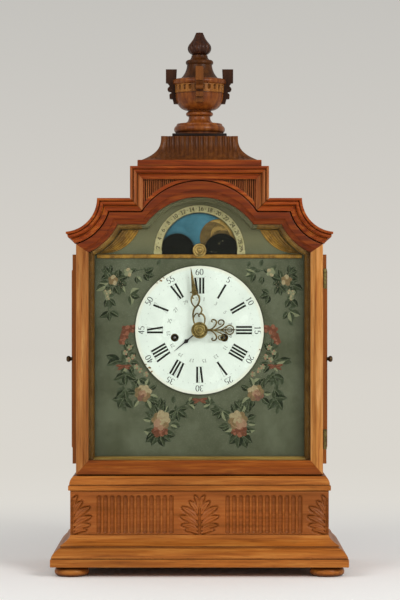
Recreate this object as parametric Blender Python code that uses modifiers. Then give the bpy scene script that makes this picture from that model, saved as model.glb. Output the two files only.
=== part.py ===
"""Table clock: a moulded wooden case with an urn, a moon dial and a spring movement.

Metres, +Z up, the front faces -Y, and the origin is in the middle of the floor below.
"""
import math

import bmesh
import bpy

# Clearances
FIT = 0.0003
PIVOT_PLAY = 0.0003
DOOR_GAP = 0.0012
WELD = 0.000001

# Feet
FOOT_HEIGHT = 0.0120
FOOT_RADIUS = 0.0210
FOOT_INSET = 0.0245

# Base: plinth moulding, frieze and cap
PLINTH_WIDTH = 0.3520
PLINTH_DEPTH = 0.2000
FASCIA_HEIGHT = 0.0100
OVOLO_HEIGHT = 0.0115
OVOLO_REACH = 0.0101
QUIRK_HEIGHT = 0.0024
QUIRK_DEPTH = 0.0007
COVE_HEIGHT = 0.0120
COVE_REACH = 0.0124
BASE_WALL = 0.0120
FRIEZE_HEIGHT = 0.0522
FLUTE_COUNT = 12
FLUTE_PITCH = 0.0078
FLUTE_RADIUS = 0.0029
FLUTE_MARGIN = 0.0054
FLUTE_FIRST = 0.0335
CAP_BAND_HEIGHT = 0.0061
CAP_REACH = 0.0024
CAP_THUMB_HEIGHT = 0.0108
CAP_LEDGE = 0.0030

# Case
CASE_WIDTH = 0.2940
SIDE_WALL = 0.0120
SHOULDER_RISE = 0.3302
LUNETTE_DROP = 0.0613
DIAL_DROP = 0.0958
SIDE_OPENING_RAIL = 0.0280
SIDE_OPENING_STILE = 0.0180
BACK_STRIP = 0.0020
BACK_FRAME_DEPTH = 0.0120
BACK_STILE = 0.0340
BACK_FOOT_RAIL = 0.0280
BACK_HEAD_RAIL = 0.0360
BACK_DOOR_DEPTH = 0.0070
FINGER_HOLE_RADIUS = 0.0090
FINGER_HOLE_EDGE = 0.0220
SEAT_DEPTH = 0.0100
SEAT_FRONT_GAP = 0.0057
SEAT_BACK_LAP = 0.0020

# Cornice and pediment block
COVE_RADIUS = 0.0400
COVE_OUT = 0.0145
CORNICE_WIDTH = 0.0150
CORNICE_REACH = 0.0115
CORNICE_START = 0.0020
BLOCK_WIDTH = 0.1648
BLOCK_HEIGHT = 0.0380
BLOCK_WALL = 0.0100
BLOCK_ARCH_RADIUS = 0.0820
SPANDREL_SETBACK = 0.0010
PANEL_LAP = 0.0010
PEDESTAL_INSET = 0.0086
PEDESTAL_FILLET = 0.0075
PEDESTAL_LEDGE = 0.0075
PEDESTAL_CURVE_HEIGHT = 0.0303
PEDESTAL_TOP_WIDTH = 0.0912

# Urn
URN_PLINTH_WIDTH = 0.0660
URN_PLINTH_HEIGHT = 0.0046
URN_FOOT_RADIUS = 0.0312
URN_FOOT_HEIGHT = 0.0141
URN_NECK_RADIUS = 0.0143
URN_NECK_HEIGHT = 0.0160
URN_BOWL_RADIUS = 0.0303
URN_BOWL_HEIGHT = 0.0202
URN_BAND_HEIGHT = 0.0105
URN_RIM_RADIUS = 0.0330
URN_RIM_HEIGHT = 0.0072
LID_RADIUS = 0.0235
LID_NECK_RADIUS = 0.0153
LID_HEIGHT = 0.0178
LID_FLANGE_RADIUS = 0.0170
LID_FLANGE_HEIGHT = 0.0062
LID_COLLAR_RADIUS = 0.0100
LID_COLLAR_HEIGHT = 0.0055
BUD_RADIUS = 0.0145
BUD_NECK_RADIUS = 0.0081
BUD_HEIGHT = 0.0272
HANDLE_WIDTH = 0.0095
HANDLE_REACH = 0.0414
HANDLE_BLOCK_LENGTH = 0.0136
HANDLE_BLOCK_HEIGHT = 0.0170

# Front door
DOOR_DEPTH = 0.0180
DOOR_SEAT = 0.0004
DOOR_FOOT_GAP = 0.0015
DOOR_STILE = 0.0145
DOOR_FOOT_RAIL = 0.0164
DOOR_HEAD_RAIL = 0.0143
GLASS_ARCH_DROP = 0.0166
GLASS_ARCH_RADIUS = 0.0800
GLASS_SETBACK = 0.0090
GLASS_THICKNESS = 0.0020
KNUCKLE_RADIUS = 0.0022
KNUCKLE_LENGTH = 0.0240
KNUCKLE_END_SPACE = 0.0300

# Side doors
SIDE_DOOR_THICKNESS = 0.0050
SIDE_DOOR_LAP = 0.0150
KNOB_RADIUS = 0.0050
KNOB_STEM_RADIUS = 0.0022
KNOB_REACH = 0.0076
KNOB_EDGE_SPACE = 0.0090
BACK_KNUCKLE_RADIUS = 0.0018

# Dial
SLIP_SIDE = 0.0065
SLIP_FOOT = 0.0036
SLIP_HEAD = 0.0055
SURROUND_DEPTH = 0.0083
DIAL_LAP = 0.0030
DIAL_PLATE_THICKNESS = 0.0020
DIAL_RADIUS = 0.0772
ENAMEL_THICKNESS = 0.0030
WINDING_SPREAD = 0.02975
WINDING_DROP = 0.0090
WINDING_HOLE_RADIUS = 0.00485
GILT_THICKNESS = 0.0016
STRIP_HEIGHT = 0.0048
STRIP_DROP = 0.0047
STRIP_END_GAP = 0.0030
FAN_SAG = 0.0090
FAN_START = 0.1210
FAN_END = 0.0725
MOON_RING_RADIUS = 0.0452
HUMP_RADIUS = 0.0205
HUMP_SPREAD = 0.0266
MOON_TEETH = 59
MOON_MODULE = 0.00165
MOON_DISC_THICKNESS = 0.0012
MOON_AIR = 0.0005
MOON_BOSS_RADIUS = 0.0082
MOON_BOSS_THICKNESS = 0.0025
MOON_ARBOR_RADIUS = 0.0020
MOON_LUG_INSET = 0.0010
DIAL_FOOT_SPREAD = 0.0520

# Hands
MINUTE_HAND_LENGTH = 0.0757
HOUR_HAND_LENGTH = 0.0440
DATE_HAND_LENGTH = 0.0400
MINUTE_HAND_TURN = -7.9
HOUR_HAND_TURN = 89.4
DATE_HAND_TURN = 230.3
DATE_HAND_THICKNESS = 0.0006
HOUR_HAND_THICKNESS = 0.0010
MINUTE_HAND_THICKNESS = 0.0010
HAND_AIR = 0.0016
COLLET_RADIUS = 0.0099
COLLET_THICKNESS = 0.0030
CENTRE_FRONT_RADIUS = 0.0012
PIPE_WALL = 0.0008

# Movement
DIAL_FOOT_LENGTH = 0.0214
DIAL_FOOT_RADIUS = 0.0030
PLATE_WIDTH = 0.1240
PLATE_BELOW = 0.0765
PLATE_ABOVE = 0.0775
PLATE_THICKNESS = 0.0025
PILLAR_LENGTH = 0.0440
PILLAR_RADIUS = 0.0040
PILLAR_INSET = 0.0070
TENON_RADIUS = 0.0022
TENON_REACH = 0.0015
PIVOT_RADIUS = 0.0006
ARBOR_RADIUS = 0.0009
GREAT_TEETH = 60
PINION_LEAVES = 6
CENTRE_TEETH = 72
THIRD_TEETH = 70
ESCAPE_TEETH = 30
PIN_WHEEL_TEETH = 60
PIN_COUNT = 8
PIN_CIRCLE = 0.8
PIN_REACH = 0.0030
CENTRE_MODULE = 0.00060
THIRD_MODULE = 0.00062
PIN_WHEEL_MODULE = 0.00060
THIRD_ARBOR_ANGLE = 70.0
PIN_ARBOR_ANGLE = 110.0
FLY_ARBOR_ANGLE = 60.0
TOOTH_ADDENDUM = 0.9
TOOTH_DEDENDUM = 1.2
TOOTH_HALF_WIDTH = 0.27
CENTRE_LEVEL = 0.0020
PIN_LEVEL = 0.0035
GREAT_LEVEL = 0.0065
ESCAPE_LEVEL = 0.0255
FLY_LEVEL = 0.0195
LEVEL_GAP = 0.0013
STRIKE_LEVEL = 0.0035
CANNON_LEVEL = 0.0080
HOUR_LEVEL = 0.0145
DATE_LEVEL = 0.0185
ESCAPE_RADIUS = 0.0140
ANCHOR_RISE = 0.0200
ANCHOR_WIDTH = 0.0035
PALLET_ANGLE = 42.0
ANCHOR_CLEARANCE = 0.0016
WHEEL_THICKNESS = 0.0015
GREAT_WHEEL_THICKNESS = 0.0027
BARREL_RADIUS = 0.0220
BARREL_LENGTH = 0.0240
WINDING_ARBOR_RADIUS = 0.0030
WINDING_SQUARE = 0.0042
WINDING_PIVOT_RADIUS = 0.0015
WINDING_TIP_SETBACK = 0.0010
FLY_SPAN = 0.0300
FLY_DEPTH = 0.0140
FLY_THICKNESS = 0.0008
CANNON_LEAVES = 14
MINUTE_WHEEL_TEETH = 42
MINUTE_PINION_LEAVES = 10
HOUR_WHEEL_TEETH = 40
MOTION_DISTANCE = 0.0224
DATE_WHEEL_TEETH = 31
DATE_MODULE = 0.0012
PENDULUM_LENGTH = 0.1825
BOB_RADIUS = 0.0220
BOB_THICKNESS = 0.0100
ROD_RADIUS = 0.0016
PENDULUM_SPACE = 0.0090
PENDULUM_PIN_RADIUS = 0.0012
LOOP_RADIUS = 0.0040
CRUTCH_LENGTH = 0.0420
CRUTCH_WIDTH = 0.0030
CRUTCH_SPACE = 0.0012
CRUTCH_THICKNESS = 0.0014
COCK_THICKNESS = 0.0025
COCK_WIDTH = 0.0360
COCK_HEIGHT = 0.0120
COCK_REACH = 0.0065
BELL_RADIUS = 0.0420
BELL_HEIGHT = 0.0320
BELL_WALL = 0.0018
BELL_SPACE = 0.0200
BELL_POST_RADIUS = 0.0020
BELL_POST_REACH = 0.0030
BELL_POST_LAP = 0.0080
HAMMER_OUT = 0.0420
HAMMER_RISE = 0.0575
HAMMER_HEAD_RADIUS = 0.0050
HAMMER_HEAD_LENGTH = 0.0120
HAMMER_SPACE = 0.0020
HAMMER_LEVEL = 0.0055
HAMMER_ARM_WIDTH = 0.0036
HAMMER_TAIL = 0.0130

# Finishes: colour, roughness, metallic
WALNUT = ((0.33, 0.13, 0.045), 0.42, 0.0)
DARK_WOOD = ((0.06, 0.035, 0.02), 0.5, 0.0)
GILT_WOOD = ((0.42, 0.27, 0.06), 0.45, 0.6)
GLASS = ((0.85, 0.9, 0.88), 0.05, 0.0)
ENAMEL = ((0.82, 0.87, 0.82), 0.2, 0.0)
PAINTED_IRON = ((0.1, 0.115, 0.075), 0.6, 0.0)
MOON_PAINT = ((0.07, 0.22, 0.38), 0.5, 0.0)
BRASS = ((0.62, 0.43, 0.14), 0.35, 1.0)
BRONZE = ((0.1, 0.07, 0.04), 0.5, 1.0)
BLUED_STEEL = ((0.02, 0.025, 0.04), 0.35, 1.0)
STEEL = ((0.4, 0.4, 0.42), 0.35, 1.0)

# Heights that follow from the sizes above
PLINTH_FOOT = FOOT_HEIGHT + FIT
OVOLO_FOOT = PLINTH_FOOT + FASCIA_HEIGHT
QUIRK_FOOT = OVOLO_FOOT + OVOLO_HEIGHT
COVE_FOOT = QUIRK_FOOT + QUIRK_HEIGHT
COVE_TOP = COVE_FOOT + COVE_HEIGHT
FRIEZE_FOOT = COVE_TOP + FIT
FRIEZE_TOP = FRIEZE_FOOT + FRIEZE_HEIGHT
CAP_FOOT = FRIEZE_TOP + FIT
CAP_TOP = CAP_FOOT + CAP_BAND_HEIGHT + CAP_THUMB_HEIGHT
SHOULDER_TOP = CAP_TOP + SHOULDER_RISE
LUNETTE_Z = SHOULDER_TOP - LUNETTE_DROP
DIAL_Z = LUNETTE_Z - DIAL_DROP
BLOCK_TOP = SHOULDER_TOP + BLOCK_HEIGHT
PEDESTAL_FOOT = BLOCK_TOP + FIT
PEDESTAL_TOP = PEDESTAL_FOOT + PEDESTAL_FILLET + PEDESTAL_CURVE_HEIGHT
URN_PLINTH_FOOT = PEDESTAL_TOP + FIT
URN_FOOT = URN_PLINTH_FOOT + URN_PLINTH_HEIGHT + FIT
URN_NECK_FOOT = URN_FOOT + URN_FOOT_HEIGHT
URN_BOWL_FOOT = URN_NECK_FOOT + URN_NECK_HEIGHT
URN_BAND_FOOT = URN_BOWL_FOOT + URN_BOWL_HEIGHT
URN_RIM_FOOT = URN_BAND_FOOT + URN_BAND_HEIGHT
URN_RIM_TOP = URN_RIM_FOOT + URN_RIM_HEIGHT
LID_FOOT = URN_RIM_TOP + FIT
LID_FLANGE_FOOT = LID_FOOT + LID_HEIGHT
LID_COLLAR_FOOT = LID_FLANGE_FOOT + LID_FLANGE_HEIGHT
LID_TOP = LID_COLLAR_FOOT + LID_COLLAR_HEIGHT
BUD_FOOT = LID_TOP + FIT

# Half widths and depths that follow from the sizes above
HALF_PLINTH = PLINTH_WIDTH / 2
HALF_NECK = HALF_PLINTH - OVOLO_REACH
HALF_FRIEZE = HALF_NECK - COVE_REACH
HALF_CASE = CASE_WIDTH / 2
HALF_INNER = HALF_CASE - SIDE_WALL
HALF_BLOCK = BLOCK_WIDTH / 2
BACK = PLINTH_DEPTH / 2


def front_at(half_width):
    """Front of a moulding that stands out as far in front as at the sides."""
    return HALF_PLINTH - half_width - BACK


CASE_FRONT = front_at(HALF_CASE)
DOOR_BACK = CASE_FRONT + DOOR_DEPTH
CARCASE_FRONT = DOOR_BACK + DOOR_SEAT
CARCASE_BACK = BACK - BACK_STRIP
BACK_FRAME_FRONT = CARCASE_BACK - BACK_FRAME_DEPTH
CORNICE_FRONT = CASE_FRONT - CORNICE_REACH
BLOCK_MIDDLE = (CORNICE_FRONT + CARCASE_BACK) / 2
COVE_X = HALF_CASE + COVE_OUT
SURROUND_FRONT = CARCASE_FRONT + FIT
SURROUND_BACK = SURROUND_FRONT + SURROUND_DEPTH
DIAL_PLATE_FRONT = SURROUND_BACK + FIT
DIAL_PLATE_BACK = DIAL_PLATE_FRONT + DIAL_PLATE_THICKNESS
ENAMEL_BACK = DIAL_PLATE_FRONT - FIT
ENAMEL_FRONT = ENAMEL_BACK - ENAMEL_THICKNESS
DATE_HAND_BACK = ENAMEL_FRONT - HAND_AIR
DATE_HAND_FRONT = DATE_HAND_BACK - DATE_HAND_THICKNESS
HOUR_HAND_BACK = DATE_HAND_FRONT - HAND_AIR
HOUR_HAND_FRONT = HOUR_HAND_BACK - HOUR_HAND_THICKNESS
MINUTE_HAND_BACK = HOUR_HAND_FRONT - HAND_AIR
MINUTE_HAND_FRONT = MINUTE_HAND_BACK - MINUTE_HAND_THICKNESS
FRONT_PLATE_FRONT = DIAL_PLATE_BACK + DIAL_FOOT_LENGTH + FIT
FRONT_PLATE_BACK = FRONT_PLATE_FRONT + PLATE_THICKNESS
BACK_PLATE_FRONT = FRONT_PLATE_BACK + PILLAR_LENGTH
BACK_PLATE_BACK = BACK_PLATE_FRONT + PLATE_THICKNESS
PENDULUM_Y = BACK_PLATE_BACK + PENDULUM_SPACE

parts = bpy.data.collections.new("table_clock")
cutters = bpy.data.collections.new("cutters")


def clear_scene():
    """Start from an empty scene with one collection for parts and one for cutters."""
    for item in list(bpy.data.objects):
        bpy.data.objects.remove(item, do_unlink=True)
    for group in (parts, cutters):
        bpy.context.scene.collection.children.link(group)


def dress(item, finish):
    """Give a piece a plain material of its own."""
    colour, roughness, metallic = finish
    material = bpy.data.materials.new(item.name + "_finish")
    material.use_nodes = True
    shader = material.node_tree.nodes["Principled BSDF"]
    shader.inputs["Base Color"].default_value = (*colour, 1.0)
    shader.inputs["Roughness"].default_value = roughness
    shader.inputs["Metallic"].default_value = metallic
    item.data.materials.append(material)


# How a piece is turned so that its own Z runs along a world axis
TURNS = {
    "X": (math.pi / 2, 0.0, math.pi / 2),
    "-X": (math.pi / 2, 0.0, -math.pi / 2),
    "Y": (math.pi / 2, 0.0, 0.0),
    "Z": (0.0, 0.0, 0.0),
}


def add_piece(name, data, finish, axis="Z", centre=0.0, middle=(0.0, 0.0)):
    """Add one piece, its middle at a distance along an axis and at two other coordinates."""
    item = bpy.data.objects.new(name, data)
    parts.objects.link(item)
    first, second = middle
    places = {"X": (centre, first, second), "Y": (first, centre, second), "Z": (first, second, centre)}
    item.location = places[axis[-1]]
    item.rotation_euler = TURNS[axis]
    dress(item, finish)
    return item


def mesh_from(name, bm):
    """Finish a mesh: faces outward, smooth with sharp corners."""
    bmesh.ops.recalc_face_normals(bm, faces=bm.faces)
    mesh = bpy.data.meshes.new(name)
    bm.to_mesh(mesh)
    bm.free()
    mesh.shade_smooth()
    mesh.set_sharp_from_angle(angle=math.radians(35))
    return mesh


def flat(name, outlines, start, end, finish, axis="Y", middle=(0.0, 0.0)):
    """Flat piece between two places on an axis: the first outline is its edge, the others are holes."""
    curve = bpy.data.curves.new(name, "CURVE")
    curve.dimensions = "2D"
    curve.fill_mode = "BOTH"
    curve.extrude = abs(end - start) / 2
    for outline in outlines:
        spline = curve.splines.new("POLY")
        spline.points.add(len(outline) - 1)
        for point, (across, up) in zip(spline.points, outline):
            point.co = (across, up, 0.0, 1.0)
        spline.use_cyclic_u = True
    return add_piece(name, curve, finish, axis, (start + end) / 2, middle)


def as_mesh(item):
    """Turn a curve piece into a welded mesh, so that it can be cut or joined."""
    bpy.context.view_layer.update()
    graph = bpy.context.evaluated_depsgraph_get()
    mesh = bpy.data.meshes.new_from_object(item.evaluated_get(graph))
    bm = bmesh.new()
    bm.from_mesh(mesh)
    bmesh.ops.remove_doubles(bm, verts=bm.verts, dist=WELD)
    bm.to_mesh(mesh)
    bm.free()
    name = item.name
    matrix = item.matrix_world.copy()
    bpy.data.objects.remove(item, do_unlink=True)
    solid = bpy.data.objects.new(name, mesh)
    solid.matrix_world = matrix
    parts.objects.link(solid)
    return solid


def combine(item, other, operation="UNION"):
    """Join another shape to a piece, or cut it away."""
    modifier = item.modifiers.new(other.name, "BOOLEAN")
    modifier.operation = operation
    modifier.solver = "EXACT"
    modifier.object = other
    parts.objects.unlink(other)
    cutters.objects.link(other)
    other.hide_render = True
    other.display_type = "WIRE"
    return item


def axis_empty(name, x, z, turn=0.0, y=0.0):
    """Empty on a joint's axis, turned clockwise as seen from the front, in degrees."""
    empty = bpy.data.objects.new(name, None)
    parts.objects.link(empty)
    empty.location = (x, y, z)
    empty.rotation_euler = (0.0, math.radians(turn), 0.0)
    return empty


def hang(item, axis):
    """Parent a piece that is drawn about its axis, with the shapes joined to it, to that axis."""
    item.parent = axis
    for modifier in item.modifiers:
        if modifier.type == "BOOLEAN":
            modifier.object.parent = axis
    return item


def loft(name, sections, finish):
    """Solid through a row of outlines that have equal numbers of points."""
    bm = bmesh.new()
    rows = [[bm.verts.new(point) for point in section] for section in sections]
    count = len(rows[0])
    for low, high in zip(rows, rows[1:]):
        for k in range(count):
            following = (k + 1) % count
            bm.faces.new((low[k], low[following], high[following], high[k]))
    bm.faces.new(rows[0][::-1])
    bm.faces.new(rows[-1])
    return add_piece(name, mesh_from(name, bm), finish)


def turned(name, profile, finish, sides=24, axis="Z", centre=0.0, middle=(0.0, 0.0), ring=False):
    """Turned piece from (radius, place) pairs that run top to bottom, or front to back on Y.

    A ring's profile is a closed loop that comes back up inside.
    """
    sign = -1.0 if axis == "Y" else 1.0
    points = [(radius, 0.0, sign * place) for radius, place in profile]
    edges = [(k, k + 1) for k in range(len(points) - 1)]
    if ring:
        edges.append((len(points) - 1, 0))
    mesh = bpy.data.meshes.new(name)
    mesh.from_pydata(points, edges, [])
    item = add_piece(name, mesh, finish, axis, centre, middle)
    screw = item.modifiers.new("turn", "SCREW")
    screw.axis = "Z"
    screw.steps = sides
    screw.render_steps = sides
    screw.use_merge_vertices = True
    screw.merge_threshold = WELD
    screw.use_smooth_shade = True
    return item


def rod(name, radius, start, end, finish, middle=(0.0, 0.0), axis="Y", sides=16):
    """Plain cylinder between two places on an axis."""
    bm = bmesh.new()
    bmesh.ops.create_cone(bm, cap_ends=True, segments=sides, radius1=radius, radius2=radius,
                          depth=abs(end - start))
    return add_piece(name, mesh_from(name, bm), finish, axis, (start + end) / 2, middle)


def board(name, low, high, finish):
    """Plain board between two opposite corners."""
    bm = bmesh.new()
    bmesh.ops.create_cube(bm, size=1.0)
    size = [top - bottom for bottom, top in zip(low, high)]
    bmesh.ops.scale(bm, vec=size, verts=bm.verts)
    item = add_piece(name, mesh_from(name, bm), finish)
    item.location = [(bottom + top) / 2 for bottom, top in zip(low, high)]
    return item


def arc(centre, radius, start, end, steps):
    """Points along an arc, its angles in radians from +X."""
    angles = [start + (end - start) * k / steps for k in range(steps + 1)]
    return [(centre[0] + radius * math.cos(a), centre[1] + radius * math.sin(a)) for a in angles]


def circle(radius, sides, centre=(0.0, 0.0)):
    """Points round a full circle."""
    return arc(centre, radius, 0.0, 2 * math.pi, sides)[:-1]


def mirrored(half):
    """Outline from its right half, which starts and ends away from the middle line."""
    return half + [(-across, up) for across, up in reversed(half)]


def rectangle(low_x, low_y, high_x, high_y):
    """Outline of a rectangle."""
    return [(low_x, low_y), (high_x, low_y), (high_x, high_y), (low_x, high_y)]


def break_arch(half_width, foot, inset, arch_z, arch_radius):
    """Outline that follows the roof line at an inset: side, concave shoulder, flat and arch."""
    radius = COVE_RADIUS + inset
    flat_z = SHOULDER_TOP - inset
    side_angle = math.pi + math.acos((COVE_X - half_width) / radius)
    flat_angle = math.pi + math.asin(inset / radius)
    spring = math.asin((flat_z - arch_z) / arch_radius)
    half = [(half_width, foot)]
    half += arc((COVE_X, SHOULDER_TOP), radius, side_angle, flat_angle, 8)
    half += arc((0.0, arch_z), arch_radius, spring, math.pi * 0.49, 14)
    return mirrored(half)


def tier(z, half_width):
    """Level outline of a base moulding, flush at the back."""
    front = front_at(half_width)
    return [(x, y, z) for x, y in rectangle(-half_width, front, half_width, BACK)]


def build_feet():
    """Four turned bun feet under the corners of the plinth."""
    profile = [
        (0.0, FOOT_HEIGHT),
        (FOOT_RADIUS * 0.78, FOOT_HEIGHT),
        (FOOT_RADIUS * 0.95, FOOT_HEIGHT * 0.8),
        (FOOT_RADIUS, FOOT_HEIGHT * 0.5),
        (FOOT_RADIUS * 0.93, FOOT_HEIGHT * 0.2),
        (FOOT_RADIUS * 0.72, 0.0),
        (0.0, 0.0),
    ]
    across = HALF_PLINTH - FOOT_INSET
    deep = BACK - FOOT_INSET
    for depth_name, y in (("front", -deep), ("back", deep)):
        for side_name, x in (("left", -across), ("right", across)):
            turned(f"foot_{depth_name}_{side_name}", profile, WALNUT, middle=(x, y))


def build_base():
    """Plinth moulding, fluted frieze, the box behind it and the cap."""
    steps = 5
    levels = [(PLINTH_FOOT, HALF_PLINTH), (OVOLO_FOOT, HALF_PLINTH)]
    for k in range(1, steps + 1):
        rise = k / steps
        levels.append((OVOLO_FOOT + rise * OVOLO_HEIGHT, HALF_NECK + (1 - rise ** 1.35) * OVOLO_REACH))
    quirk_half = HALF_NECK - QUIRK_DEPTH
    levels += [(QUIRK_FOOT + QUIRK_DEPTH, quirk_half), (COVE_FOOT - QUIRK_DEPTH, quirk_half)]
    for k in range(steps + 1):
        rise = k / steps
        levels.append((COVE_FOOT + rise * COVE_HEIGHT, HALF_FRIEZE + (1 - rise ** 1.5) * COVE_REACH))
    plinth = loft("plinth_moulding", [tier(z, half) for z, half in levels], WALNUT)

    frieze_front = front_at(HALF_FRIEZE)
    inner_half = HALF_FRIEZE - BASE_WALL
    inner_front = frieze_front + BASE_WALL
    hollow = board("plinth_hollow", (-inner_half, inner_front, 0.0),
                   (inner_half, BACK - BASE_WALL, CAP_TOP), WALNUT)
    combine(plinth, hollow, "DIFFERENCE")

    frieze = board("base_frieze_front", (-HALF_FRIEZE, frieze_front, FRIEZE_FOOT),
                   (HALF_FRIEZE, inner_front, FRIEZE_TOP), WALNUT)
    combine(frieze, flute_cutter(frieze_front), "DIFFERENCE")

    box_front = inner_front + FIT
    half_outline = [(inner_half, box_front), (HALF_FRIEZE, box_front), (HALF_FRIEZE, BACK)]
    inside = [(-inner_half, BACK - BASE_WALL), (inner_half, BACK - BASE_WALL)]
    flat("base_box", [mirrored(half_outline) + inside], FRIEZE_FOOT, FRIEZE_TOP, WALNUT, axis="Z")

    band_half = HALF_FRIEZE + CAP_REACH
    thumb_half = HALF_FRIEZE + CAP_REACH / 2
    thumb_foot = CAP_FOOT + CAP_BAND_HEIGHT
    thumb_height = CAP_THUMB_HEIGHT - CAP_REACH / 2
    levels = [(CAP_FOOT, band_half), (thumb_foot, band_half)]
    for k in range(steps + 1):
        rise = k / steps
        drop = (thumb_half - HALF_CASE - CAP_LEDGE) * rise ** 2.2
        levels.append((CAP_TOP - thumb_height * (1 - rise), thumb_half - drop))
    loft("base_cap", [tier(z, half) for z, half in levels], WALNUT)


def flute_cutter(frieze_front):
    """Row of round cutters for the two fluted panels, open at the foot of the frieze."""
    bm = bmesh.new()
    top = FRIEZE_TOP - FLUTE_MARGIN
    for side in (-1, 1):
        for k in range(FLUTE_COUNT):
            x = side * (FLUTE_FIRST + k * FLUTE_PITCH)
            made = bmesh.ops.create_cone(bm, cap_ends=True, segments=10, radius1=FLUTE_RADIUS,
                                         radius2=FLUTE_RADIUS, depth=FRIEZE_HEIGHT)
            bmesh.ops.translate(bm, vec=(x, frieze_front, top - FRIEZE_HEIGHT / 2), verts=made["verts"])
    return add_piece("flute_cutter", mesh_from("flute_cutter", bm), WALNUT)


def cornice_profile():
    """Cornice section as pairs of height above its lower edge and reach from the door's face."""
    fillet = CORNICE_WIDTH * 0.8
    hollow_reach = CORNICE_REACH * 0.9 - CORNICE_START
    steps = 5
    pairs = []
    for k in range(steps + 1):
        rise = k / steps
        pairs.append((fillet * rise, CORNICE_START + hollow_reach * rise ** 2))
    return pairs + [(fillet, CORNICE_REACH), (CORNICE_WIDTH, CORNICE_REACH)]


def cove_point(height, reach, along):
    """Point on the concave shoulder, from the tip at 0 to the start of the flat at 1."""
    inset = CORNICE_WIDTH - height
    radius = COVE_RADIUS + inset
    tip = math.pi + math.acos((COVE_X - HALF_CASE - reach) / radius)
    end = math.pi + math.asin(inset / radius)
    angle = tip + (end - tip) * along
    return COVE_X + radius * math.cos(angle), SHOULDER_TOP + radius * math.sin(angle)


def section_points(place):
    """One cornice section: place(height, reach) gives x and z, and the reach gives the depth."""
    profile = cornice_profile()
    back = CARCASE_FRONT - FIT
    points = []
    for height, reach in profile:
        x, z = place(height, reach)
        points.append((x, CASE_FRONT - reach, z))
    for height, reach in (profile[-1], profile[0]):
        x, z = place(height, reach)
        points.append((x, back, z))
    return points


def arch_cutter(name):
    """Round cutter that leaves room for the arched top of the door."""
    return rod(name, BLOCK_ARCH_RADIUS + DOOR_GAP, CORNICE_FRONT * 1.2, CARCASE_FRONT, WALNUT,
               middle=(0.0, LUNETTE_Z), sides=72)


def side_top():
    """Top of the carcase sides, just under the shoulder."""
    radius = COVE_RADIUS + CORNICE_WIDTH
    return SHOULDER_TOP - math.sqrt(radius ** 2 - COVE_OUT ** 2) - FIT


def build_carcase():
    """Sides with their access openings, shoulders of the roof, back frame and seatboard."""
    opening = rectangle(CARCASE_FRONT + SIDE_OPENING_STILE, CAP_TOP + SIDE_OPENING_RAIL,
                        BACK_FRAME_FRONT - SIDE_OPENING_STILE, side_top() - SIDE_OPENING_RAIL)
    outer = rectangle(CARCASE_FRONT, CAP_TOP + FIT, CARCASE_BACK, side_top())
    for name, sign in (("left", -1), ("right", 1)):
        flat(f"case_side_{name}", [outer, opening], sign * HALF_INNER, sign * HALF_CASE, WALNUT, axis="X")

        arc_steps = 8
        over = [cove_point(CORNICE_WIDTH, CORNICE_REACH, k / arc_steps) for k in range(arc_steps, -1, -1)]
        tip = [cove_point(height, reach, 0.0) for height, reach in reversed(cornice_profile())]
        under = [cove_point(0.0, 0.0, k / arc_steps) for k in range(arc_steps + 1)]
        end_x = HALF_BLOCK + FIT
        ends = [(end_x, SHOULDER_TOP - CORNICE_WIDTH), (end_x, SHOULDER_TOP)]
        outline = over + tip[1:] + under + ends
        flat(f"roof_{name}", [[(sign * x, z) for x, z in outline]], CARCASE_FRONT, CARCASE_BACK, WALNUT)

    frame_half = HALF_INNER - FIT
    frame_foot = CAP_TOP + FIT
    inset = CORNICE_WIDTH + FIT
    radius = COVE_RADIUS + inset
    side_angle = math.pi + math.acos((COVE_X - frame_half) / radius)
    flat_angle = math.pi + math.asin(inset / radius)
    neck = HALF_BLOCK - BLOCK_WALL - FIT
    half = [(frame_half, frame_foot)]
    half += arc((COVE_X, SHOULDER_TOP), radius, side_angle, flat_angle, 8)
    half += [(neck, SHOULDER_TOP - inset), (neck, BLOCK_TOP - BLOCK_WALL - FIT)]
    flat("back_frame", [mirrored(half), back_opening()], BACK_FRAME_FRONT, CARCASE_BACK, WALNUT)

    seat_top = DIAL_Z - PLATE_BELOW - FIT
    board("seatboard", (-frame_half, DIAL_PLATE_BACK + SEAT_FRONT_GAP, seat_top - SEAT_DEPTH),
          (frame_half, BACK_PLATE_BACK + SEAT_BACK_LAP, seat_top), WALNUT)


def back_opening(margin=0.0):
    """Outline of the opening in the back frame, or of the door that fits in it."""
    half = HALF_INNER - BACK_STILE - margin
    foot = CAP_TOP + BACK_FOOT_RAIL + margin
    head = SHOULDER_TOP - CORNICE_WIDTH - BACK_HEAD_RAIL - margin
    return rectangle(-half, foot, half, head)


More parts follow.
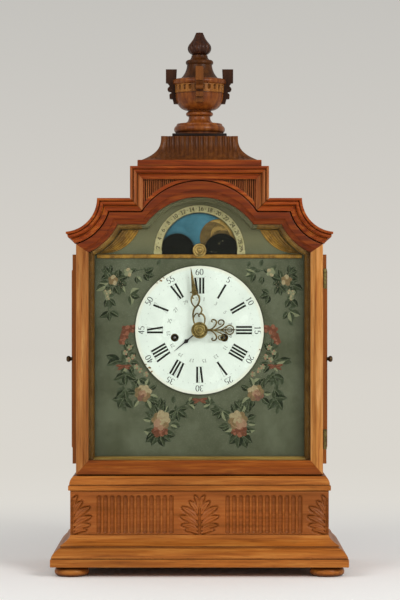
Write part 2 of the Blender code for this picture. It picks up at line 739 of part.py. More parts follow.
def build_cornice():
    """Front cornice at each side and the moulding round the pediment block."""
    steps = 10
    for name, sign in (("left", -1), ("right", 1)):
        sections = []
        for k in range(steps + 1):
            along = k / steps

            def place(height, reach):
                x, z = cove_point(height, reach, along)
                return sign * x, z

            sections.append(section_points(place))

        def mitre(height, reach):
            inset = CORNICE_WIDTH - height
            return sign * (HALF_BLOCK - inset + FIT), SHOULDER_TOP - inset

        sections.append(section_points(mitre))
        cornice = loft(f"cornice_{name}", sections, WALNUT)
        combine(cornice, arch_cutter(f"cornice_{name}_arch"), "DIFFERENCE")

    sections = []
    corners = ((-1, SHOULDER_TOP + FIT), (-1, BLOCK_TOP), (1, BLOCK_TOP), (1, SHOULDER_TOP + FIT))
    for sign, z in corners:

        def corner(height, reach):
            inset = CORNICE_WIDTH - height
            return sign * (HALF_BLOCK - inset), z - inset

        sections.append(section_points(corner))
    front = loft("block_front", sections, WALNUT)
    panel_half = HALF_BLOCK - CORNICE_WIDTH + PANEL_LAP
    panel = board("spandrel_panel",
                  (-panel_half, CASE_FRONT + SPANDREL_SETBACK, SHOULDER_TOP - CORNICE_WIDTH + 3 * PANEL_LAP),
                  (panel_half, CARCASE_FRONT - FIT - PANEL_LAP, BLOCK_TOP - CORNICE_WIDTH + PANEL_LAP),
                  WALNUT)
    combine(front, panel)
    combine(front, arch_cutter("block_arch"), "DIFFERENCE")

    foot = SHOULDER_TOP - CORNICE_WIDTH
    inner = HALF_BLOCK - BLOCK_WALL
    half = [(inner, foot), (HALF_BLOCK, foot), (HALF_BLOCK, BLOCK_TOP)]
    inside = [(-inner, BLOCK_TOP - BLOCK_WALL), (inner, BLOCK_TOP - BLOCK_WALL)]
    flat("block_body", [mirrored(half) + inside], CARCASE_FRONT, CARCASE_BACK, WALNUT)


def build_pedestal():
    """Concave pedestal on the block, and the dark square plinth of the urn."""
    deeper = (CARCASE_BACK - CORNICE_FRONT - BLOCK_WIDTH) / 2
    foot_half = HALF_BLOCK - PEDESTAL_INSET
    top_half = PEDESTAL_TOP_WIDTH / 2
    curve_foot = PEDESTAL_FOOT + PEDESTAL_FILLET
    levels = [(PEDESTAL_FOOT, foot_half), (curve_foot, foot_half)]
    steps = 7
    for k in range(steps + 1):
        rise = k / steps
        half = top_half + (foot_half - PEDESTAL_LEDGE - top_half) * (1 - rise) ** 2.7
        levels.append((curve_foot + rise * PEDESTAL_CURVE_HEIGHT, half))
    sections = []
    for z, half in levels:
        outline = rectangle(-half, BLOCK_MIDDLE - half - deeper, half, BLOCK_MIDDLE + half + deeper)
        sections.append([(x, y, z) for x, y in outline])
    loft("pedestal", sections, WALNUT)

    half = URN_PLINTH_WIDTH / 2
    board("urn_plinth", (-half, BLOCK_MIDDLE - half, URN_PLINTH_FOOT),
          (half, BLOCK_MIDDLE + half, URN_PLINTH_FOOT + URN_PLINTH_HEIGHT), DARK_WOOD)


def build_urn():
    """Urn bowl with four handles, its lid and the flame on top."""
    middle = (0.0, BLOCK_MIDDLE)
    profile = [(0.0, URN_RIM_TOP), (URN_RIM_RADIUS * 0.93, URN_RIM_TOP)]
    profile += [(URN_RIM_RADIUS, URN_RIM_FOOT + URN_RIM_HEIGHT * 0.5), (URN_RIM_RADIUS * 0.93, URN_RIM_FOOT)]
    profile += [(URN_BOWL_RADIUS, URN_RIM_FOOT), (URN_BOWL_RADIUS, URN_BAND_FOOT)]
    steps = 5
    for k in range(1, steps + 1):
        angle = math.pi / 2 * k / steps
        radius = URN_NECK_RADIUS + (URN_BOWL_RADIUS - URN_NECK_RADIUS) * math.cos(angle)
        profile.append((radius, URN_BAND_FOOT - URN_BOWL_HEIGHT * math.sin(angle)))
    profile += [
        (URN_NECK_RADIUS * 1.12, URN_BOWL_FOOT - URN_NECK_HEIGHT * 0.2),
        (URN_NECK_RADIUS, URN_BOWL_FOOT - URN_NECK_HEIGHT * 0.4),
        (URN_NECK_RADIUS, URN_NECK_FOOT),
        (URN_FOOT_RADIUS * 0.82, URN_NECK_FOOT),
        (URN_FOOT_RADIUS, URN_FOOT + URN_FOOT_HEIGHT * 0.45),
        (URN_FOOT_RADIUS * 0.92, URN_FOOT),
        (0.0, URN_FOOT),
    ]
    bowl = turned("urn_bowl", profile, WALNUT, sides=32, middle=middle)
    for k in range(4):
        half = HANDLE_WIDTH / 2
        handle = as_mesh(flat(f"urn_handle_{k}", [handle_outline()], -half, half, WALNUT))
        handle.location = (0.0, BLOCK_MIDDLE, 0.0)
        handle.rotation_euler = (math.pi / 2, 0.0, math.pi / 2 * k)
        combine(bowl, handle)

    profile = [
        (0.0, LID_TOP),
        (LID_COLLAR_RADIUS, LID_TOP),
        (LID_COLLAR_RADIUS, LID_COLLAR_FOOT),
        (LID_FLANGE_RADIUS, LID_FLANGE_FOOT + LID_FLANGE_HEIGHT * 0.4),
        (LID_NECK_RADIUS, LID_FLANGE_FOOT),
        (LID_NECK_RADIUS * 1.05, LID_FOOT + LID_HEIGHT * 0.5),
        (LID_RADIUS * 0.86, LID_FOOT + LID_HEIGHT * 0.2),
        (LID_RADIUS, LID_FOOT),
        (0.0, LID_FOOT),
    ]
    turned("urn_lid", profile, WALNUT, sides=32, middle=middle)

    shape = [(0.0, 1.0), (0.3, 0.88), (0.42, 0.78), (0.58, 0.62), (0.92, 0.46), (1.0, 0.31), (0.75, 0.12)]
    profile = [(share * BUD_RADIUS, BUD_FOOT + rise * BUD_HEIGHT) for share, rise in shape]
    profile += [(BUD_NECK_RADIUS, BUD_FOOT), (0.0, BUD_FOOT)]
    turned("urn_finial", profile, WALNUT, sides=24, middle=middle)


def handle_outline():
    """Side view of one urn handle: square block on top, scroll, small block at its foot."""
    inner = HANDLE_REACH - HANDLE_BLOCK_LENGTH
    root = URN_BOWL_RADIUS * 0.8
    block_foot = URN_RIM_FOOT + URN_RIM_HEIGHT * 0.3
    block_top = block_foot + HANDLE_BLOCK_HEIGHT
    scroll_z = URN_BAND_FOOT + URN_BAND_HEIGHT * 0.3
    scroll_radius = URN_BAND_HEIGHT * 0.42
    scroll_x = HANDLE_REACH * 0.83
    foot_z = URN_BAND_FOOT - URN_BOWL_HEIGHT * 0.65
    foot_x = URN_BOWL_RADIUS
    points = [(inner, block_top), (HANDLE_REACH, block_top), (HANDLE_REACH, block_foot)]
    points += [(HANDLE_REACH * 0.93, block_foot - scroll_radius * 0.4)]
    points += arc((scroll_x, scroll_z), scroll_radius, math.pi * 0.3, -math.pi * 0.5, 6)
    points += [(foot_x, foot_z + scroll_radius * 1.6), (foot_x, foot_z), (root, foot_z)]
    return points + [(root, block_foot), (inner, block_foot)]


def swing(item, axis):
    """Parent a piece that is drawn in place, with the shapes joined to it, to its hinge axis."""
    members = [item] + [m.object for m in item.modifiers if m.type == "BOOLEAN"]
    for member in members:
        member.parent = axis
        member.location = [here - there for here, there in zip(member.location, axis.location)]
    return item


def door_opening(margin=0.0):
    """Outline of the glazed opening in the front door, or of a piece that fits in it."""
    foot = CAP_TOP + DOOR_FOOT_GAP + DOOR_FOOT_RAIL
    inset = CORNICE_WIDTH + DOOR_GAP + DOOR_HEAD_RAIL
    return break_arch(HALF_CASE - DOOR_STILE - margin, foot + margin, inset + margin,
                      LUNETTE_Z - GLASS_ARCH_DROP, GLASS_ARCH_RADIUS - margin)


def build_front_door():
    """Glazed break-arch door on two knuckles at the right."""
    hinge_x = HALF_CASE + KNUCKLE_RADIUS + FIT
    hinge_y = CASE_FRONT + KNUCKLE_RADIUS * 0.7
    axis = axis_empty("front_door_axis", hinge_x, 0.0, y=hinge_y)
    foot = CAP_TOP + DOOR_FOOT_GAP
    outer = break_arch(HALF_CASE, foot, CORNICE_WIDTH + DOOR_GAP, LUNETTE_Z, BLOCK_ARCH_RADIUS)
    swing(flat("front_door_frame", [outer, door_opening()], CASE_FRONT, DOOR_BACK, WALNUT), axis)
    glass_front = CASE_FRONT + GLASS_SETBACK
    glass_back = glass_front + GLASS_THICKNESS
    swing(flat("front_door_glass", [door_opening(FIT)], glass_front, glass_back, GLASS), axis)
    lower = foot + KNUCKLE_END_SPACE
    upper = side_top() - KNUCKLE_END_SPACE - KNUCKLE_LENGTH
    for name, z in (("lower", lower), ("upper", upper)):
        rod(f"front_door_hinge_{name}", KNUCKLE_RADIUS, z, z + KNUCKLE_LENGTH, BRASS,
            middle=(hinge_x, hinge_y), axis="Z")


def build_side_doors():
    """Panel over each side opening, on a barrel at its back edge, with a turned knob."""
    front = CARCASE_FRONT + SIDE_OPENING_STILE - SIDE_DOOR_LAP
    back = BACK_FRAME_FRONT - SIDE_OPENING_STILE + SIDE_DOOR_LAP
    foot = CAP_TOP + SIDE_OPENING_RAIL - SIDE_DOOR_LAP
    head = side_top() - SIDE_OPENING_RAIL + SIDE_DOOR_LAP
    inner = HALF_CASE + FIT
    outer = inner + SIDE_DOOR_THICKNESS
    barrel_y = back + SIDE_DOOR_THICKNESS * 0.3
    knob_profile = [
        (0.0, KNOB_REACH),
        (KNOB_RADIUS * 0.6, KNOB_REACH * 0.97),
        (KNOB_RADIUS, KNOB_REACH * 0.78),
        (KNOB_RADIUS * 0.9, KNOB_REACH * 0.58),
        (KNOB_STEM_RADIUS, KNOB_REACH * 0.48),
        (KNOB_STEM_RADIUS, KNOB_REACH * 0.12),
        (KNOB_STEM_RADIUS * 1.6, 0.0),
        (0.0, 0.0),
    ]
    for name, sign in (("left", -1), ("right", 1)):
        barrel_x = sign * (inner + SIDE_DOOR_THICKNESS / 2)
        axis = axis_empty(f"side_door_{name}_axis", barrel_x, 0.0, y=barrel_y)
        low_x, high_x = sorted((sign * inner, sign * outer))
        door = board(f"side_door_{name}", (low_x, front, foot), (high_x, back, head), WALNUT)
        barrel = rod(f"side_door_{name}_barrel", SIDE_DOOR_THICKNESS * 0.47, foot + SIDE_DOOR_LAP,
                     head - SIDE_DOOR_LAP, BRASS, middle=(barrel_x, barrel_y), axis="Z", sides=12)
        swing(combine(door, barrel), axis)
        knob = turned(f"side_knob_{name}", knob_profile, BRONZE, sides=16, axis="X" if sign > 0 else "-X",
                      centre=sign * (outer + FIT), middle=(front + KNOB_EDGE_SPACE, (foot + head) / 2))
        swing(knob, axis)


def build_back_door():
    """Door in the back frame, with a finger hole and a barrel at its left edge."""
    outline = back_opening(2 * FIT)
    (left, foot), (right, head) = outline[0], outline[2]
    barrel_x = left + BACK_KNUCKLE_RADIUS + FIT
    axis = axis_empty("back_door_axis", barrel_x, 0.0, y=CARCASE_BACK)
    finger = circle(FINGER_HOLE_RADIUS, 20, (right - FINGER_HOLE_EDGE, (foot + head) / 2))
    door = as_mesh(flat("back_door", [outline, finger], CARCASE_BACK - BACK_DOOR_DEPTH, CARCASE_BACK, WALNUT))
    barrel = rod("back_door_barrel", BACK_KNUCKLE_RADIUS, foot + BACK_FOOT_RAIL, head - BACK_FOOT_RAIL, BRASS,
                 middle=(barrel_x, CARCASE_BACK), axis="Z", sides=12)
    swing(combine(door, barrel), axis)


def dial_view(margin=0.0):
    """Outline of the dial plate that shows, or of a piece larger or smaller by a margin."""
    foot = CAP_TOP + DOOR_FOOT_GAP + DOOR_FOOT_RAIL + SLIP_FOOT
    inset = CORNICE_WIDTH + DOOR_GAP + DOOR_HEAD_RAIL + SLIP_HEAD
    return break_arch(HALF_CASE - DOOR_STILE - SLIP_SIDE - margin, foot + margin, inset + margin,
                      LUNETTE_Z - GLASS_ARCH_DROP, GLASS_ARCH_RADIUS - SLIP_HEAD - margin)


def moon_opening():
    """Outline of the moon opening: a ring overhead, two humps and the lug of the arbor below."""
    lug = MOON_BOSS_RADIUS - MOON_LUG_INSET
    ring_x = (MOON_RING_RADIUS ** 2 - HUMP_RADIUS ** 2 + HUMP_SPREAD ** 2) / (2 * HUMP_SPREAD)
    lug_x = (lug ** 2 - HUMP_RADIUS ** 2 + HUMP_SPREAD ** 2) / (2 * HUMP_SPREAD)
    ring_angle = math.acos(ring_x / MOON_RING_RADIUS)
    lug_angle = math.acos(lug_x / lug)
    outer_angle = math.atan2(MOON_RING_RADIUS * math.sin(ring_angle), ring_x - HUMP_SPREAD)
    inner_angle = math.atan2(lug * math.sin(lug_angle), lug_x - HUMP_SPREAD)
    points = arc((0.0, LUNETTE_Z), MOON_RING_RADIUS, ring_angle, math.pi - ring_angle, 24)
    points += arc((-HUMP_SPREAD, LUNETTE_Z), HUMP_RADIUS, math.pi - outer_angle, math.pi - inner_angle, 12)[1:]
    points += arc((0.0, LUNETTE_Z), lug, math.pi - lug_angle, lug_angle, 8)[1:]
    points += arc((HUMP_SPREAD, LUNETTE_Z), HUMP_RADIUS, inner_angle, outer_angle, 12)[1:-1]
    return points


def build_dial():
    """Surround, painted plate with its feet, enamel dial, gilt ornaments and moon disc."""
    outer = break_arch(HALF_INNER - FIT, CAP_TOP + FIT, CORNICE_WIDTH + FIT, LUNETTE_Z,
                       BLOCK_ARCH_RADIUS - DOOR_GAP)
    flat("dial_surround", [outer, dial_view()], SURROUND_FRONT, SURROUND_BACK, WALNUT)

    winding_z = DIAL_Z - WINDING_DROP
    centre_hole = circle(pipe_radius(2) + 2 * PIVOT_PLAY, 24, (0.0, DIAL_Z))
    winding_holes = [circle(WINDING_HOLE_RADIUS, 20, (x, winding_z)) for x in (-WINDING_SPREAD, WINDING_SPREAD)]
    arbor_hole = circle(MOON_ARBOR_RADIUS + PIVOT_PLAY, 12, (0.0, LUNETTE_Z))
    holes = [moon_opening(), arbor_hole, centre_hole] + winding_holes
    plate = as_mesh(flat("dial_plate", [dial_view(-DIAL_LAP)] + holes, DIAL_PLATE_FRONT, DIAL_PLATE_BACK,
                         PAINTED_IRON))
    into_plate = DIAL_PLATE_THICKNESS / 2
    for k, (x, z) in enumerate(rectangle(-DIAL_FOOT_SPREAD, DIAL_Z - DIAL_FOOT_SPREAD,
                                         DIAL_FOOT_SPREAD, DIAL_Z + DIAL_FOOT_SPREAD)):
        foot = rod(f"dial_foot_{k}", DIAL_FOOT_RADIUS, DIAL_PLATE_BACK - into_plate,
                   DIAL_PLATE_BACK + DIAL_FOOT_LENGTH, BRASS, middle=(x, z), sides=12)
        combine(plate, foot)

    face = circle(DIAL_RADIUS, 72, (0.0, DIAL_Z))
    flat("enamel_dial", [face, centre_hole] + winding_holes, ENAMEL_FRONT, ENAMEL_BACK, ENAMEL)

    gilt_back = DIAL_PLATE_FRONT - FIT
    gilt_front = gilt_back - GILT_THICKNESS
    view_half = HALF_CASE - DOOR_STILE - SLIP_SIDE
    strip_top = LUNETTE_Z - STRIP_DROP
    strip_half = view_half - STRIP_END_GAP
    board("gilt_strip", (-strip_half, gilt_front, strip_top - STRIP_HEIGHT), (strip_half, gilt_back, strip_top),
          GILT_WOOD)
    for name, sign in (("left", -1), ("right", 1)):
        outline = [(sign * x, z) for x, z in fan_outline()]
        flat(f"fan_spandrel_{name}", [outline], gilt_front, gilt_back, GILT_WOOD)

    axis = axis_empty("moon_axis", 0.0, LUNETTE_Z)
    disc_front = DIAL_PLATE_BACK + MOON_AIR
    disc_back = disc_front + MOON_DISC_THICKNESS
    boss_back = gilt_front - FIT
    boss_front = boss_back - MOON_BOSS_THICKNESS
    disc = as_mesh(flat("moon_disc", [gear(MOON_TEETH, MOON_MODULE, 0.0)], disc_front, disc_back, MOON_PAINT))
    into = MOON_DISC_THICKNESS / 2
    combine(disc, rod("moon_arbor", MOON_ARBOR_RADIUS, boss_back - into, disc_front + into, BRASS, sides=12))
    combine(disc, rod("moon_boss", MOON_BOSS_RADIUS, boss_front, boss_back, BRASS, sides=32))
    hang(disc, axis)


def fan_outline():
    """Right fan ornament: the concave shoulder above, and a full curve back below."""
    inset = CORNICE_WIDTH + DOOR_GAP + DOOR_HEAD_RAIL + SLIP_HEAD + 2 * FIT
    radius = COVE_RADIUS + inset
    side_angle = math.pi + math.acos((COVE_X - FAN_START) / radius)
    flat_angle = math.pi + math.asin(inset / radius)
    points = arc((COVE_X, SHOULDER_TOP), radius, side_angle, flat_angle, 8)
    start_x, start_z = points[0]
    end_x, end_z = FAN_END, SHOULDER_TOP - inset
    length = math.hypot(end_x - start_x, end_z - start_z)
    normal = ((start_z - end_z) / length, (end_x - start_x) / length)
    steps = 8
    for k in range(steps):
        back = k / steps
        sag = FAN_SAG * 4 * back * (1 - back)
        points.append((end_x + (start_x - end_x) * back + normal[0] * sag,
                       end_z + (start_z - end_z) * back + normal[1] * sag))
    return points


def polar(radius, angle):
    """Point at an angle in radians from +X."""
    return radius * math.cos(angle), radius * math.sin(angle)


def gear(teeth, module, phase):
    """Outline of a wheel with pointed teeth, one of them at the phase angle."""
    pitch = teeth * module / 2
    tip = pitch + TOOTH_ADDENDUM * module
    root = pitch - TOOTH_DEDENDUM * module
    step = 2 * math.pi / teeth
    points = []
    for k in range(teeth):
        middle = phase + k * step
        points.append(polar(root, middle - TOOTH_HALF_WIDTH * step))
        points.append(polar(tip, middle))
        points.append(polar(root, middle + TOOTH_HALF_WIDTH * step))
    return points


def pipe_bore(number):
    """Bore of a hand's pipe: 0 carries the minute hand, 1 the hour hand, 2 the date hand."""
    return CENTRE_FRONT_RADIUS + PIVOT_PLAY + number * (PIPE_WALL + PIVOT_PLAY)


def pipe_radius(number):
    """Outside of a hand's pipe."""
    return pipe_bore(number) + PIPE_WALL


def hand_outline(shape, length):
    """Hand pointing up, from (half width, share of its length) pairs."""
    return mirrored([(half, share * length) for half, share in shape])


def piped_hand(name, number, outlines, front, back, wheel, wheel_front, finish, turn):
    """Hand with its pipe and its wheel behind the dial, bored for the arbor or pipe inside it."""
    wheel_back = wheel_front + WHEEL_THICKNESS
    hand = as_mesh(flat(name, outlines, front, back, finish))
    into_hand = (back - front) * 0.3
    into_wheel = WHEEL_THICKNESS * 0.3
    combine(hand, rod(f"{name}_hub", pipe_radius(number) + PIPE_WALL, front + into_hand / 2,
                      back - into_hand / 2, finish, sides=20))
    combine(hand, rod(f"{name}_pipe", pipe_radius(number), front + into_hand, wheel_back - into_wheel, finish))
    combine(hand, as_mesh(flat(f"{name}_wheel", [wheel], wheel_front, wheel_back, BRASS)))
    bore = rod(f"{name}_bore", pipe_bore(number), front * 1.1, 0.0, finish)
    combine(hand, bore, "DIFFERENCE")
    return hang(hand, axis_empty(f"{name}_axis", 0.0, DIAL_Z, turn))


def build_hands():
    """Date, hour and minute hands on their pipes, and the collet in front."""
    down = -math.pi / 2
    cannon_module = 2 * MOTION_DISTANCE / (CANNON_LEAVES + MINUTE_WHEEL_TEETH)
    hour_module = 2 * MOTION_DISTANCE / (MINUTE_PINION_LEAVES + HOUR_WHEEL_TEETH)
    minute_turn = math.radians(MINUTE_HAND_TURN)
    hour_turn = math.radians(HOUR_HAND_TURN)

    shape = [(0.0012, 0.08), (0.0012, 0.34), (0.0032, 0.40), (0.0010, 0.47), (0.0003, 1.0)]
    piped_hand("date_hand", 2, [hand_outline(shape, DATE_HAND_LENGTH)], DATE_HAND_FRONT, DATE_HAND_BACK,
               gear(DATE_WHEEL_TEETH, DATE_MODULE, 0.0), FRONT_PLATE_FRONT - DATE_LEVEL, BLUED_STEEL,
               DATE_HAND_TURN)

    shape = [(0.0026, 0.08), (0.0078, 0.30), (0.0105, 0.46), (0.0072, 0.56), (0.0034, 0.59), (0.0056, 0.70),
             (0.0050, 0.82), (0.0018, 0.89), (0.0004, 1.0)]
    window = [(0.0012, 0.26), (0.0058, 0.38), (0.0062, 0.46), (0.0016, 0.53)]
    eye = [(0.0012, 0.65), (0.0032, 0.71), (0.0030, 0.79), (0.0010, 0.84)]
    outlines = [hand_outline(pairs, HOUR_HAND_LENGTH) for pairs in (shape, window, eye)]
    piped_hand("hour_hand", 1, outlines, HOUR_HAND_FRONT, HOUR_HAND_BACK,
               gear(HOUR_WHEEL_TEETH, hour_module, down + hour_turn), FRONT_PLATE_FRONT - HOUR_LEVEL, BRASS,
               HOUR_HAND_TURN)

    shape = [(0.0024, 0.03), (0.0052, 0.16), (0.0056, 0.24), (0.0024, 0.33), (0.0042, 0.41), (0.0040, 0.49),
             (0.0022, 0.54), (0.0019, 0.58), (0.0003, 1.0)]
    window = [(0.0010, 0.13), (0.0034, 0.18), (0.0036, 0.24), (0.0008, 0.31)]
    eye = [(0.0008, 0.37), (0.0024, 0.42), (0.0022, 0.48), (0.0008, 0.52)]
    outlines = [hand_outline(pairs, MINUTE_HAND_LENGTH) for pairs in (shape, window, eye)]
    piped_hand("minute_hand", 0, outlines, MINUTE_HAND_FRONT, MINUTE_HAND_BACK,
               gear(CANNON_LEAVES, cannon_module, down + minute_turn), FRONT_PLATE_FRONT - CANNON_LEVEL, BRASS,
               MINUTE_HAND_TURN)

    collet_back = MINUTE_HAND_FRONT - FIT
    collet_front = collet_back - COLLET_THICKNESS
    profile = [
        (0.0, collet_front),
        (COLLET_RADIUS * 0.35, collet_front),
        (COLLET_RADIUS * 0.8, collet_front + COLLET_THICKNESS * 0.3),
        (COLLET_RADIUS, collet_back - COLLET_THICKNESS * 0.4),
        (COLLET_RADIUS * 0.95, collet_back),
        (0.0, collet_back),
    ]
    collet = turned("hand_collet", profile, BRASS, axis="Y")
    hang(collet, axis_empty("hand_collet_axis", 0.0, DIAL_Z))


def arbor_places():
    """Where each arbor of the movement stands, as (x, z)."""
    centre = (0.0, DIAL_Z)
    going = (WINDING_SPREAD, DIAL_Z - WINDING_DROP)
    strike = (-WINDING_SPREAD, DIAL_Z - WINDING_DROP)
    great_distance = math.hypot(WINDING_SPREAD, WINDING_DROP)
    third = along(centre, CENTRE_MODULE * (CENTRE_TEETH + PINION_LEAVES) / 2, THIRD_ARBOR_ANGLE)
    reach = THIRD_MODULE * (THIRD_TEETH + PINION_LEAVES) / 2
    escape = (0.0, third[1] + math.sqrt(reach ** 2 - third[0] ** 2))
    pin = along(strike, great_distance, PIN_ARBOR_ANGLE)
    return {
        "centre": centre,
        "going": going,
        "strike": strike,
        "third": third,
        "escape": escape,
        "anchor": (0.0, escape[1] + ANCHOR_RISE),
        "pin": pin,
        "fly": along(pin, PIN_WHEEL_MODULE * (PIN_WHEEL_TEETH + PINION_LEAVES) / 2, FLY_ARBOR_ANGLE),
        "hammer": (-HAMMER_OUT, DIAL_Z + HAMMER_RISE),
        "minute": (0.0, DIAL_Z - MOTION_DISTANCE),
    }


def along(place, distance, angle):
    """Place at a distance and an angle in degrees from another."""
    across, up = polar(distance, math.radians(angle))
    return place[0] + across, place[1] + up


def direction(place, other):
    """Angle from one arbor to another, in radians."""
    return math.atan2(other[1] - place[1], other[0] - place[0])


def meshing(toward, leaves):
    """Phase of a pinion that has a space towards a wheel's tooth."""
    return toward + math.pi / leaves


def wheel(name, teeth, module, phase, front, thickness=WHEEL_THICKNESS):
    """Solid toothed wheel about its axis."""
    return as_mesh(flat(name, [gear(teeth, module, phase)], front, front + thickness, BRASS))


def arbor(name, radius=ARBOR_RADIUS, back=BACK_PLATE_BACK, front=FRONT_PLATE_FRONT):
    """Steel arbor with a pivot in each plate."""
    profile = [
        (0.0, front),
        (PIVOT_RADIUS, front),
        (PIVOT_RADIUS, FRONT_PLATE_BACK + FIT),
        (radius, FRONT_PLATE_BACK + FIT),
        (radius, BACK_PLATE_FRONT - FIT),
        (PIVOT_RADIUS, BACK_PLATE_FRONT - FIT),
        (PIVOT_RADIUS, back),
        (0.0, back),
    ]
    return turned(name, profile, STEEL, sides=10, axis="Y")


def build_plates(places):
    """Two plates: the back one carries four riveted pillars and the bell post."""
    half = PLATE_WIDTH / 2
    foot = DIAL_Z - PLATE_BELOW
    head = DIAL_Z + PLATE_ABOVE
    edge = rectangle(-half, foot, half, head)
    corners = rectangle(-half + PILLAR_INSET, foot + PILLAR_INSET, half - PILLAR_INSET, head - PILLAR_INSET)
    pivot_hole = PIVOT_RADIUS + PIVOT_PLAY
    pivots = [circle(pivot_hole, 10, places[name]) for name in ("third", "escape", "pin", "fly", "hammer")]

    holes = [circle(TENON_RADIUS + PIVOT_PLAY, 12, corner) for corner in corners]
    holes += [circle(WINDING_ARBOR_RADIUS + PIVOT_PLAY, 16, places[name]) for name in ("going", "strike")]
    holes += [circle(pivot_hole, 10, places[name]) for name in ("anchor", "minute")]
    holes.append(circle(CENTRE_FRONT_RADIUS + PIVOT_PLAY, 12, places["centre"]))
    flat("front_plate", [edge] + pivots + holes, FRONT_PLATE_FRONT, FRONT_PLATE_BACK, BRASS)

    holes = [circle(WINDING_PIVOT_RADIUS + PIVOT_PLAY, 12, places[name]) for name in ("going", "strike")]
    holes += [circle(pivot_hole, 10, places["centre"]), circle(ARBOR_RADIUS + PIVOT_PLAY, 12, places["anchor"])]
    plate = as_mesh(flat("back_plate", [edge] + pivots + holes, BACK_PLATE_FRONT, BACK_PLATE_BACK, BRASS))
    tenon_end = FRONT_PLATE_FRONT - TENON_REACH
    shoulder = FRONT_PLATE_BACK + FIT
    riveted = BACK_PLATE_FRONT + PLATE_THICKNESS / 2
    waist = (shoulder + BACK_PLATE_FRONT) / 2
    profile = [
        (0.0, tenon_end),
        (TENON_RADIUS, tenon_end),
        (TENON_RADIUS, shoulder),
        (PILLAR_RADIUS, shoulder),
        (PILLAR_RADIUS * 0.7, (shoulder + waist) / 2),
        (PILLAR_RADIUS, waist),
        (PILLAR_RADIUS * 0.7, (waist + BACK_PLATE_FRONT) / 2),
        (PILLAR_RADIUS, BACK_PLATE_FRONT),
        (PILLAR_RADIUS, riveted),
        (0.0, riveted),
    ]
    for k, corner in enumerate(corners):
        combine(plate, turned(f"pillar_{k}", profile, BRASS, sides=10, axis="Y", middle=corner))
    post_y = BACK_PLATE_FRONT + PLATE_THICKNESS / 2
    crown = head + BELL_SPACE + BELL_HEIGHT
    under_crown = crown - BELL_WALL - FIT
    profile = [
        (0.0, crown + BELL_POST_REACH),
        (BELL_POST_RADIUS, crown + BELL_POST_REACH),
        (BELL_POST_RADIUS, under_crown),
        (BELL_POST_RADIUS * 2, under_crown),
        (BELL_POST_RADIUS * 2, under_crown - BELL_POST_REACH),
        (BELL_POST_RADIUS, under_crown - 2 * BELL_POST_REACH),
        (BELL_POST_RADIUS, head - BELL_POST_LAP),
        (0.0, head - BELL_POST_LAP),
    ]
    combine(plate, turned("bell_post", profile, BRASS, sides=14, middle=(0.0, post_y)))

    mouth = head + BELL_SPACE
    hole = BELL_POST_RADIUS + PIVOT_PLAY
    shape = [(0.45, 1.0), (0.72, 0.9), (0.86, 0.65), (0.93, 0.3), (1.0, 0.0)]
    outer = [(BELL_RADIUS * share, mouth + BELL_HEIGHT * rise) for share, rise in shape]
    inner = [(radius - BELL_WALL, max(z - BELL_WALL, mouth)) for radius, z in outer]
    turned("bell", [(hole, crown)] + outer + inner[::-1] + [(hole, crown - BELL_WALL)], BRONZE, sides=32,
           middle=(0.0, post_y), ring=True)


def build_barrel(name, place, great_front, drum_start, drum_end, phase):
    """Spring barrel with its great wheel, turning on a winding arbor with a square front end."""
    axis = axis_empty(f"{name}_barrel_axis", *place)
    module = 2 * math.hypot(WINDING_SPREAD, WINDING_DROP) / (GREAT_TEETH + PINION_LEAVES)
    barrel = wheel(f"{name}_barrel", GREAT_TEETH, module, phase, great_front, GREAT_WHEEL_THICKNESS)
    combine(barrel, rod(f"{name}_drum", BARREL_RADIUS, drum_start, drum_end, BRASS, sides=28))
    bore = WINDING_ARBOR_RADIUS + PIVOT_PLAY
    hole = rod(f"{name}_bore", bore, FRONT_PLATE_FRONT, BACK_PLATE_BACK, BRASS)
    combine(barrel, hole, "DIFFERENCE")
    hang(barrel, axis)

    square_back = FRONT_PLATE_FRONT - WINDING_SQUARE
    front = square_back - FIT
    shoulder = BACK_PLATE_FRONT - FIT
    profile = [
        (0.0, front),
        (WINDING_ARBOR_RADIUS, front),
        (WINDING_ARBOR_RADIUS, shoulder),
        (WINDING_PIVOT_RADIUS, shoulder),
        (WINDING_PIVOT_RADIUS, BACK_PLATE_BACK),
        (0.0, BACK_PLATE_BACK),
    ]
    winding = turned(f"{name}_winding_arbor", profile, STEEL, sides=16, axis="Y")
    half = WINDING_SQUARE / 2
    square = rectangle(-half, -half, half, half)
    tip = DIAL_PLATE_FRONT + WINDING_TIP_SETBACK
    combine(winding, as_mesh(flat(f"{name}_square", [square], tip, square_back, STEEL)))
    hang(winding, axis_empty(f"{name}_winding_axis", *place))


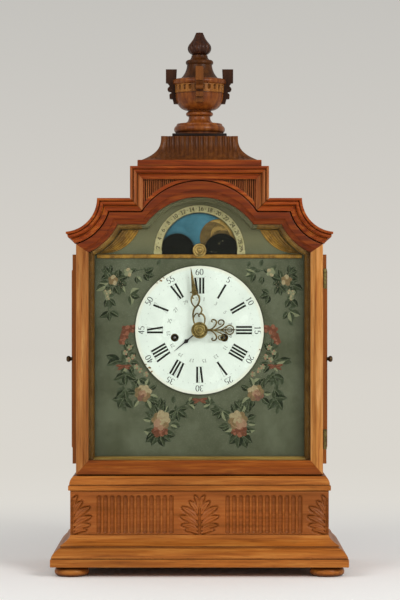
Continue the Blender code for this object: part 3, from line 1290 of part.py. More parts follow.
def build_going_train(places):
    """Barrel, centre wheel, third wheel, escape wheel, anchor, pendulum and its cock."""
    great_front = FRONT_PLATE_BACK + GREAT_LEVEL
    drum_end = great_front + GREAT_WHEEL_THICKNESS + BARREL_LENGTH
    great_module = 2 * math.hypot(WINDING_SPREAD, WINDING_DROP) / (GREAT_TEETH + PINION_LEAVES)
    toward = direction(places["going"], places["centre"])
    build_barrel("going", places["going"], great_front, great_front + WHEEL_THICKNESS, drum_end, toward)

    centre_front = FRONT_PLATE_BACK + CENTRE_LEVEL
    next_toward = direction(places["centre"], places["third"])
    centre = wheel("centre_wheel", CENTRE_TEETH, CENTRE_MODULE, next_toward, centre_front)
    combine(centre, arbor("centre_arbor", back=BACK_PLATE_BACK))
    combine(centre, rod("centre_front_arbor", CENTRE_FRONT_RADIUS, MINUTE_HAND_FRONT,
                        centre_front + WHEEL_THICKNESS / 2, STEEL, sides=12))
    combine(centre, wheel("centre_pinion", PINION_LEAVES, great_module,
                          meshing(toward + math.pi, PINION_LEAVES), great_front - FIT,
                          GREAT_WHEEL_THICKNESS + 2 * FIT))
    hang(centre, axis_empty("centre_wheel_axis", *places["centre"]))

    third_front = drum_end + LEVEL_GAP
    toward = next_toward
    next_toward = direction(places["third"], places["escape"])
    third = wheel("third_wheel", THIRD_TEETH, THIRD_MODULE, next_toward, third_front)
    combine(third, arbor("third_arbor"))
    combine(third, wheel("third_pinion", PINION_LEAVES, CENTRE_MODULE,
                         meshing(toward + math.pi, PINION_LEAVES), centre_front - FIT,
                         WHEEL_THICKNESS + 2 * FIT))
    hang(third, axis_empty("third_wheel_axis", *places["third"]))

    escape_front = FRONT_PLATE_BACK + ESCAPE_LEVEL
    outline = []
    step = 2 * math.pi / ESCAPE_TEETH
    for k in range(ESCAPE_TEETH):
        outline.append(polar(ESCAPE_RADIUS, k * step))
        outline.append(polar(ESCAPE_RADIUS * 0.84, k * step + step * 0.25))
        outline.append(polar(ESCAPE_RADIUS * 0.84, k * step + step * 0.8))
    escape = as_mesh(flat("escape_wheel", [outline], escape_front, escape_front + WHEEL_THICKNESS, BRASS))
    combine(escape, arbor("escape_arbor"))
    combine(escape, wheel("escape_pinion", PINION_LEAVES, THIRD_MODULE,
                          meshing(next_toward + math.pi, PINION_LEAVES), third_front - FIT,
                          WHEEL_THICKNESS + 2 * FIT))
    hang(escape, axis_empty("escape_wheel_axis", *places["escape"]))
    build_pendulum(places["anchor"], escape_front)


def build_pendulum(place, escape_front):
    """Anchor with its crutch, pendulum on a pin, and the cock that carries the pin."""
    axis = axis_empty("pendulum_axis", *place)
    wheel_middle = (0.0, -ANCHOR_RISE)
    tip_radius = ESCAPE_RADIUS + ANCHOR_CLEARANCE
    tip_angle = math.radians(PALLET_ANGLE)
    top_angle = math.radians(88.0)
    half = arc(wheel_middle, tip_radius, top_angle, tip_angle, 6)
    half += arc(wheel_middle, tip_radius + ANCHOR_WIDTH, tip_angle, top_angle, 6)
    escape_back = escape_front + WHEEL_THICKNESS
    anchor = as_mesh(flat("pallet_anchor", [mirrored(half)], escape_front, escape_back, STEEL))
    combine(anchor, rod("anchor_hub", ANCHOR_WIDTH, escape_front - FIT, escape_back + FIT, STEEL))
    crutch_front = BACK_PLATE_BACK + CRUTCH_SPACE
    crutch_back = crutch_front + CRUTCH_THICKNESS
    crutch_middle = (crutch_front + crutch_back) / 2
    profile = [
        (0.0, FRONT_PLATE_FRONT),
        (PIVOT_RADIUS, FRONT_PLATE_FRONT),
        (PIVOT_RADIUS, FRONT_PLATE_BACK + FIT),
        (ARBOR_RADIUS, FRONT_PLATE_BACK + FIT),
        (ARBOR_RADIUS, crutch_middle),
        (0.0, crutch_middle),
    ]
    combine(anchor, turned("anchor_arbor", profile, STEEL, sides=10, axis="Y"))
    half_crutch = CRUTCH_WIDTH / 2
    strip = rectangle(-half_crutch, -CRUTCH_LENGTH, half_crutch, half_crutch)
    combine(anchor, as_mesh(flat("crutch", [strip], crutch_front, crutch_back, STEEL)))
    combine(anchor, rod("crutch_pin", ARBOR_RADIUS, crutch_middle, PENDULUM_Y - ROD_RADIUS - FIT, STEEL,
                        middle=(0.0, half_crutch - CRUTCH_LENGTH), sides=10))
    hang(anchor, axis)

    half_loop = ROD_RADIUS * 0.7
    loop = [circle(LOOP_RADIUS, 20), circle(PENDULUM_PIN_RADIUS + PIVOT_PLAY, 16)]
    pendulum = as_mesh(flat("pendulum", loop, PENDULUM_Y - half_loop, PENDULUM_Y + half_loop, STEEL))
    combine(pendulum, rod("pendulum_rod", ROD_RADIUS, -PENDULUM_LENGTH, -LOOP_RADIUS * 0.7, STEEL,
                          middle=(0.0, PENDULUM_Y), axis="Z", sides=12))
    half_bob = BOB_THICKNESS / 2
    profile = [
        (0.0, PENDULUM_Y - half_bob),
        (BOB_RADIUS * 0.55, PENDULUM_Y - half_bob * 0.8),
        (BOB_RADIUS, PENDULUM_Y - half_bob * 0.12),
        (BOB_RADIUS, PENDULUM_Y + half_bob * 0.12),
        (BOB_RADIUS * 0.55, PENDULUM_Y + half_bob * 0.8),
        (0.0, PENDULUM_Y + half_bob),
    ]
    combine(pendulum, turned("pendulum_bob", profile, BRASS, sides=32, axis="Y",
                             middle=(0.0, -PENDULUM_LENGTH)))
    hang(pendulum, axis)

    x, z = place
    half = COCK_WIDTH / 2
    near = BACK_PLATE_BACK + FIT
    far = PENDULUM_Y + COCK_REACH
    outline = [
        (half - COCK_THICKNESS, far - COCK_THICKNESS),
        (half - COCK_THICKNESS, near),
        (half, near),
        (half, far),
    ]
    half_height = COCK_HEIGHT / 2
    cock = as_mesh(flat("back_cock", [mirrored(outline)], z - half_height, z + half_height, BRASS, axis="Z"))
    combine(cock, rod("pendulum_pin", PENDULUM_PIN_RADIUS, PENDULUM_Y - ROD_RADIUS, far - COCK_THICKNESS / 2,
                      STEEL, middle=(x, z), sides=12))


def strip_outline(start, end, width):
    """Straight strip between two places."""
    length = math.hypot(end[0] - start[0], end[1] - start[1])
    across = ((end[1] - start[1]) / length * width / 2, (start[0] - end[0]) / length * width / 2)
    return [
        (start[0] + across[0], start[1] + across[1]),
        (end[0] + across[0], end[1] + across[1]),
        (end[0] - across[0], end[1] - across[1]),
        (start[0] - across[0], start[1] - across[1]),
    ]


def build_strike_train(places):
    """Barrel, pin wheel, fly and hammer."""
    great_front = BACK_PLATE_FRONT - STRIKE_LEVEL - GREAT_WHEEL_THICKNESS
    great_module = 2 * math.hypot(WINDING_SPREAD, WINDING_DROP) / (GREAT_TEETH + PINION_LEAVES)
    toward = direction(places["strike"], places["pin"])
    build_barrel("strike", places["strike"], great_front, great_front - BARREL_LENGTH,
                 great_front + WHEEL_THICKNESS, toward)

    pin_front = FRONT_PLATE_BACK + PIN_LEVEL
    pin_back = pin_front + WHEEL_THICKNESS
    next_toward = direction(places["pin"], places["fly"])
    pin = wheel("pin_wheel", PIN_WHEEL_TEETH, PIN_WHEEL_MODULE, next_toward, pin_front)
    combine(pin, arbor("pin_arbor"))
    combine(pin, wheel("pin_pinion", PINION_LEAVES, great_module, meshing(toward + math.pi, PINION_LEAVES),
                       great_front - FIT, GREAT_WHEEL_THICKNESS + 2 * FIT))
    pin_circle = PIN_WHEEL_TEETH * PIN_WHEEL_MODULE / 2 * PIN_CIRCLE
    for k in range(PIN_COUNT):
        middle = polar(pin_circle, k * 2 * math.pi / PIN_COUNT)
        combine(pin, rod(f"lifting_pin_{k}", ARBOR_RADIUS, pin_back - WHEEL_THICKNESS / 2, pin_back + PIN_REACH,
                         STEEL, middle=middle, sides=8))
    hang(pin, axis_empty("pin_wheel_axis", *places["pin"]))

    vane_front = FRONT_PLATE_BACK + FLY_LEVEL
    half_span = FLY_SPAN / 2
    half_thick = FLY_THICKNESS / 2
    vane = rectangle(-half_span, -half_thick, half_span, half_thick)
    fly = as_mesh(flat("strike_fly", [vane], vane_front, vane_front + FLY_DEPTH, BRASS))
    combine(fly, arbor("fly_arbor"))
    combine(fly, wheel("fly_pinion", PINION_LEAVES, PIN_WHEEL_MODULE,
                       meshing(next_toward + math.pi, PINION_LEAVES), pin_front - FIT,
                       WHEEL_THICKNESS + 2 * FIT))
    hang(fly, axis_empty("strike_fly_axis", *places["fly"]))

    hammer_x, hammer_z = places["hammer"]
    head_end = HAMMER_OUT - BELL_RADIUS - HAMMER_SPACE
    head_z = DIAL_Z + PLATE_ABOVE + BELL_SPACE + HAMMER_HEAD_RADIUS - hammer_z
    head_middle = head_end - HAMMER_HEAD_LENGTH / 2
    arm_front = BACK_PLATE_FRONT - HAMMER_LEVEL
    arm_y = arm_front + WHEEL_THICKNESS / 2
    arm = strip_outline((0.0, 0.0), (head_middle, head_z), HAMMER_ARM_WIDTH)
    hammer = as_mesh(flat("hammer", [arm], arm_front, arm_front + WHEEL_THICKNESS, STEEL))
    combine(hammer, arbor("hammer_arbor"))
    combine(hammer, rod("hammer_head", HAMMER_HEAD_RADIUS, head_end - HAMMER_HEAD_LENGTH, head_end, STEEL,
                        middle=(arm_y, head_z), axis="X", sides=20))
    tail_front = pin_back + PIN_REACH / 2
    tail = strip_outline((0.0, HAMMER_ARM_WIDTH / 2), (0.0, -HAMMER_TAIL), HAMMER_ARM_WIDTH)
    combine(hammer, as_mesh(flat("hammer_tail", [tail], tail_front, tail_front + WHEEL_THICKNESS, STEEL)))
    hang(hammer, axis_empty("hammer_axis", hammer_x, hammer_z))


def build_motion_work(places):
    """Minute wheel between the cannon pinion and the hour wheel."""
    up = math.pi / 2
    cannon_module = 2 * MOTION_DISTANCE / (CANNON_LEAVES + MINUTE_WHEEL_TEETH)
    hour_module = 2 * MOTION_DISTANCE / (MINUTE_PINION_LEAVES + HOUR_WHEEL_TEETH)
    hour_front = FRONT_PLATE_FRONT - HOUR_LEVEL
    minute = wheel("motion_minute_wheel", MINUTE_WHEEL_TEETH, cannon_module, meshing(up, MINUTE_WHEEL_TEETH),
                   FRONT_PLATE_FRONT - CANNON_LEVEL)
    combine(minute, wheel("motion_minute_pinion", MINUTE_PINION_LEAVES, hour_module,
                          meshing(up, MINUTE_PINION_LEAVES), hour_front - FIT, WHEEL_THICKNESS + 2 * FIT))
    profile = [
        (0.0, hour_front - WHEEL_THICKNESS),
        (ARBOR_RADIUS, hour_front - WHEEL_THICKNESS),
        (ARBOR_RADIUS, FRONT_PLATE_FRONT - FIT),
        (PIVOT_RADIUS, FRONT_PLATE_FRONT - FIT),
        (PIVOT_RADIUS, FRONT_PLATE_BACK),
        (0.0, FRONT_PLATE_BACK),
    ]
    combine(minute, turned("motion_arbor", profile, STEEL, sides=10, axis="Y"))
    hang(minute, axis_empty("motion_minute_wheel_axis", *places["minute"]))


def main():
    """Build the clock from the floor up, then its doors, dial and movement."""
    clear_scene()
    build_feet()
    build_base()
    build_carcase()
    build_cornice()
    build_pedestal()
    build_urn()
    build_front_door()
    build_side_doors()
    build_back_door()
    build_dial()
    build_hands()
    places = arbor_places()
    build_plates(places)
    build_going_train(places)
    build_strike_train(places)
    build_motion_work(places)


main()
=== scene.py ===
"""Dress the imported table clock: polished case, carved base and urn, painted moon dial, hands and movement."""

from __future__ import annotations

import logging
import math
import random
from dataclasses import dataclass, field
from enum import Enum
from typing import Callable, Optional, Sequence

import bmesh
import bpy
import numpy as np
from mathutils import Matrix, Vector


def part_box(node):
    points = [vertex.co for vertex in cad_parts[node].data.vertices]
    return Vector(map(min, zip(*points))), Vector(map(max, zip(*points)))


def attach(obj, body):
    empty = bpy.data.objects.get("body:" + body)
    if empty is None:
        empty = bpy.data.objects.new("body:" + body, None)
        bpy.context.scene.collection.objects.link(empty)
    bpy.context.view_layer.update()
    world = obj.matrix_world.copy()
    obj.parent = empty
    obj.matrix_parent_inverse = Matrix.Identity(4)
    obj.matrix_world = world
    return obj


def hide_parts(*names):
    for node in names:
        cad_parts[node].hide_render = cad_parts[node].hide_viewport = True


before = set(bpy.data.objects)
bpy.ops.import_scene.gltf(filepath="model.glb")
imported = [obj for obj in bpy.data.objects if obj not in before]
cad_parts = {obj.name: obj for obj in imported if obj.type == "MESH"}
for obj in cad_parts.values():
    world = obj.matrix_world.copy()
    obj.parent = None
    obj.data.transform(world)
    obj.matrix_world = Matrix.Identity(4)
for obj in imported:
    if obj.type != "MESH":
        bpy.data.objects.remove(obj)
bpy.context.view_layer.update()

LOG = logging.getLogger("table_clock")
MM = 0.001
Point2 = tuple[float, float]
Point3 = tuple[float, float, float]
Carving = Callable[[float, float], float]
Socket = bpy.types.NodeSocket
Tree = bpy.types.NodeTree


# Shapes, in millimetres


@dataclass
class Shape:
    """Points in millimetres, the faces between them and the finish number of each face."""

    points: list[Point3] = field(default_factory=list)
    faces: list[tuple[int, ...]] = field(default_factory=list)
    marks: list[int] = field(default_factory=list)

    def join(self, other: Shape, mark: Optional[int] = None) -> Shape:
        """Add another shape.

        Args:
            other: Shape to add.
            mark: Finish number for all its faces, or None to keep its own.

        Returns:
            This shape, so that calls can be chained.
        """
        start = len(self.points)
        self.points += other.points
        self.faces += [tuple(start + index for index in face) for face in other.faces]
        self.marks += other.marks if mark is None else [mark] * len(other.faces)
        return self

    def striped(self, marks: Sequence[int]) -> Shape:
        """Mark the faces of a loft by their place round its outline.

        Args:
            marks: Finish number for each side of the outline.

        Returns:
            This shape.
        """
        self.marks = [marks[k % len(marks)] for k in range(len(self.faces))]
        return self

    def mapped(self, move: Callable[[Point3], Point3]) -> Shape:
        """Return a copy with every point moved by a function."""
        return Shape([move(point) for point in self.points], list(self.faces), list(self.marks))

    def mirrored(self) -> Shape:
        """Return the copy on the other side of the clock's middle plane."""
        return self.mapped(lambda point: (-point[0], point[1], point[2]))


def solid_box(node: str) -> tuple[Point3, Point3]:
    """Return the low and high corner of a solid of the part, in millimetres."""
    low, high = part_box(node)
    return tuple(value / MM for value in low), tuple(value / MM for value in high)


def spread(low: float, high: float, count: int) -> list[float]:
    """Return evenly spaced values from low to high."""
    return [low + (high - low) * k / (count - 1) for k in range(count)]


def clamped(value: float, low: float = 0.0, high: float = 1.0) -> float:
    """Return a value held between two limits."""
    return min(high, max(low, value))


def turn_on_dial(across: float, along: float, degrees: float, centre: Point2) -> Point2:
    """Place a point of a hand or figure on the dial.

    Args:
        across: Distance to the right of the pointing direction.
        along: Distance from the centre in the pointing direction.
        degrees: Clockwise turn from twelve o'clock, as seen from the front.
        centre: Centre of the turn.

    Returns:
        The place as x and z.
    """
    turn = math.radians(degrees)
    return (centre[0] + across * math.cos(turn) + along * math.sin(turn),
            centre[1] - across * math.sin(turn) + along * math.cos(turn))


def swung(centre: Point2, along: float, across: float, degrees: float) -> Point2:
    """Place a point from a centre and a direction.

    Args:
        centre: Where it is measured from.
        along: Distance in the direction.
        across: Distance to the left of it.
        degrees: The direction, from the right.

    Returns:
        The place as x and z.
    """
    turn = math.radians(degrees)
    return (centre[0] + along * math.cos(turn) - across * math.sin(turn),
            centre[1] + along * math.sin(turn) + across * math.cos(turn))


def arc(centre: Point2, radius: float, start: float, stop: float, steps: int) -> list[Point2]:
    """Draw an arc.

    Args:
        centre: Its centre.
        radius: Its radius.
        start: First angle in degrees, from the right.
        stop: Last angle.
        steps: Parts that it is cut into.

    Returns:
        Its points.
    """
    angles = [math.radians(value) for value in spread(start, stop, steps + 1)]
    return [(centre[0] + radius * math.cos(a), centre[1] + radius * math.sin(a)) for a in angles]


def flowing(points: Sequence[Point2], steps: int = 8) -> list[Point2]:
    """Draw a smooth line through a few points.

    Args:
        points: Points that the line passes through.
        steps: Parts that each stretch is cut into.

    Returns:
        Points of the smooth line.
    """
    ends = [points[0], *points, points[-1]]
    line: list[Point2] = []
    for k in range(len(points) - 1):
        p0, p1, p2, p3 = (np.array(ends[k + i], dtype=float) for i in range(4))
        for step in range(steps):
            t = step / steps
            value = 0.5 * (2 * p1 + (p2 - p0) * t + (2 * p0 - 5 * p1 + 4 * p2 - p3) * t ** 2
                           + (3 * p1 - p0 - 3 * p2 + p3) * t ** 3)
            line.append((float(value[0]), float(value[1])))
    line.append(tuple(points[-1]))
    return line


def contour(steps: Sequence[Point3], parts: int = 8) -> list[Point2]:
    """Draw the outline of a turning from straight and round stretches.

    Args:
        steps: Radius and height of each corner, and the swell of the stretch that ends there: 0 is straight,
            1 is a half round outwards, and less than 0 is hollow.
        parts: Parts of each round stretch.

    Returns:
        Radius and height of each point.
    """
    line = [(steps[0][0], steps[0][1])]
    for (r0, z0, _), (r1, z1, swell) in zip(steps, steps[1:]):
        if swell:
            start, stop = complex(r0, z0), complex(r1, z1)
            middle = (start + stop) / 2 + 1j * (stop - start) * (1 - swell ** 2) / (4 * swell)
            for share in spread(0.0, 1.0, parts + 1)[1:-1]:
                turn = 4 * math.atan(swell) * share
                place = middle + (start - middle) * complex(math.cos(turn), math.sin(turn))
                line.append((place.real, place.imag))
        line.append((r1, z1))
    return line


def loft(rings: Sequence[Sequence[Point3]], round_trip: bool = False, mark: int = 0) -> Shape:
    """Skin a row of closed outlines.

    Args:
        rings: Outlines with the same number of points.
        round_trip: Whether the last outline joins the first again, instead of both being capped.
        mark: Finish number of the faces.

    Returns:
        The closed shape.
    """
    count = len(rings[0])
    points = [point for ring in rings for point in ring]
    rows = len(rings) if round_trip else len(rings) - 1
    faces = []
    for row in range(rows):
        here = row * count
        there = (row + 1) % len(rings) * count
        for k in range(count):
            after = (k + 1) % count
            faces.append((here + k, here + after, there + after, there + k))
    if not round_trip:
        faces.append(tuple(reversed(range(count))))
        faces.append(tuple(range((len(rings) - 1) * count, len(rings) * count)))
    return Shape(points, faces, [mark] * len(faces))


def framed(outer: Sequence[Point2], inner: Sequence[Point2], runs: Sequence[Point2]) -> Shape:
    """Run a moulding round an opening.

    Args:
        outer: Outer edge as x and z.
        inner: Inner edge, point for point with the outer one.
        runs: Share of the way to the inner edge, and depth, of each line of the moulding.

    Returns:
        The closed frame.
    """
    rings = []
    for share, depth in runs:
        rings.append([(a[0] + (b[0] - a[0]) * share, depth, a[1] + (b[1] - a[1]) * share)
                      for a, b in zip(outer, inner)])
    return loft(rings, round_trip=True)


def lathe(profile: Sequence[Point2], centre: Point2 = (0.0, 0.0), steps: int = 64,
          carve: Optional[Carving] = None) -> Shape:
    """Turn a profile round an upright axis.

    Args:
        profile: Radius and height of each step, from one end to the other.
        centre: Place of the axis as x and y.
        steps: Sides of the round.
        carve: Share of the radius kept at an angle in radians and a height.

    Returns:
        The turned shape.
    """
    rings = []
    for radius, height in profile:
        ring = []
        for k in range(steps):
            angle = math.tau * k / steps
            reach = radius * (carve(angle, height) if carve else 1.0)
            ring.append((centre[0] + reach * math.cos(angle), centre[1] + reach * math.sin(angle), height))
        rings.append(ring)
    return loft(rings)


def disc_turning(profile: Sequence[Point2], centre: Point2, steps: int = 64) -> Shape:
    """Turn a profile of radius and depth round an axis that points out of the dial."""
    return lathe(profile, centre, steps).mapped(lambda point: (point[0], point[2], point[1]))


def unit(rows: np.ndarray) -> np.ndarray:
    """Return vectors of the same directions, each one unit long."""
    return rows / np.maximum(np.linalg.norm(rows, axis=1, keepdims=True), 1e-9)


def inset(outline: Sequence[Point2], distance: float) -> list[Point2]:
    """Move each point of a closed outline towards its inside.

    Args:
        outline: Points as x and z, either way round.
        distance: How far the edges move in.

    Returns:
        The smaller outline.
    """
    points = np.array(outline, dtype=float)
    before = np.roll(points, 1, axis=0)
    after = np.roll(points, -1, axis=0)
    area = np.sum(points[:, 0] * after[:, 1] - after[:, 0] * points[:, 1])
    way = 1.0 if area > 0 else -1.0
    first = unit(points - before)
    second = unit(after - points)
    normal = unit(np.stack([-(first[:, 1] + second[:, 1]), first[:, 0] + second[:, 0]], axis=1) * way)
    lean = np.sum(normal * np.stack([-first[:, 1], first[:, 0]], axis=1) * way, axis=1)
    # A sharp corner would run far out, so its move is held.
    moved = points + normal * (distance / np.maximum(lean, 0.35))[:, None]
    return [(float(x), float(z)) for x, z in moved]


def prism(outline: Sequence[Point2], front: float, back: float, mark: int = 0) -> Shape:
    """Give a flat outline a thickness.

    Args:
        outline: Points as x and z.
        front: Depth of the front face.
        back: Depth of the back face.
        mark: Finish number of the faces.

    Returns:
        The closed plate.
    """
    return loft([[(x, depth, z) for x, z in outline] for depth in (back, front)], mark=mark)


def relief(grid: Sequence[Sequence[Point3]], back: float, mark: int = 0) -> Shape:
    """Close a carved front into a plate.

    Args:
        grid: Rows of front points.
        back: Depth of the flat back.
        mark: Finish number of the faces.

    Returns:
        The closed plate.
    """
    rows = len(grid)
    columns = len(grid[0])
    points = [point for row in grid for point in row]
    faces = []
    for r in range(rows - 1):
        for c in range(columns - 1):
            k = r * columns + c
            faces.append((k, k + 1, k + columns + 1, k + columns))
    border = list(range(columns))
    border += [r * columns + columns - 1 for r in range(1, rows)]
    border += [(rows - 1) * columns + c for c in range(columns - 2, -1, -1)]
    border += [r * columns for r in range(rows - 2, 0, -1)]
    start = len(points)
    points += [(points[k][0], back, points[k][2]) for k in border]
    size = len(border)
    for k in range(size):
        after = (k + 1) % size
        faces.append((border[after], border[k], start + k, start + after))
    faces.append(tuple(start + k for k in reversed(range(size))))
    return Shape(points, faces, [mark] * len(faces))


def headings(path: Sequence[Point2]) -> list[tuple[np.ndarray, np.ndarray]]:
    """Return each place on a line with the way that the line runs there."""
    points = np.array(path, dtype=float)
    return list(zip(points, unit(np.gradient(points, axis=0))))


def wire(path: Sequence[Point2], widths: Sequence[float], middle: float, thick: float, sides: int = 8,
         mark: int = 0) -> Shape:
    """Sweep an oval along a line that lies in the plane of the dial.

    Args:
        path: Line as x and z.
        widths: Half width at each point of the line.
        middle: Depth of the line.
        thick: Half thickness of the oval.
        sides: Sides of the oval.
        mark: Finish number of the faces.

    Returns:
        The closed bar.
    """
    rings = []
    for ((x, z), (dx, dz)), width in zip(headings(path), widths):
        ring = []
        for k in range(sides):
            angle = math.tau * k / sides
            side = width * math.cos(angle)
            ring.append((x - dz * side, middle + thick * math.sin(angle), z + dx * side))
        rings.append(ring)
    return loft(rings, mark=mark)


def pen_stroke(path: Sequence[Point2], pen: Point2, upright: Point2, front: float, back: float) -> Shape:
    """Draw one stroke of a figure, broad where it runs upright.

    Args:
        path: Line of the stroke as x and z.
        pen: Width of upright parts and of level parts.
        upright: Direction of the figure's height.
        front: Depth of the paint's face.
        back: Depth of the ground under it.

    Returns:
        The closed stroke.
    """
    thick, thin = pen
    rings = []
    for (x, z), (dx, dz) in headings(path):
        half = (thin + (thick - thin) * abs(dx * upright[0] + dz * upright[1]) ** 1.6) / 2
        left = (x - dz * half, z + dx * half)
        right = (x + dz * half, z - dx * half)
        rings.append([(place[0], depth, place[1]) for place, depth in (
            (left, back), (left, front), (right, front), (right, back))])
    return loft(rings)


def eased_plate(outline: Sequence[Point2], low: float, high: float, ease: float) -> Shape:
    """Give an outline a thickness, with both edges eased.

    Args:
        outline: Points as x and z.
        low: Start of the thickness.
        high: End of the thickness.
        ease: Width of the eased edges.

    Returns:
        The closed plate, with its thickness along y.
    """
    small = inset(outline, ease)
    rings = [(small, low), (outline, low + ease), (outline, high - ease), (small, high)]
    return loft([[(x, depth, z) for x, z in edge] for edge, depth in rings])


def box_between(low: Point3, high: Point3, edge: float) -> Shape:
    """Return a board with its edges eased.

    Args:
        low: Its low corner.
        high: Its high corner.
        edge: Width of the eased edges.

    Returns:
        The board.
    """
    rings = []
    for y, small in ((high[1], edge), (high[1] - edge, 0.0), (low[1] + edge, 0.0), (low[1], edge)):
        x0, x1, z0, z1 = low[0] + small, high[0] - small, low[2] + small, high[2] - small
        rings.append([(x0, y, z0 + edge), (x0 + edge, y, z0), (x1 - edge, y, z0), (x1, y, z0 + edge),
                      (x1, y, z1 - edge), (x1 - edge, y, z1), (x0 + edge, y, z1), (x0, y, z1 - edge)])
    return loft(rings)


# Finishes

BLEND = {"data_type": "RGBA"}
MULTIPLY = {"data_type": "RGBA", "blend_type": "MULTIPLY"}


def linear(colour: str) -> tuple[float, float, float, float]:
    """Turn an sRGB hex value into linear red, green, blue and full opacity."""
    parts = [int(colour[k:k + 2], 16) / 255 for k in (1, 3, 5)]
    red, green, blue = (p / 12.92 if p <= 0.04045 else ((p + 0.055) / 1.055) ** 2.4 for p in parts)
    return red, green, blue, 1.0


def grey(value: float) -> tuple[float, float, float, float]:
    """Return a neutral ramp colour."""
    return value, value, value, 1.0


def add_node(tree: Tree, kind: str, sockets: Optional[dict] = None, output: int | str = 0,
             **settings: object) -> Optional[Socket]:
    """Add one node with its settings, values and links.

    Args:
        tree: Node tree of the material or world.
        kind: Node type, without ShaderNode in front.
        sockets: Value or linked output for each input, by name or number.
        output: Name or number of the output that is wanted.
        settings: Properties of the node; ramp is a list of place and colour for a colour ramp.

    Returns:
        That output, or None if the node has no outputs.
    """
    node = tree.nodes.new("ShaderNode" + kind)
    ramp = settings.pop("ramp", ())
    for key, value in settings.items():
        setattr(node, key, value)
    for k, (place, colour) in enumerate(ramp):
        elements = node.color_ramp.elements
        element = elements[k] if k < len(elements) else elements.new(1.0)
        element.position = place
        element.color = colour
    for key, value in (sockets or {}).items():
        if isinstance(value, Socket):
            tree.links.new(value, node.inputs[key])
        else:
            node.inputs[key].default_value = value
    return node.outputs[output] if node.outputs else None


class Grain(Enum):
    """Way that the fibres of a wooden piece run."""

    ACROSS = 0
    BACKWARD = 1
    UPWARD = 2
    AROUND = 3


@dataclass(frozen=True)
class Finish:
    """A finish of the clock: its material's name and a slot name, which nothing here reads."""

    name: str
    slot: str = field(default="polished_wood", kw_only=True)

    def material(self) -> bpy.types.Material:
        """Make the material at its first use.

        Returns:
            The material.
        """
        found = bpy.data.materials.get(self.name)
        if found:
            return found
        made = bpy.data.materials.new(self.name)
        made.use_nodes = True
        made.node_tree.nodes.clear()
        add_node(made.node_tree, "OutputMaterial", {"Surface": self.shader(made.node_tree)})
        return made

    def shader(self, tree: Tree) -> Socket:
        """Build the surface, in each kind of finish."""
        raise NotImplementedError


@dataclass(frozen=True)
class PolishedWood(Finish):
    """Wood, planed, turned or carved and waxed: long streaks, fine pores, painted shade in the corners and
    rubbed edges.
    """

    dark: str
    body: str
    light: str
    grain: Grain
    roughness: float = 0.42
    grime: float = 0.75
    gloss: float = 0.16
    pores: float = 0.7
    streak_mm: Point2 = (5.0, 95.0)
    tone_mm: Point2 = (45.0, 160.0)
    pore_mm: Point2 = (1.1, 20.0)
    nook_mm: float = 7.0

    def stretched(self, tree: Tree, size_mm: Point2) -> Socket:
        """Make coordinates that follow the grain.

        Args:
            tree: Node tree of the material.
            size_mm: Width and length of one unit.

        Returns:
            The coordinates.
        """
        scale = [1 / (size_mm[0] * MM)] * 3
        scale[self.grain.value % 3] = 1 / (size_mm[1] * MM)
        place = add_node(tree, "TexCoord", output="Object")
        if self.grain is Grain.AROUND:
            # The fibres follow the front and turn the corner with each board.
            apart = add_node(tree, "SeparateXYZ", {0: place}).node.outputs
            along = add_node(tree, "Math", {0: apart[0], 1: apart[1]}, operation="ADD")
            place = add_node(tree, "CombineXYZ", {0: along, 2: apart[2]})
        return add_node(tree, "Mapping", {"Vector": place, "Scale": scale})

    def shader(self, tree: Tree) -> Socket:
        """Build the wood from streaks, tone, pores, painted shade in the nooks and rubbed edges.

        Args:
            tree: Node tree of the material.

        Returns:
            The shader.
        """
        streak = add_node(tree, "TexNoise", {
            "Vector": self.stretched(tree, self.streak_mm), "Scale": 1.0, "Detail": 5.0, "Roughness": 0.62,
            "Distortion": 0.5})
        colour = add_node(tree, "ValToRGB", {0: streak}, ramp=[
            (0.3, linear(self.dark)), (0.5, linear(self.body)), (0.72, linear(self.light))])
        tone = add_node(tree, "TexNoise", {
            "Vector": self.stretched(tree, self.tone_mm), "Scale": 1.0, "Detail": 2.0})
        shade = add_node(tree, "ValToRGB", {0: tone}, ramp=[(0.3, grey(0.8)), (0.7, grey(1.14))])
        colour = add_node(tree, "Mix", {0: 1.0, 6: colour, 7: shade}, 2, **MULTIPLY)
        # Real pores are about 0.2 mm wide; they are drawn five times as wide so that they show.
        pore = add_node(tree, "TexNoise", {
            "Vector": self.stretched(tree, self.pore_mm), "Scale": 1.0, "Detail": 3.0})
        open_pore = add_node(tree, "ValToRGB", {0: pore}, ramp=[(0.56, grey(1.0)), (0.68, grey(0.62))])
        colour = add_node(tree, "Mix", {0: self.pores, 6: colour, 7: open_pore}, 2, **MULTIPLY)
        # Painted shade: the wood darkens towards near black in nooks and grooves, found by ambient occlusion.
        nook = add_node(tree, "AmbientOcclusion", {"Distance": self.nook_mm * MM}, "AO", samples=6)
        wood_nook_shade = add_node(tree, "ValToRGB", {0: nook}, ramp=[(0.3, grey(self.grime)), (0.85, grey(0.0))])
        colour = add_node(tree, "Mix", {0: wood_nook_shade, 6: colour, 7: linear("#24100a")}, 2, **BLEND)
        edge = add_node(tree, "NewGeometry", output="Pointiness")
        rubbed = add_node(tree, "ValToRGB", {0: edge}, ramp=[(0.53, grey(0.0)), (0.62, grey(0.5))])
        colour = add_node(tree, "Mix", {0: rubbed, 6: colour, 7: linear(self.light)}, 2, **BLEND)
        rough = add_node(tree, "MapRange", {
            "Value": streak, "To Min": self.roughness + 0.09, "To Max": self.roughness - 0.07})
        bump = add_node(tree, "Bump", {"Height": open_pore, "Strength": 0.35, "Distance": 0.12 * MM})
        return add_node(tree, "BsdfPrincipled", {
            "Base Color": colour, "Roughness": rough, "Normal": bump, "Specular IOR Level": self.gloss,
            "Coat Weight": 0.03, "Coat Roughness": 0.3})


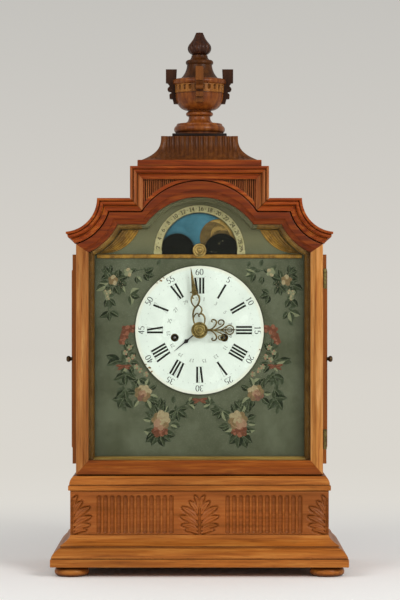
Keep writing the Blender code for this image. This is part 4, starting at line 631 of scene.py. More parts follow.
@dataclass(frozen=True)
class Metal(Finish):
    """Cast or turned metal: a clean bright colour, cloudy tarnish, and painted shade in the nooks."""

    clean: str
    tarnish: str
    roughness: float
    cloud_mm: float
    metallic: float = 1.0
    scratch_mm: float = 0.5
    nook_mm: float = 2.5
    dirt: float = 0.8

    def shader(self, tree: Tree) -> Socket:
        """Build the metal from clouds of tarnish, fine scratches and painted shade in the nooks.

        Args:
            tree: Node tree of the material.

        Returns:
            The shader.
        """
        place = add_node(tree, "TexCoord", output="Object")
        cloud = add_node(tree, "TexNoise", {
            "Vector": place, "Scale": 1 / (self.cloud_mm * MM), "Detail": 5.0, "Roughness": 0.65})
        colour = add_node(tree, "ValToRGB", {0: cloud}, ramp=[
            (0.36, linear(self.tarnish)), (0.62, linear(self.clean))])
        # Painted shade: the metal darkens towards near black in its nooks, found by ambient occlusion.
        nook = add_node(tree, "AmbientOcclusion", {"Distance": self.nook_mm * MM}, "AO", samples=6)
        metal_nook_shade = add_node(tree, "ValToRGB", {0: nook}, ramp=[(0.25, grey(self.dirt)), (0.8, grey(0.0))])
        colour = add_node(tree, "Mix", {0: metal_nook_shade, 6: colour, 7: linear("#1c1408")}, 2, **BLEND)
        # Polishing scratches are far finer than a pixel; they are drawn 0.5 mm apart so that they show.
        scratch = add_node(tree, "TexNoise", {
            "Vector": place, "Scale": 1 / (self.scratch_mm * MM), "Detail": 3.0})
        rough = add_node(tree, "MapRange", {
            "Value": cloud, "To Min": self.roughness + 0.14, "To Max": self.roughness - 0.08})
        bump = add_node(tree, "Bump", {"Height": scratch, "Strength": 0.2, "Distance": 0.03 * MM})
        return add_node(tree, "BsdfPrincipled", {
            "Base Color": colour, "Roughness": rough, "Normal": bump, "Metallic": self.metallic})


@dataclass(frozen=True)
class OilPaint(Finish):
    """Oil paint brushed on iron or gesso: soft cloudy tone, brush ridges, a dull varnish."""

    body: str
    second: str
    cloud_mm: float
    ridge_mm: float = 0.9
    roughness: float = 0.55
    soiling: float = 0.55
    speck_mm: float = 1.6
    nook_mm: float = 4.0
    slot: str = field(default="painted_iron", kw_only=True)

    def shader(self, tree: Tree) -> Socket:
        """Build the paint from two tones, brush ridges and painted shade in the nooks.

        Args:
            tree: Node tree of the material.

        Returns:
            The shader.
        """
        place = add_node(tree, "TexCoord", output="Object")
        cloud = add_node(tree, "TexNoise", {
            "Vector": place, "Scale": 1 / (self.cloud_mm * MM), "Detail": 4.0, "Roughness": 0.6})
        colour = add_node(tree, "ValToRGB", {0: cloud}, ramp=[
            (0.36, linear(self.body)), (0.66, linear(self.second))])
        speck = add_node(tree, "TexNoise", {
            "Vector": place, "Scale": 1 / (self.speck_mm * MM), "Detail": 2.0})
        worn = add_node(tree, "ValToRGB", {0: speck}, ramp=[(0.32, grey(0.86)), (0.55, grey(1.0))])
        colour = add_node(tree, "Mix", {0: 1.0, 6: colour, 7: worn}, 2, **MULTIPLY)
        # Painted shade: the paint darkens towards near black in its nooks, found by ambient occlusion.
        nook = add_node(tree, "AmbientOcclusion", {"Distance": self.nook_mm * MM}, "AO", samples=6)
        paint_nook_shade = add_node(tree, "ValToRGB", {0: nook}, ramp=[(0.3, grey(self.soiling)), (0.9, grey(0.0))])
        colour = add_node(tree, "Mix", {0: paint_nook_shade, 6: colour, 7: linear("#17140b")}, 2, **BLEND)
        ridge = add_node(tree, "TexNoise", {
            "Vector": place, "Scale": 1 / (self.ridge_mm * MM), "Detail": 3.0})
        rough = add_node(tree, "MapRange", {
            "Value": cloud, "To Min": self.roughness - 0.08, "To Max": self.roughness + 0.12})
        bump = add_node(tree, "Bump", {"Height": ridge, "Strength": 0.3, "Distance": 0.08 * MM})
        return add_node(tree, "BsdfPrincipled", {
            "Base Color": colour, "Roughness": rough, "Normal": bump, "Specular IOR Level": 0.12})


@dataclass(frozen=True)
class PlatePaint(OilPaint):
    """Grey-green oil paint on the iron plate, which has yellowed towards the arch."""

    arch: str = "#6b6a4c"
    arch_from: float = 376.0
    arch_to: float = 398.0

    def shader(self, tree: Tree) -> Socket:
        """Warm the plain paint towards the top of the plate.

        Args:
            tree: Node tree of the material.

        Returns:
            The shader.
        """
        surface = super().shader(tree)
        place = add_node(tree, "TexCoord", output="Object")
        height = add_node(tree, "SeparateXYZ", {0: place}, "Z")
        share = add_node(tree, "MapRange", {
            "Value": height, "From Min": self.arch_from * MM, "From Max": self.arch_to * MM, "To Max": 0.75})
        paint = surface.node.inputs["Base Color"]
        plain = paint.links[0].from_socket
        colour = add_node(tree, "Mix", {0: share, 6: plain, 7: linear(self.arch)}, 2, **BLEND)
        tree.links.new(colour, paint)
        return surface


@dataclass(frozen=True)
class FiredEnamel(Finish):
    """White enamel fired on copper: a glassy milk white, yellowed towards the rim, with hair cracks."""

    body: str
    shade: str
    rim: str
    centre: Point2
    radius: float
    rim_width: float = 5.0
    cloud_mm: float = 30.0
    crack_mm: float = 15.0
    ripple_mm: float = 8.0
    slot: str = field(default="enamel", kw_only=True)

    def shader(self, tree: Tree) -> Socket:
        """Build the glaze from a cloudy white, the yellowed rim and hair cracks.

        Args:
            tree: Node tree of the material.

        Returns:
            The shader.
        """
        place = add_node(tree, "TexCoord", output="Object")
        cloud = add_node(tree, "TexNoise", {
            "Vector": place, "Scale": 1 / (self.cloud_mm * MM), "Detail": 4.0})
        colour = add_node(tree, "ValToRGB", {0: cloud}, ramp=[
            (0.35, linear(self.shade)), (0.65, linear(self.body))])
        middle = (-self.centre[0] * MM, 0.0, -self.centre[1] * MM)
        flat = add_node(tree, "Mapping", {"Vector": place, "Location": middle})
        flat = add_node(tree, "Mapping", {"Vector": flat, "Scale": (1.0, 0.0, 1.0)})
        reach = add_node(tree, "VectorMath", {0: flat}, "Value", operation="LENGTH")
        share = add_node(tree, "MapRange", {
            "Value": reach, "From Min": (self.radius - self.rim_width) * MM, "From Max": self.radius * MM})
        colour = add_node(tree, "Mix", {0: share, 6: colour, 7: linear(self.rim)}, 2, **BLEND)
        # A real hair crack is 0.05 mm wide; it is drawn wider so that it shows.
        crack = add_node(tree, "TexVoronoi", {"Vector": place, "Scale": 1 / (self.crack_mm * MM)}, "Distance",
                         feature="DISTANCE_TO_EDGE")
        line = add_node(tree, "ValToRGB", {0: crack}, ramp=[(0.0, grey(0.9)), (0.012, grey(1.0))])
        colour = add_node(tree, "Mix", {0: 1.0, 6: colour, 7: line}, 2, **MULTIPLY)
        ripple = add_node(tree, "TexNoise", {"Vector": place, "Scale": 1 / (self.ripple_mm * MM)})
        bump = add_node(tree, "Bump", {"Height": ripple, "Strength": 0.12, "Distance": 0.1 * MM})
        rough = add_node(tree, "MapRange", {"Value": cloud, "To Min": 0.2, "To Max": 0.32})
        return add_node(tree, "BsdfPrincipled", {
            "Base Color": colour, "Roughness": rough, "Normal": bump, "IOR": 1.5})


@dataclass(frozen=True)
class WindowGlass(Finish):
    """Thin old cylinder glass: almost nothing to see but a faint wavy sheen."""

    tint: str
    wave_mm: float = 40.0
    dust_mm: float = 25.0
    slot: str = field(default="glass", kw_only=True)

    def shader(self, tree: Tree) -> Socket:
        """Build a nearly clear pane with waves and dust.

        Args:
            tree: Node tree of the material.

        Returns:
            The shader.
        """
        place = add_node(tree, "TexCoord", output="Object")
        wave = add_node(tree, "TexNoise", {"Vector": place, "Scale": 1 / (self.wave_mm * MM), "Detail": 1.0})
        bump = add_node(tree, "Bump", {"Height": wave, "Strength": 0.1, "Distance": 0.4 * MM})
        dust = add_node(tree, "TexNoise", {"Vector": place, "Scale": 1 / (self.dust_mm * MM), "Detail": 6.0})
        rough = add_node(tree, "MapRange", {"Value": dust, "To Min": 0.02, "To Max": 0.1})
        return add_node(tree, "BsdfPrincipled", {
            "Base Color": linear(self.tint), "Roughness": rough, "Normal": bump, "IOR": 1.5, "Alpha": 0.05,
            "Transmission Weight": 1.0})


# Waxed walnut of the case: orange brown in the light, red brown high up, with streaks along each board.
WOOD_STILE = PolishedWood("walnut_waxed_stile", "#7c4218", "#a1652f", "#ba8449", Grain.UPWARD)
# Painted light: the right stile takes a lighter copy of the stile wood, as the lamp on the right lights it.
WOOD_STILE_LIT = PolishedWood("walnut_waxed_stile_painted_light", "#8c4e1e", "#b27638", "#cb9358", Grain.UPWARD)
WOOD_RAIL = PolishedWood("walnut_waxed_rail", "#642a05", "#86420c", "#a45f20", Grain.ACROSS)
WOOD_ARCH = PolishedWood("walnut_waxed_arch", "#481b04", "#692805", "#823e0d", Grain.ACROSS)
WOOD_BASE = PolishedWood("walnut_waxed_base", "#7d4211", "#9f5b1f", "#b87835", Grain.ACROSS)
WOOD_BASE_SIDE = PolishedWood("walnut_waxed_base_side", "#743c11", "#94541c", "#ae7032", Grain.AROUND)
WOOD_CORNICE = PolishedWood("walnut_waxed_cornice", "#5a2002", "#823406", "#a55a1c", Grain.ACROSS)
WOOD_BLOCK_STILE = PolishedWood("walnut_waxed_block_side", "#663010", "#8a4a20", "#aa6c3a", Grain.UPWARD)
# Veneer of the sides and back: a quieter brown with straight figure.
WOOD_SIDE = PolishedWood("walnut_veneered_side", "#5b2807", "#7c3e0e", "#96561e", Grain.UPWARD)
WOOD_SIDE_LEVEL = PolishedWood("walnut_veneered_return", "#5b2807", "#7c3e0e", "#96561e", Grain.BACKWARD)
# Carved walnut: a closed surface with painted shade in every groove.
WOOD_FRIEZE = PolishedWood("walnut_carved_frieze", "#77400f", "#8e4c1a", "#a0602a", Grain.ACROSS,
                           grime=0.6, pores=0.3)
WOOD_PEDESTAL = PolishedWood("walnut_carved_pedestal", "#46230a", "#5a300f", "#704016", Grain.UPWARD, 0.38,
                             grime=0.95, pores=0.3)
WOOD_BUD = PolishedWood("walnut_carved_bud", "#1d0e06", "#34190c", "#4f2c14", Grain.UPWARD, 0.38, pores=0.3)
# Turned walnut of the urn: smooth and a little glossy; the lid is darker, and the side handles take a near
# black copy as painted shade.
WOOD_URN = PolishedWood("walnut_turned_urn", "#52240a", "#733a10", "#8e531f", Grain.UPWARD, 0.36,
                        gloss=0.2, pores=0.3)
WOOD_LID = PolishedWood("walnut_turned_lid", "#2c1505", "#43230a", "#5a3413", Grain.UPWARD, 0.38,
                        gloss=0.1, pores=0.3)
WOOD_BAND = PolishedWood("walnut_turned_band", "#65380f", "#885422", "#a06c34", Grain.UPWARD, 0.38,
                         gloss=0.12, pores=0.3)
WOOD_HANDLE_SHADED = PolishedWood("walnut_handle_painted_shade", "#1e0f08", "#301b10", "#442818", Grain.UPWARD, 0.38,
                           gloss=0.08, pores=0.3)
# Pear stained black: a dull near-black with hardly any figure.
WOOD_EBONISED = PolishedWood("pear_ebonised", "#0b0603", "#150b06", "#21130a", Grain.ACROSS, 0.5,
                             gloss=0.1, slot="dark_wood")
# Oak from the plane, never waxed: pale and matt.
WOOD_BARE = PolishedWood("oak_planed_bare", "#6d4c2b", "#8f6a3f", "#a98356", Grain.ACROSS, 0.65,
                         slot="plain_wood")
# Slip under a thin wash of gold: brass yellow with the wood's streaks in it.
WOOD_SLIP_FOOT = PolishedWood("walnut_slip_gilt_wash", "#6b5426", "#8d7337", "#b39a58", Grain.ACROSS)
# Gold leaf on gesso, warm on the high parts; the olive copy is painted shade where the door frame shades the
# fans and the slip.
GILDING = Metal("gold_leaf_on_gesso", "#b08734", "#76561f", 0.42, 11.0, 0.55, slot="gilt_wood")
GILDING_SHADED = Metal("gold_leaf_olive_painted_shade", "#94702c", "#684c1c", 0.5, 11.0, 0.35, slot="gilt_wood")
# Brass: golden under lacquer, olive and cloudy where the lacquer is gone.
BRASS = Metal("brass_lacquered", "#c8a45a", "#8f6f33", 0.34, 18.0, slot="brass")
BRASS_HAND = Metal("brass_pierced_gilt", "#7f7144", "#473c1e", 0.36, 9.0, 0.85, slot="brass")
BRASS_BOSS = Metal("brass_turned_boss", "#b59a58", "#7d6836", 0.36, 9.0, 0.7, slot="brass")
BRASS_COLLET = Metal("brass_turned_collet", "#988850", "#5c4f28", 0.38, 7.0, 0.8, slot="brass")
# Cast bronze with a dark skin, and bell metal with the bright rings of the lathe.
BRONZE = Metal("bronze_cast_patinated", "#5b4a35", "#2e241a", 0.42, 6.0, slot="dark_bronze")
BELL_METAL = Metal("bell_metal_turned", "#b3935a", "#7d6236", 0.3, 22.0, slot="bell_metal")
# Steel: cold and bright from the polish, dull under oil, black from the fire.
STEEL = Metal("steel_polished", "#a6a7aa", "#77746f", 0.3, 16.0, slot="steel")
STEEL_DARK = Metal("steel_oiled_dark", "#6b6862", "#2e2b26", 0.4, 4.0, slot="steel")
BLUED = Metal("steel_blackened", "#23211f", "#12110f", 0.42, 5.0, 0.6, slot="blued_steel")
# Thin blown glass: clear, with a wavy sheen.
GLASS_PANE = WindowGlass("cylinder_glass_pane", "#f2f6f2")
# Paints of the plate and the moon dial: matt, cloudy, with brush ridges.
PLATE_PAINT = PlatePaint("oil_paint_grey_green", "#5a604b", "#494e39", 34.0, 1.4, 0.6, 0.8)
SLIP_OLIVE = OilPaint("oil_paint_slip_olive", "#563a11", "#6c4d1f", 12.0, slot="polished_wood")
SKY_PAINT = OilPaint("oil_paint_sky_blue", "#41707c", "#2e5861", 26.0, 1.2, 0.5, 0.75, slot="moon_paint")
MOON_GOLD = OilPaint("oil_paint_moon_gold", "#8a7038", "#9c844a", 6.0, 1.0, 0.5, 0.6, slot="moon_paint")
MOON_SHADE = OilPaint("oil_paint_moon_shade", "#66552f", "#4f4124", 6.0, 1.0, 0.5, 0.6, slot="moon_paint")
NIGHT_PAINT = OilPaint("oil_paint_lamp_black", "#080a05", "#0f120a", 9.0, 1.0, 0.5, 0.3)
RING_PAINT = OilPaint("oil_paint_cream", "#aca77c", "#918d60", 7.0, 1.0, 0.6, 0.5)
FIGURE_BROWN = OilPaint("oil_paint_umber", "#4d4630", "#39341f", 4.0, 0.6, 0.6, 0.2)
# Enamel of the dial: milk white and glassy, its figures smoother than paint, its chips bare copper.
ENAMEL_WHITE = FiredEnamel("enamel_fired_white", "#dce9dc", "#d2dfd2", "#d8dcc6", (0.0, 291.0), 77.2)
ENAMEL_BLACK = OilPaint("enamel_fired_black", "#14170f", "#1f2219", 6.0, 0.8, 0.3, 0.1, slot="enamel")
ENAMEL_GREY = OilPaint("enamel_fired_grey", "#586055", "#70786d", 4.0, 0.8, 0.4, 0.1, slot="enamel")
ENAMEL_CHIP = OilPaint("copper_bare_chip", "#5a4222", "#8b7440", 2.0, 0.5, 0.6, 0.2, slot="enamel")


def place_piece(name: str, shape: Shape, finishes: Sequence[Finish], body: str, nodes: Sequence[str] = (),
                smooth: float = 38.0) -> None:
    """Make a mesh of a shape, dress it and let it ride on a body.

    Args:
        name: Name of the piece.
        shape: Shape in millimetres, in the clock's frame.
        finishes: Finish for each finish number of the faces.
        body: Body of the clock that carries the piece.
        nodes: Solids that the piece stands for.
        smooth: Largest angle between faces that is shaded as a curve, in degrees.
    """
    mesh = bpy.data.meshes.new(name)
    mesh.from_pydata([(x * MM, y * MM, z * MM) for x, y, z in shape.points], [], shape.faces)
    mesh.polygons.foreach_set("material_index", shape.marks)
    for finish in finishes:
        mesh.materials.append(finish.material())
    work = bmesh.new()
    work.from_mesh(mesh)
    bmesh.ops.remove_doubles(work, verts=work.verts, dist=0.0005 * MM)
    bmesh.ops.recalc_face_normals(work, faces=work.faces)
    work.to_mesh(mesh)
    work.free()
    mesh.shade_smooth()
    mesh.set_sharp_from_angle(angle=math.radians(smooth))
    piece = bpy.data.objects.new(name, mesh)
    bpy.context.scene.collection.objects.link(piece)
    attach(piece, body)
    if nodes:
        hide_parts(*nodes)
    LOG.info("%s rides on %s, %d faces", name, body, len(mesh.polygons))


def dress_node(node: str, finish: Finish, ease: float = 0.0) -> None:
    """Give a solid that stays in view its finish, and soften its edges.

    Args:
        node: Name of the solid.
        finish: Its finish.
        ease: Width of the softened edges in millimetres.
    """
    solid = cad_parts[node]
    solid.data.materials.clear()
    solid.data.materials.append(finish.material())
    if ease:
        bevel = solid.modifiers.new("eased_edges", "BEVEL")
        bevel.width = ease * MM
        bevel.segments = 2
        bevel.limit_method = "ANGLE"
        bevel.angle_limit = math.radians(40)
    LOG.info("%s keeps its solid, in %s", node, finish.name)


# Base, cornice, pedestal and urn


@dataclass
class Base:
    """Bun feet, plinth moulding, fluted frieze with acanthus leaves, and the cap under the case."""

    foot_radius: float = 21.0
    foot_height: float = 12.0
    foot_spread: Point2 = (151.5, 75.5)
    half_plinth: float = 176.0
    half_neck: float = 165.9
    half_frieze: float = 153.5
    half_cap: float = 155.9
    half_thumb: float = 154.7
    half_ledge: float = 150.0
    wall: float = 12.0
    front_line: float = 76.0
    back: float = 100.0
    plinth_foot: float = 12.3
    ovolo_foot: float = 22.3
    quirk_foot: float = 33.8
    cove_foot: float = 36.2
    cove_top: float = 48.2
    frieze_foot: float = 48.5
    frieze_top: float = 100.7
    cap_foot: float = 101.0
    thumb_foot: float = 107.1
    cap_top: float = 117.9
    flute_count: int = 12
    flute_pitch: float = 7.8
    flute_first: float = 33.5
    flute_radius: float = 2.8
    flute_margin: float = 5.4
    leaf_reach: Point2 = (27.5, 29.0)
    corner_stem: float = 2.2
    carving_grid: tuple[int, int] = (680, 112)

    def build(self) -> None:
        """Build all pieces of the base."""
        self.feet()
        self.plinth()
        self.frieze()
        self.cap()
        dress_node("base_box", WOOD_BASE_SIDE, 0.4)

    def feet(self) -> None:
        """Turn the four bun feet."""
        radius, height = self.foot_radius, self.foot_height
        profile = contour([(radius * 0.2, 0.0, 0.0), (radius * 0.72, 0.0, 0.0), (radius * 0.8, 10.7, 0.85),
                           (radius * 0.79, 11.2, 0.0), (radius * 0.81, height - 0.2, 0.0),
                           (radius * 0.79, height, 0.0), (radius * 0.2, height, 0.0)], 12)
        for depth, y in (("front", -self.foot_spread[1]), ("back", self.foot_spread[1])):
            for side, x in (("left", -self.foot_spread[0]), ("right", self.foot_spread[0])):
                node = f"foot_{depth}_{side}"
                place_piece(f"bun_{node}", lathe(profile, (x, y)), [WOOD_BASE], "case", [node])

    def tier(self, half: float, height: float) -> list[Point3]:
        """Draw one level outline of the base, flush at the back, with points close to its corners.

        Args:
            half: Half its width.
            height: Its height.

        Returns:
            The outline.
        """
        front, back = self.front_line - half, self.back
        xs = [-half, 1 - half, 5 - half, *spread(24 - half, half - 24, 7), half - 5, half - 1]
        ys = [front, front + 1, front + 5, *spread(front + 24, back - 24, 5), back - 5, back - 1]
        ring = [(x, front, height) for x in xs]
        ring += [(half, y, height) for y in ys]
        ring += [(-x, back, height) for x in xs]
        return ring + [(-half, back + front - y, height) for y in ys]

    def hollow(self, height: float) -> list[Point3]:
        """Draw the level outline of the hollow inside the base, point for point with a tier.

        Args:
            height: Its height.

        Returns:
            The outline.
        """
        half = self.half_frieze - self.wall
        low, high = self.front_line - self.half_frieze + self.wall, self.back - self.wall
        outer = self.tier(self.half_frieze, height)
        return [(clamped(x, -half, half), clamped(y, low, high), z) for x, y, z in outer]

    def banded(self, shape: Shape) -> Shape:
        """Mark the faces at the sides so that their grain runs backward.

        Args:
            shape: A moulding that runs round the base.

        Returns:
            The same moulding.
        """
        for k, face in enumerate(shape.faces):
            xs = [shape.points[i][0] for i in face]
            ys = [shape.points[i][1] for i in face]
            if max(xs) - min(xs) < max(ys) - min(ys) and len(face) == 4:
                shape.marks[k] = 1
        return shape

    def plinth(self) -> None:
        """Run the fascia, ovolo, quirk and cove round the foot of the case."""
        plinth, neck, frieze = self.half_plinth, self.half_neck, self.half_frieze
        ovolo, quirk, cove = self.ovolo_foot, self.quirk_foot, self.cove_foot
        levels = [(plinth - 0.5, self.plinth_foot), (plinth, self.plinth_foot + 0.5)]
        levels += [(plinth, z) for z in (13.6, 15.5, 18.5, 20.6)]
        levels += [(plinth - 0.1, ovolo - 1.0), (plinth - 0.7, ovolo - 0.6), (plinth - 2.3, ovolo - 0.5),
                   (plinth - 2.3, ovolo + 0.4)]
        for rise in spread(0.0, 1.0, 14):
            levels.append((neck + (1 - rise ** 1.6) * (plinth - neck - 0.9),
                           ovolo + 0.5 + rise * (quirk - ovolo - 0.5)))
        levels += [(neck - 1.6, quirk + 0.3), (neck - 1.7, cove - 0.4), (neck - 0.3, cove)]
        for rise in spread(0.06, 1.0, 14):
            levels.append((frieze + (1 - rise) ** 1.7 * (neck - frieze),
                           cove + rise * (self.cove_top - cove)))
        rings = [self.tier(half, z) for half, z in levels]
        rings += [self.hollow(self.cove_top), self.hollow(self.plinth_foot)]
        shape = self.banded(loft(rings, round_trip=True))
        place_piece("plinth_run_moulding", shape, [WOOD_BASE, WOOD_BASE_SIDE], "case",
                    ["plinth_moulding"], 30)

    def cap(self) -> None:
        """Run the band and the thumb moulding on top of the base."""
        cap, thumb, ledge = self.half_cap, self.half_thumb, self.half_ledge
        foot, middle = self.cap_foot, self.thumb_foot
        levels = [(cap - 12, foot), (cap - 0.6, foot), (cap, foot + 0.7)]
        levels += [(cap, z) for z in spread(foot + 1.6, middle - 1.4, 3)]
        levels += [(cap, middle - 0.6), (cap - 0.6, middle - 0.1), (thumb - 1.1, middle),
                   (thumb - 1.1, middle + 0.7), (thumb - 0.1, middle + 0.9)]
        for rise in spread(0.14, 1.0, 14):
            levels.append((ledge + (thumb - ledge) * (1 - rise ** 2.4),
                           middle + rise * (self.cap_top - middle)))
        levels.append((ledge - 12, self.cap_top))
        shape = self.banded(loft([self.tier(half, z) for half, z in levels]))
        place_piece("base_thumb_moulding", shape, [WOOD_BASE, WOOD_BASE_SIDE], "case", ["base_cap"], 30)

    def flutes(self, xs: np.ndarray, zs: np.ndarray) -> np.ndarray:
        """Carve the round-ended flutes.

        Args:
            xs: Places across.
            zs: Heights.

        Returns:
            Depth of the carving below the face.
        """
        low = self.frieze_foot + 0.9 + self.flute_radius
        high = self.frieze_top - self.flute_margin - self.flute_radius
        depth = np.zeros_like(xs)
        over = np.where(zs > high, zs - high, np.where(zs < low, low - zs, 0.0))
        for k in range(self.flute_count):
            centre = self.flute_first + k * self.flute_pitch
            away = np.hypot(np.abs(np.abs(xs) - centre), over)
            depth = np.maximum(depth, np.sqrt(np.maximum(self.flute_radius ** 2 - away ** 2, 0.0)))
        return depth * 0.92

    def leaf(self, xs: np.ndarray, zs: np.ndarray, stem: float) -> np.ndarray:
        """Carve half an acanthus leaf whose lobes lean away from a stem.

        Args:
            xs: Places across, with the lobes towards larger values.
            zs: Heights.
            stem: Place of the stem.

        Returns:
            Depth of the carving below the face.
        """
        foot = self.frieze_foot
        far = 9.0
        lobes = [((2.2, 1.6), (17.0, 5.6), 2.6), ((2.0, 5.6), (21.0, 11.4), 3.2),
                 ((2.0, 10.6), (22.4, 21.6), 3.6), ((2.0, 17.4), (20.6, 32.6), 3.8),
                 ((2.0, 24.6), (11.6, 39.4), 3.2), ((1.6, 32.0), (5.6, 46.2), 2.4)]
        groove = np.zeros_like(xs)
        carved = np.full_like(xs, far)
        for (x0, z0), (x1, z1), width in lobes:
            dx, dz = x1 - x0, z1 - z0
            length = math.hypot(dx, dz)
            px, pz = xs - stem - x0, zs - foot - z0
            along = (px * dx + pz * dz) / length ** 2
            bend = 1.6 * np.sin(np.clip(along, 0, 1) * math.pi)
            aside = (px * dz - pz * dx) / length + bend
            swell = np.sin(np.clip(along, 0.001, 0.999) ** 0.8 * math.pi)
            half = width * np.sqrt(np.clip(swell, 0.02, 1.0))
            share = np.abs(aside) / half
            inside = (share < 1.0) & (along > 0.0) & (along < 1.0)
            vein = 0.9 * np.exp(-(aside / 0.6) ** 2) * np.clip(along * 4, 0, 1)
            tone = 0.25 + 1.5 * share ** 2.2 + vein
            carved = np.where(inside, np.minimum(carved, tone), carved)
            past = np.maximum(np.maximum(-along, along - 1.0), 0.0) * length
            off = np.hypot(np.maximum(np.abs(aside) - half, 0.0), past)
            groove = np.maximum(groove, 2.2 * np.exp(-(off / 1.5) ** 2))
        stalk = np.abs(xs - stem)
        ribs = 0.3 + 0.9 * np.cos(np.clip(stalk, 0, 2.4) / 2.4 * math.pi * 2) ** 2
        ribbed = np.where((stalk < 2.4) & (zs < foot + 44), ribs, far)
        best = np.minimum(carved, ribbed)
        return np.where(best < far, best, groove)

    def frieze(self) -> None:
        """Carve the front of the frieze as one relief."""
        (x0, front, z0), (x1, back, z1) = solid_box("base_frieze_front")
        columns, rows = self.carving_grid
        xs, zs = np.meshgrid(np.linspace(x0, x1, columns), np.linspace(z0, z1, rows))
        depth = self.flutes(xs, zs)
        away = np.abs(xs)
        middle = np.where(away < self.leaf_reach[0], self.leaf(away, zs, 0.0), 0.0)
        corner = np.where(away > x1 - self.leaf_reach[1], self.leaf(x1 - away, zs, self.corner_stem), 0.0)
        depth = np.maximum(depth, np.maximum(middle, corner))
        edge = np.minimum(np.minimum(xs - x0, x1 - xs), np.minimum(zs - z0, z1 - zs))
        depth = np.where(edge < 0.4, np.maximum(depth * 0.3, 0.3), depth)
        grid = []
        for row in zip(xs, depth, zs):
            grid.append([(float(x), float(front + d), float(z)) for x, d, z in zip(*row)])
        place_piece("frieze_carved_front", relief(grid, back), [WOOD_FRIEZE], "case",
                    ["base_frieze_front"], 60)


@dataclass
class RoofLine:
    """Break-arch line of the roof, shared by the cornice, the front door and the gilded fans."""

    half_case: float = 147.0
    cove_x: float = 161.5
    cove_radius: float = 40.0
    shoulder: float = 448.1
    half_block: float = 82.4
    block_top: float = 486.1
    arch_z: float = 386.8
    arch_radius: float = 83.2
    case_front: float = -71.0
    carcase_front: float = -52.6

    def cove_point(self, step: float, reach: float, along: float) -> Point2:
        """Find a point on the concave shoulder.

        Args:
            step: Distance in from the outer line.
            reach: How far the moulding stands out there.
            along: 0 at the tip, 1 at the start of the flat.

        Returns:
            The place as x and z.
        """
        radius = self.cove_radius + step
        tip = math.pi + math.acos((self.cove_x - self.half_case - reach) / radius)
        end = math.pi + math.asin(step / radius)
        angle = tip + (end - tip) * along
        return self.cove_x + radius * math.cos(angle), self.shoulder + radius * math.sin(angle)

    def clear_of_door(self, x: float, z: float) -> Point2:
        """Push a point out of the room that the arched top of the door needs.

        Args:
            x: Its place across.
            z: Its height.

        Returns:
            The place as x and z.
        """
        away = math.hypot(x, z - self.arch_z)
        if away >= self.arch_radius or z < self.arch_z:
            return x, z
        share = self.arch_radius / away
        return x * share, self.arch_z + (z - self.arch_z) * share

    def opening(self, half: float, foot: float, step: float, arch_z: float, radius: float) -> list[Point2]:
        """Draw a closed outline that follows the roof line at an inset.

        Args:
            half: Half its width.
            foot: Its lowest level.
            step: Its inset from the roof line.
            arch_z: Centre height of its arch.
            radius: Radius of its arch.

        Returns:
            The outline, from the right foot up and round to the left foot.
        """
        parts = 18
        bend = self.cove_radius + step
        flat = self.shoulder - step
        side = 180 + math.degrees(math.acos((self.cove_x - half) / bend))
        level = 180 + math.degrees(math.asin(step / bend))
        spring = math.degrees(math.asin((flat - arch_z) / radius))
        cove = arc((self.cove_x, self.shoulder), bend, side, level, parts)
        arch = arc((0.0, arch_z), radius, spring, 90.0, parts)
        right = [(half, z) for z in spread(foot, cove[0][1], 12)[:-1]] + cove
        right += [(x, flat) for x in spread(cove[-1][0], arch[0][0], 6)[1:-1]] + arch
        left = [(-x, z) for x, z in reversed(right[:-1])]
        low = [(x, foot) for x in spread(-half, half, 14)[1:-1]]
        return right + left + low


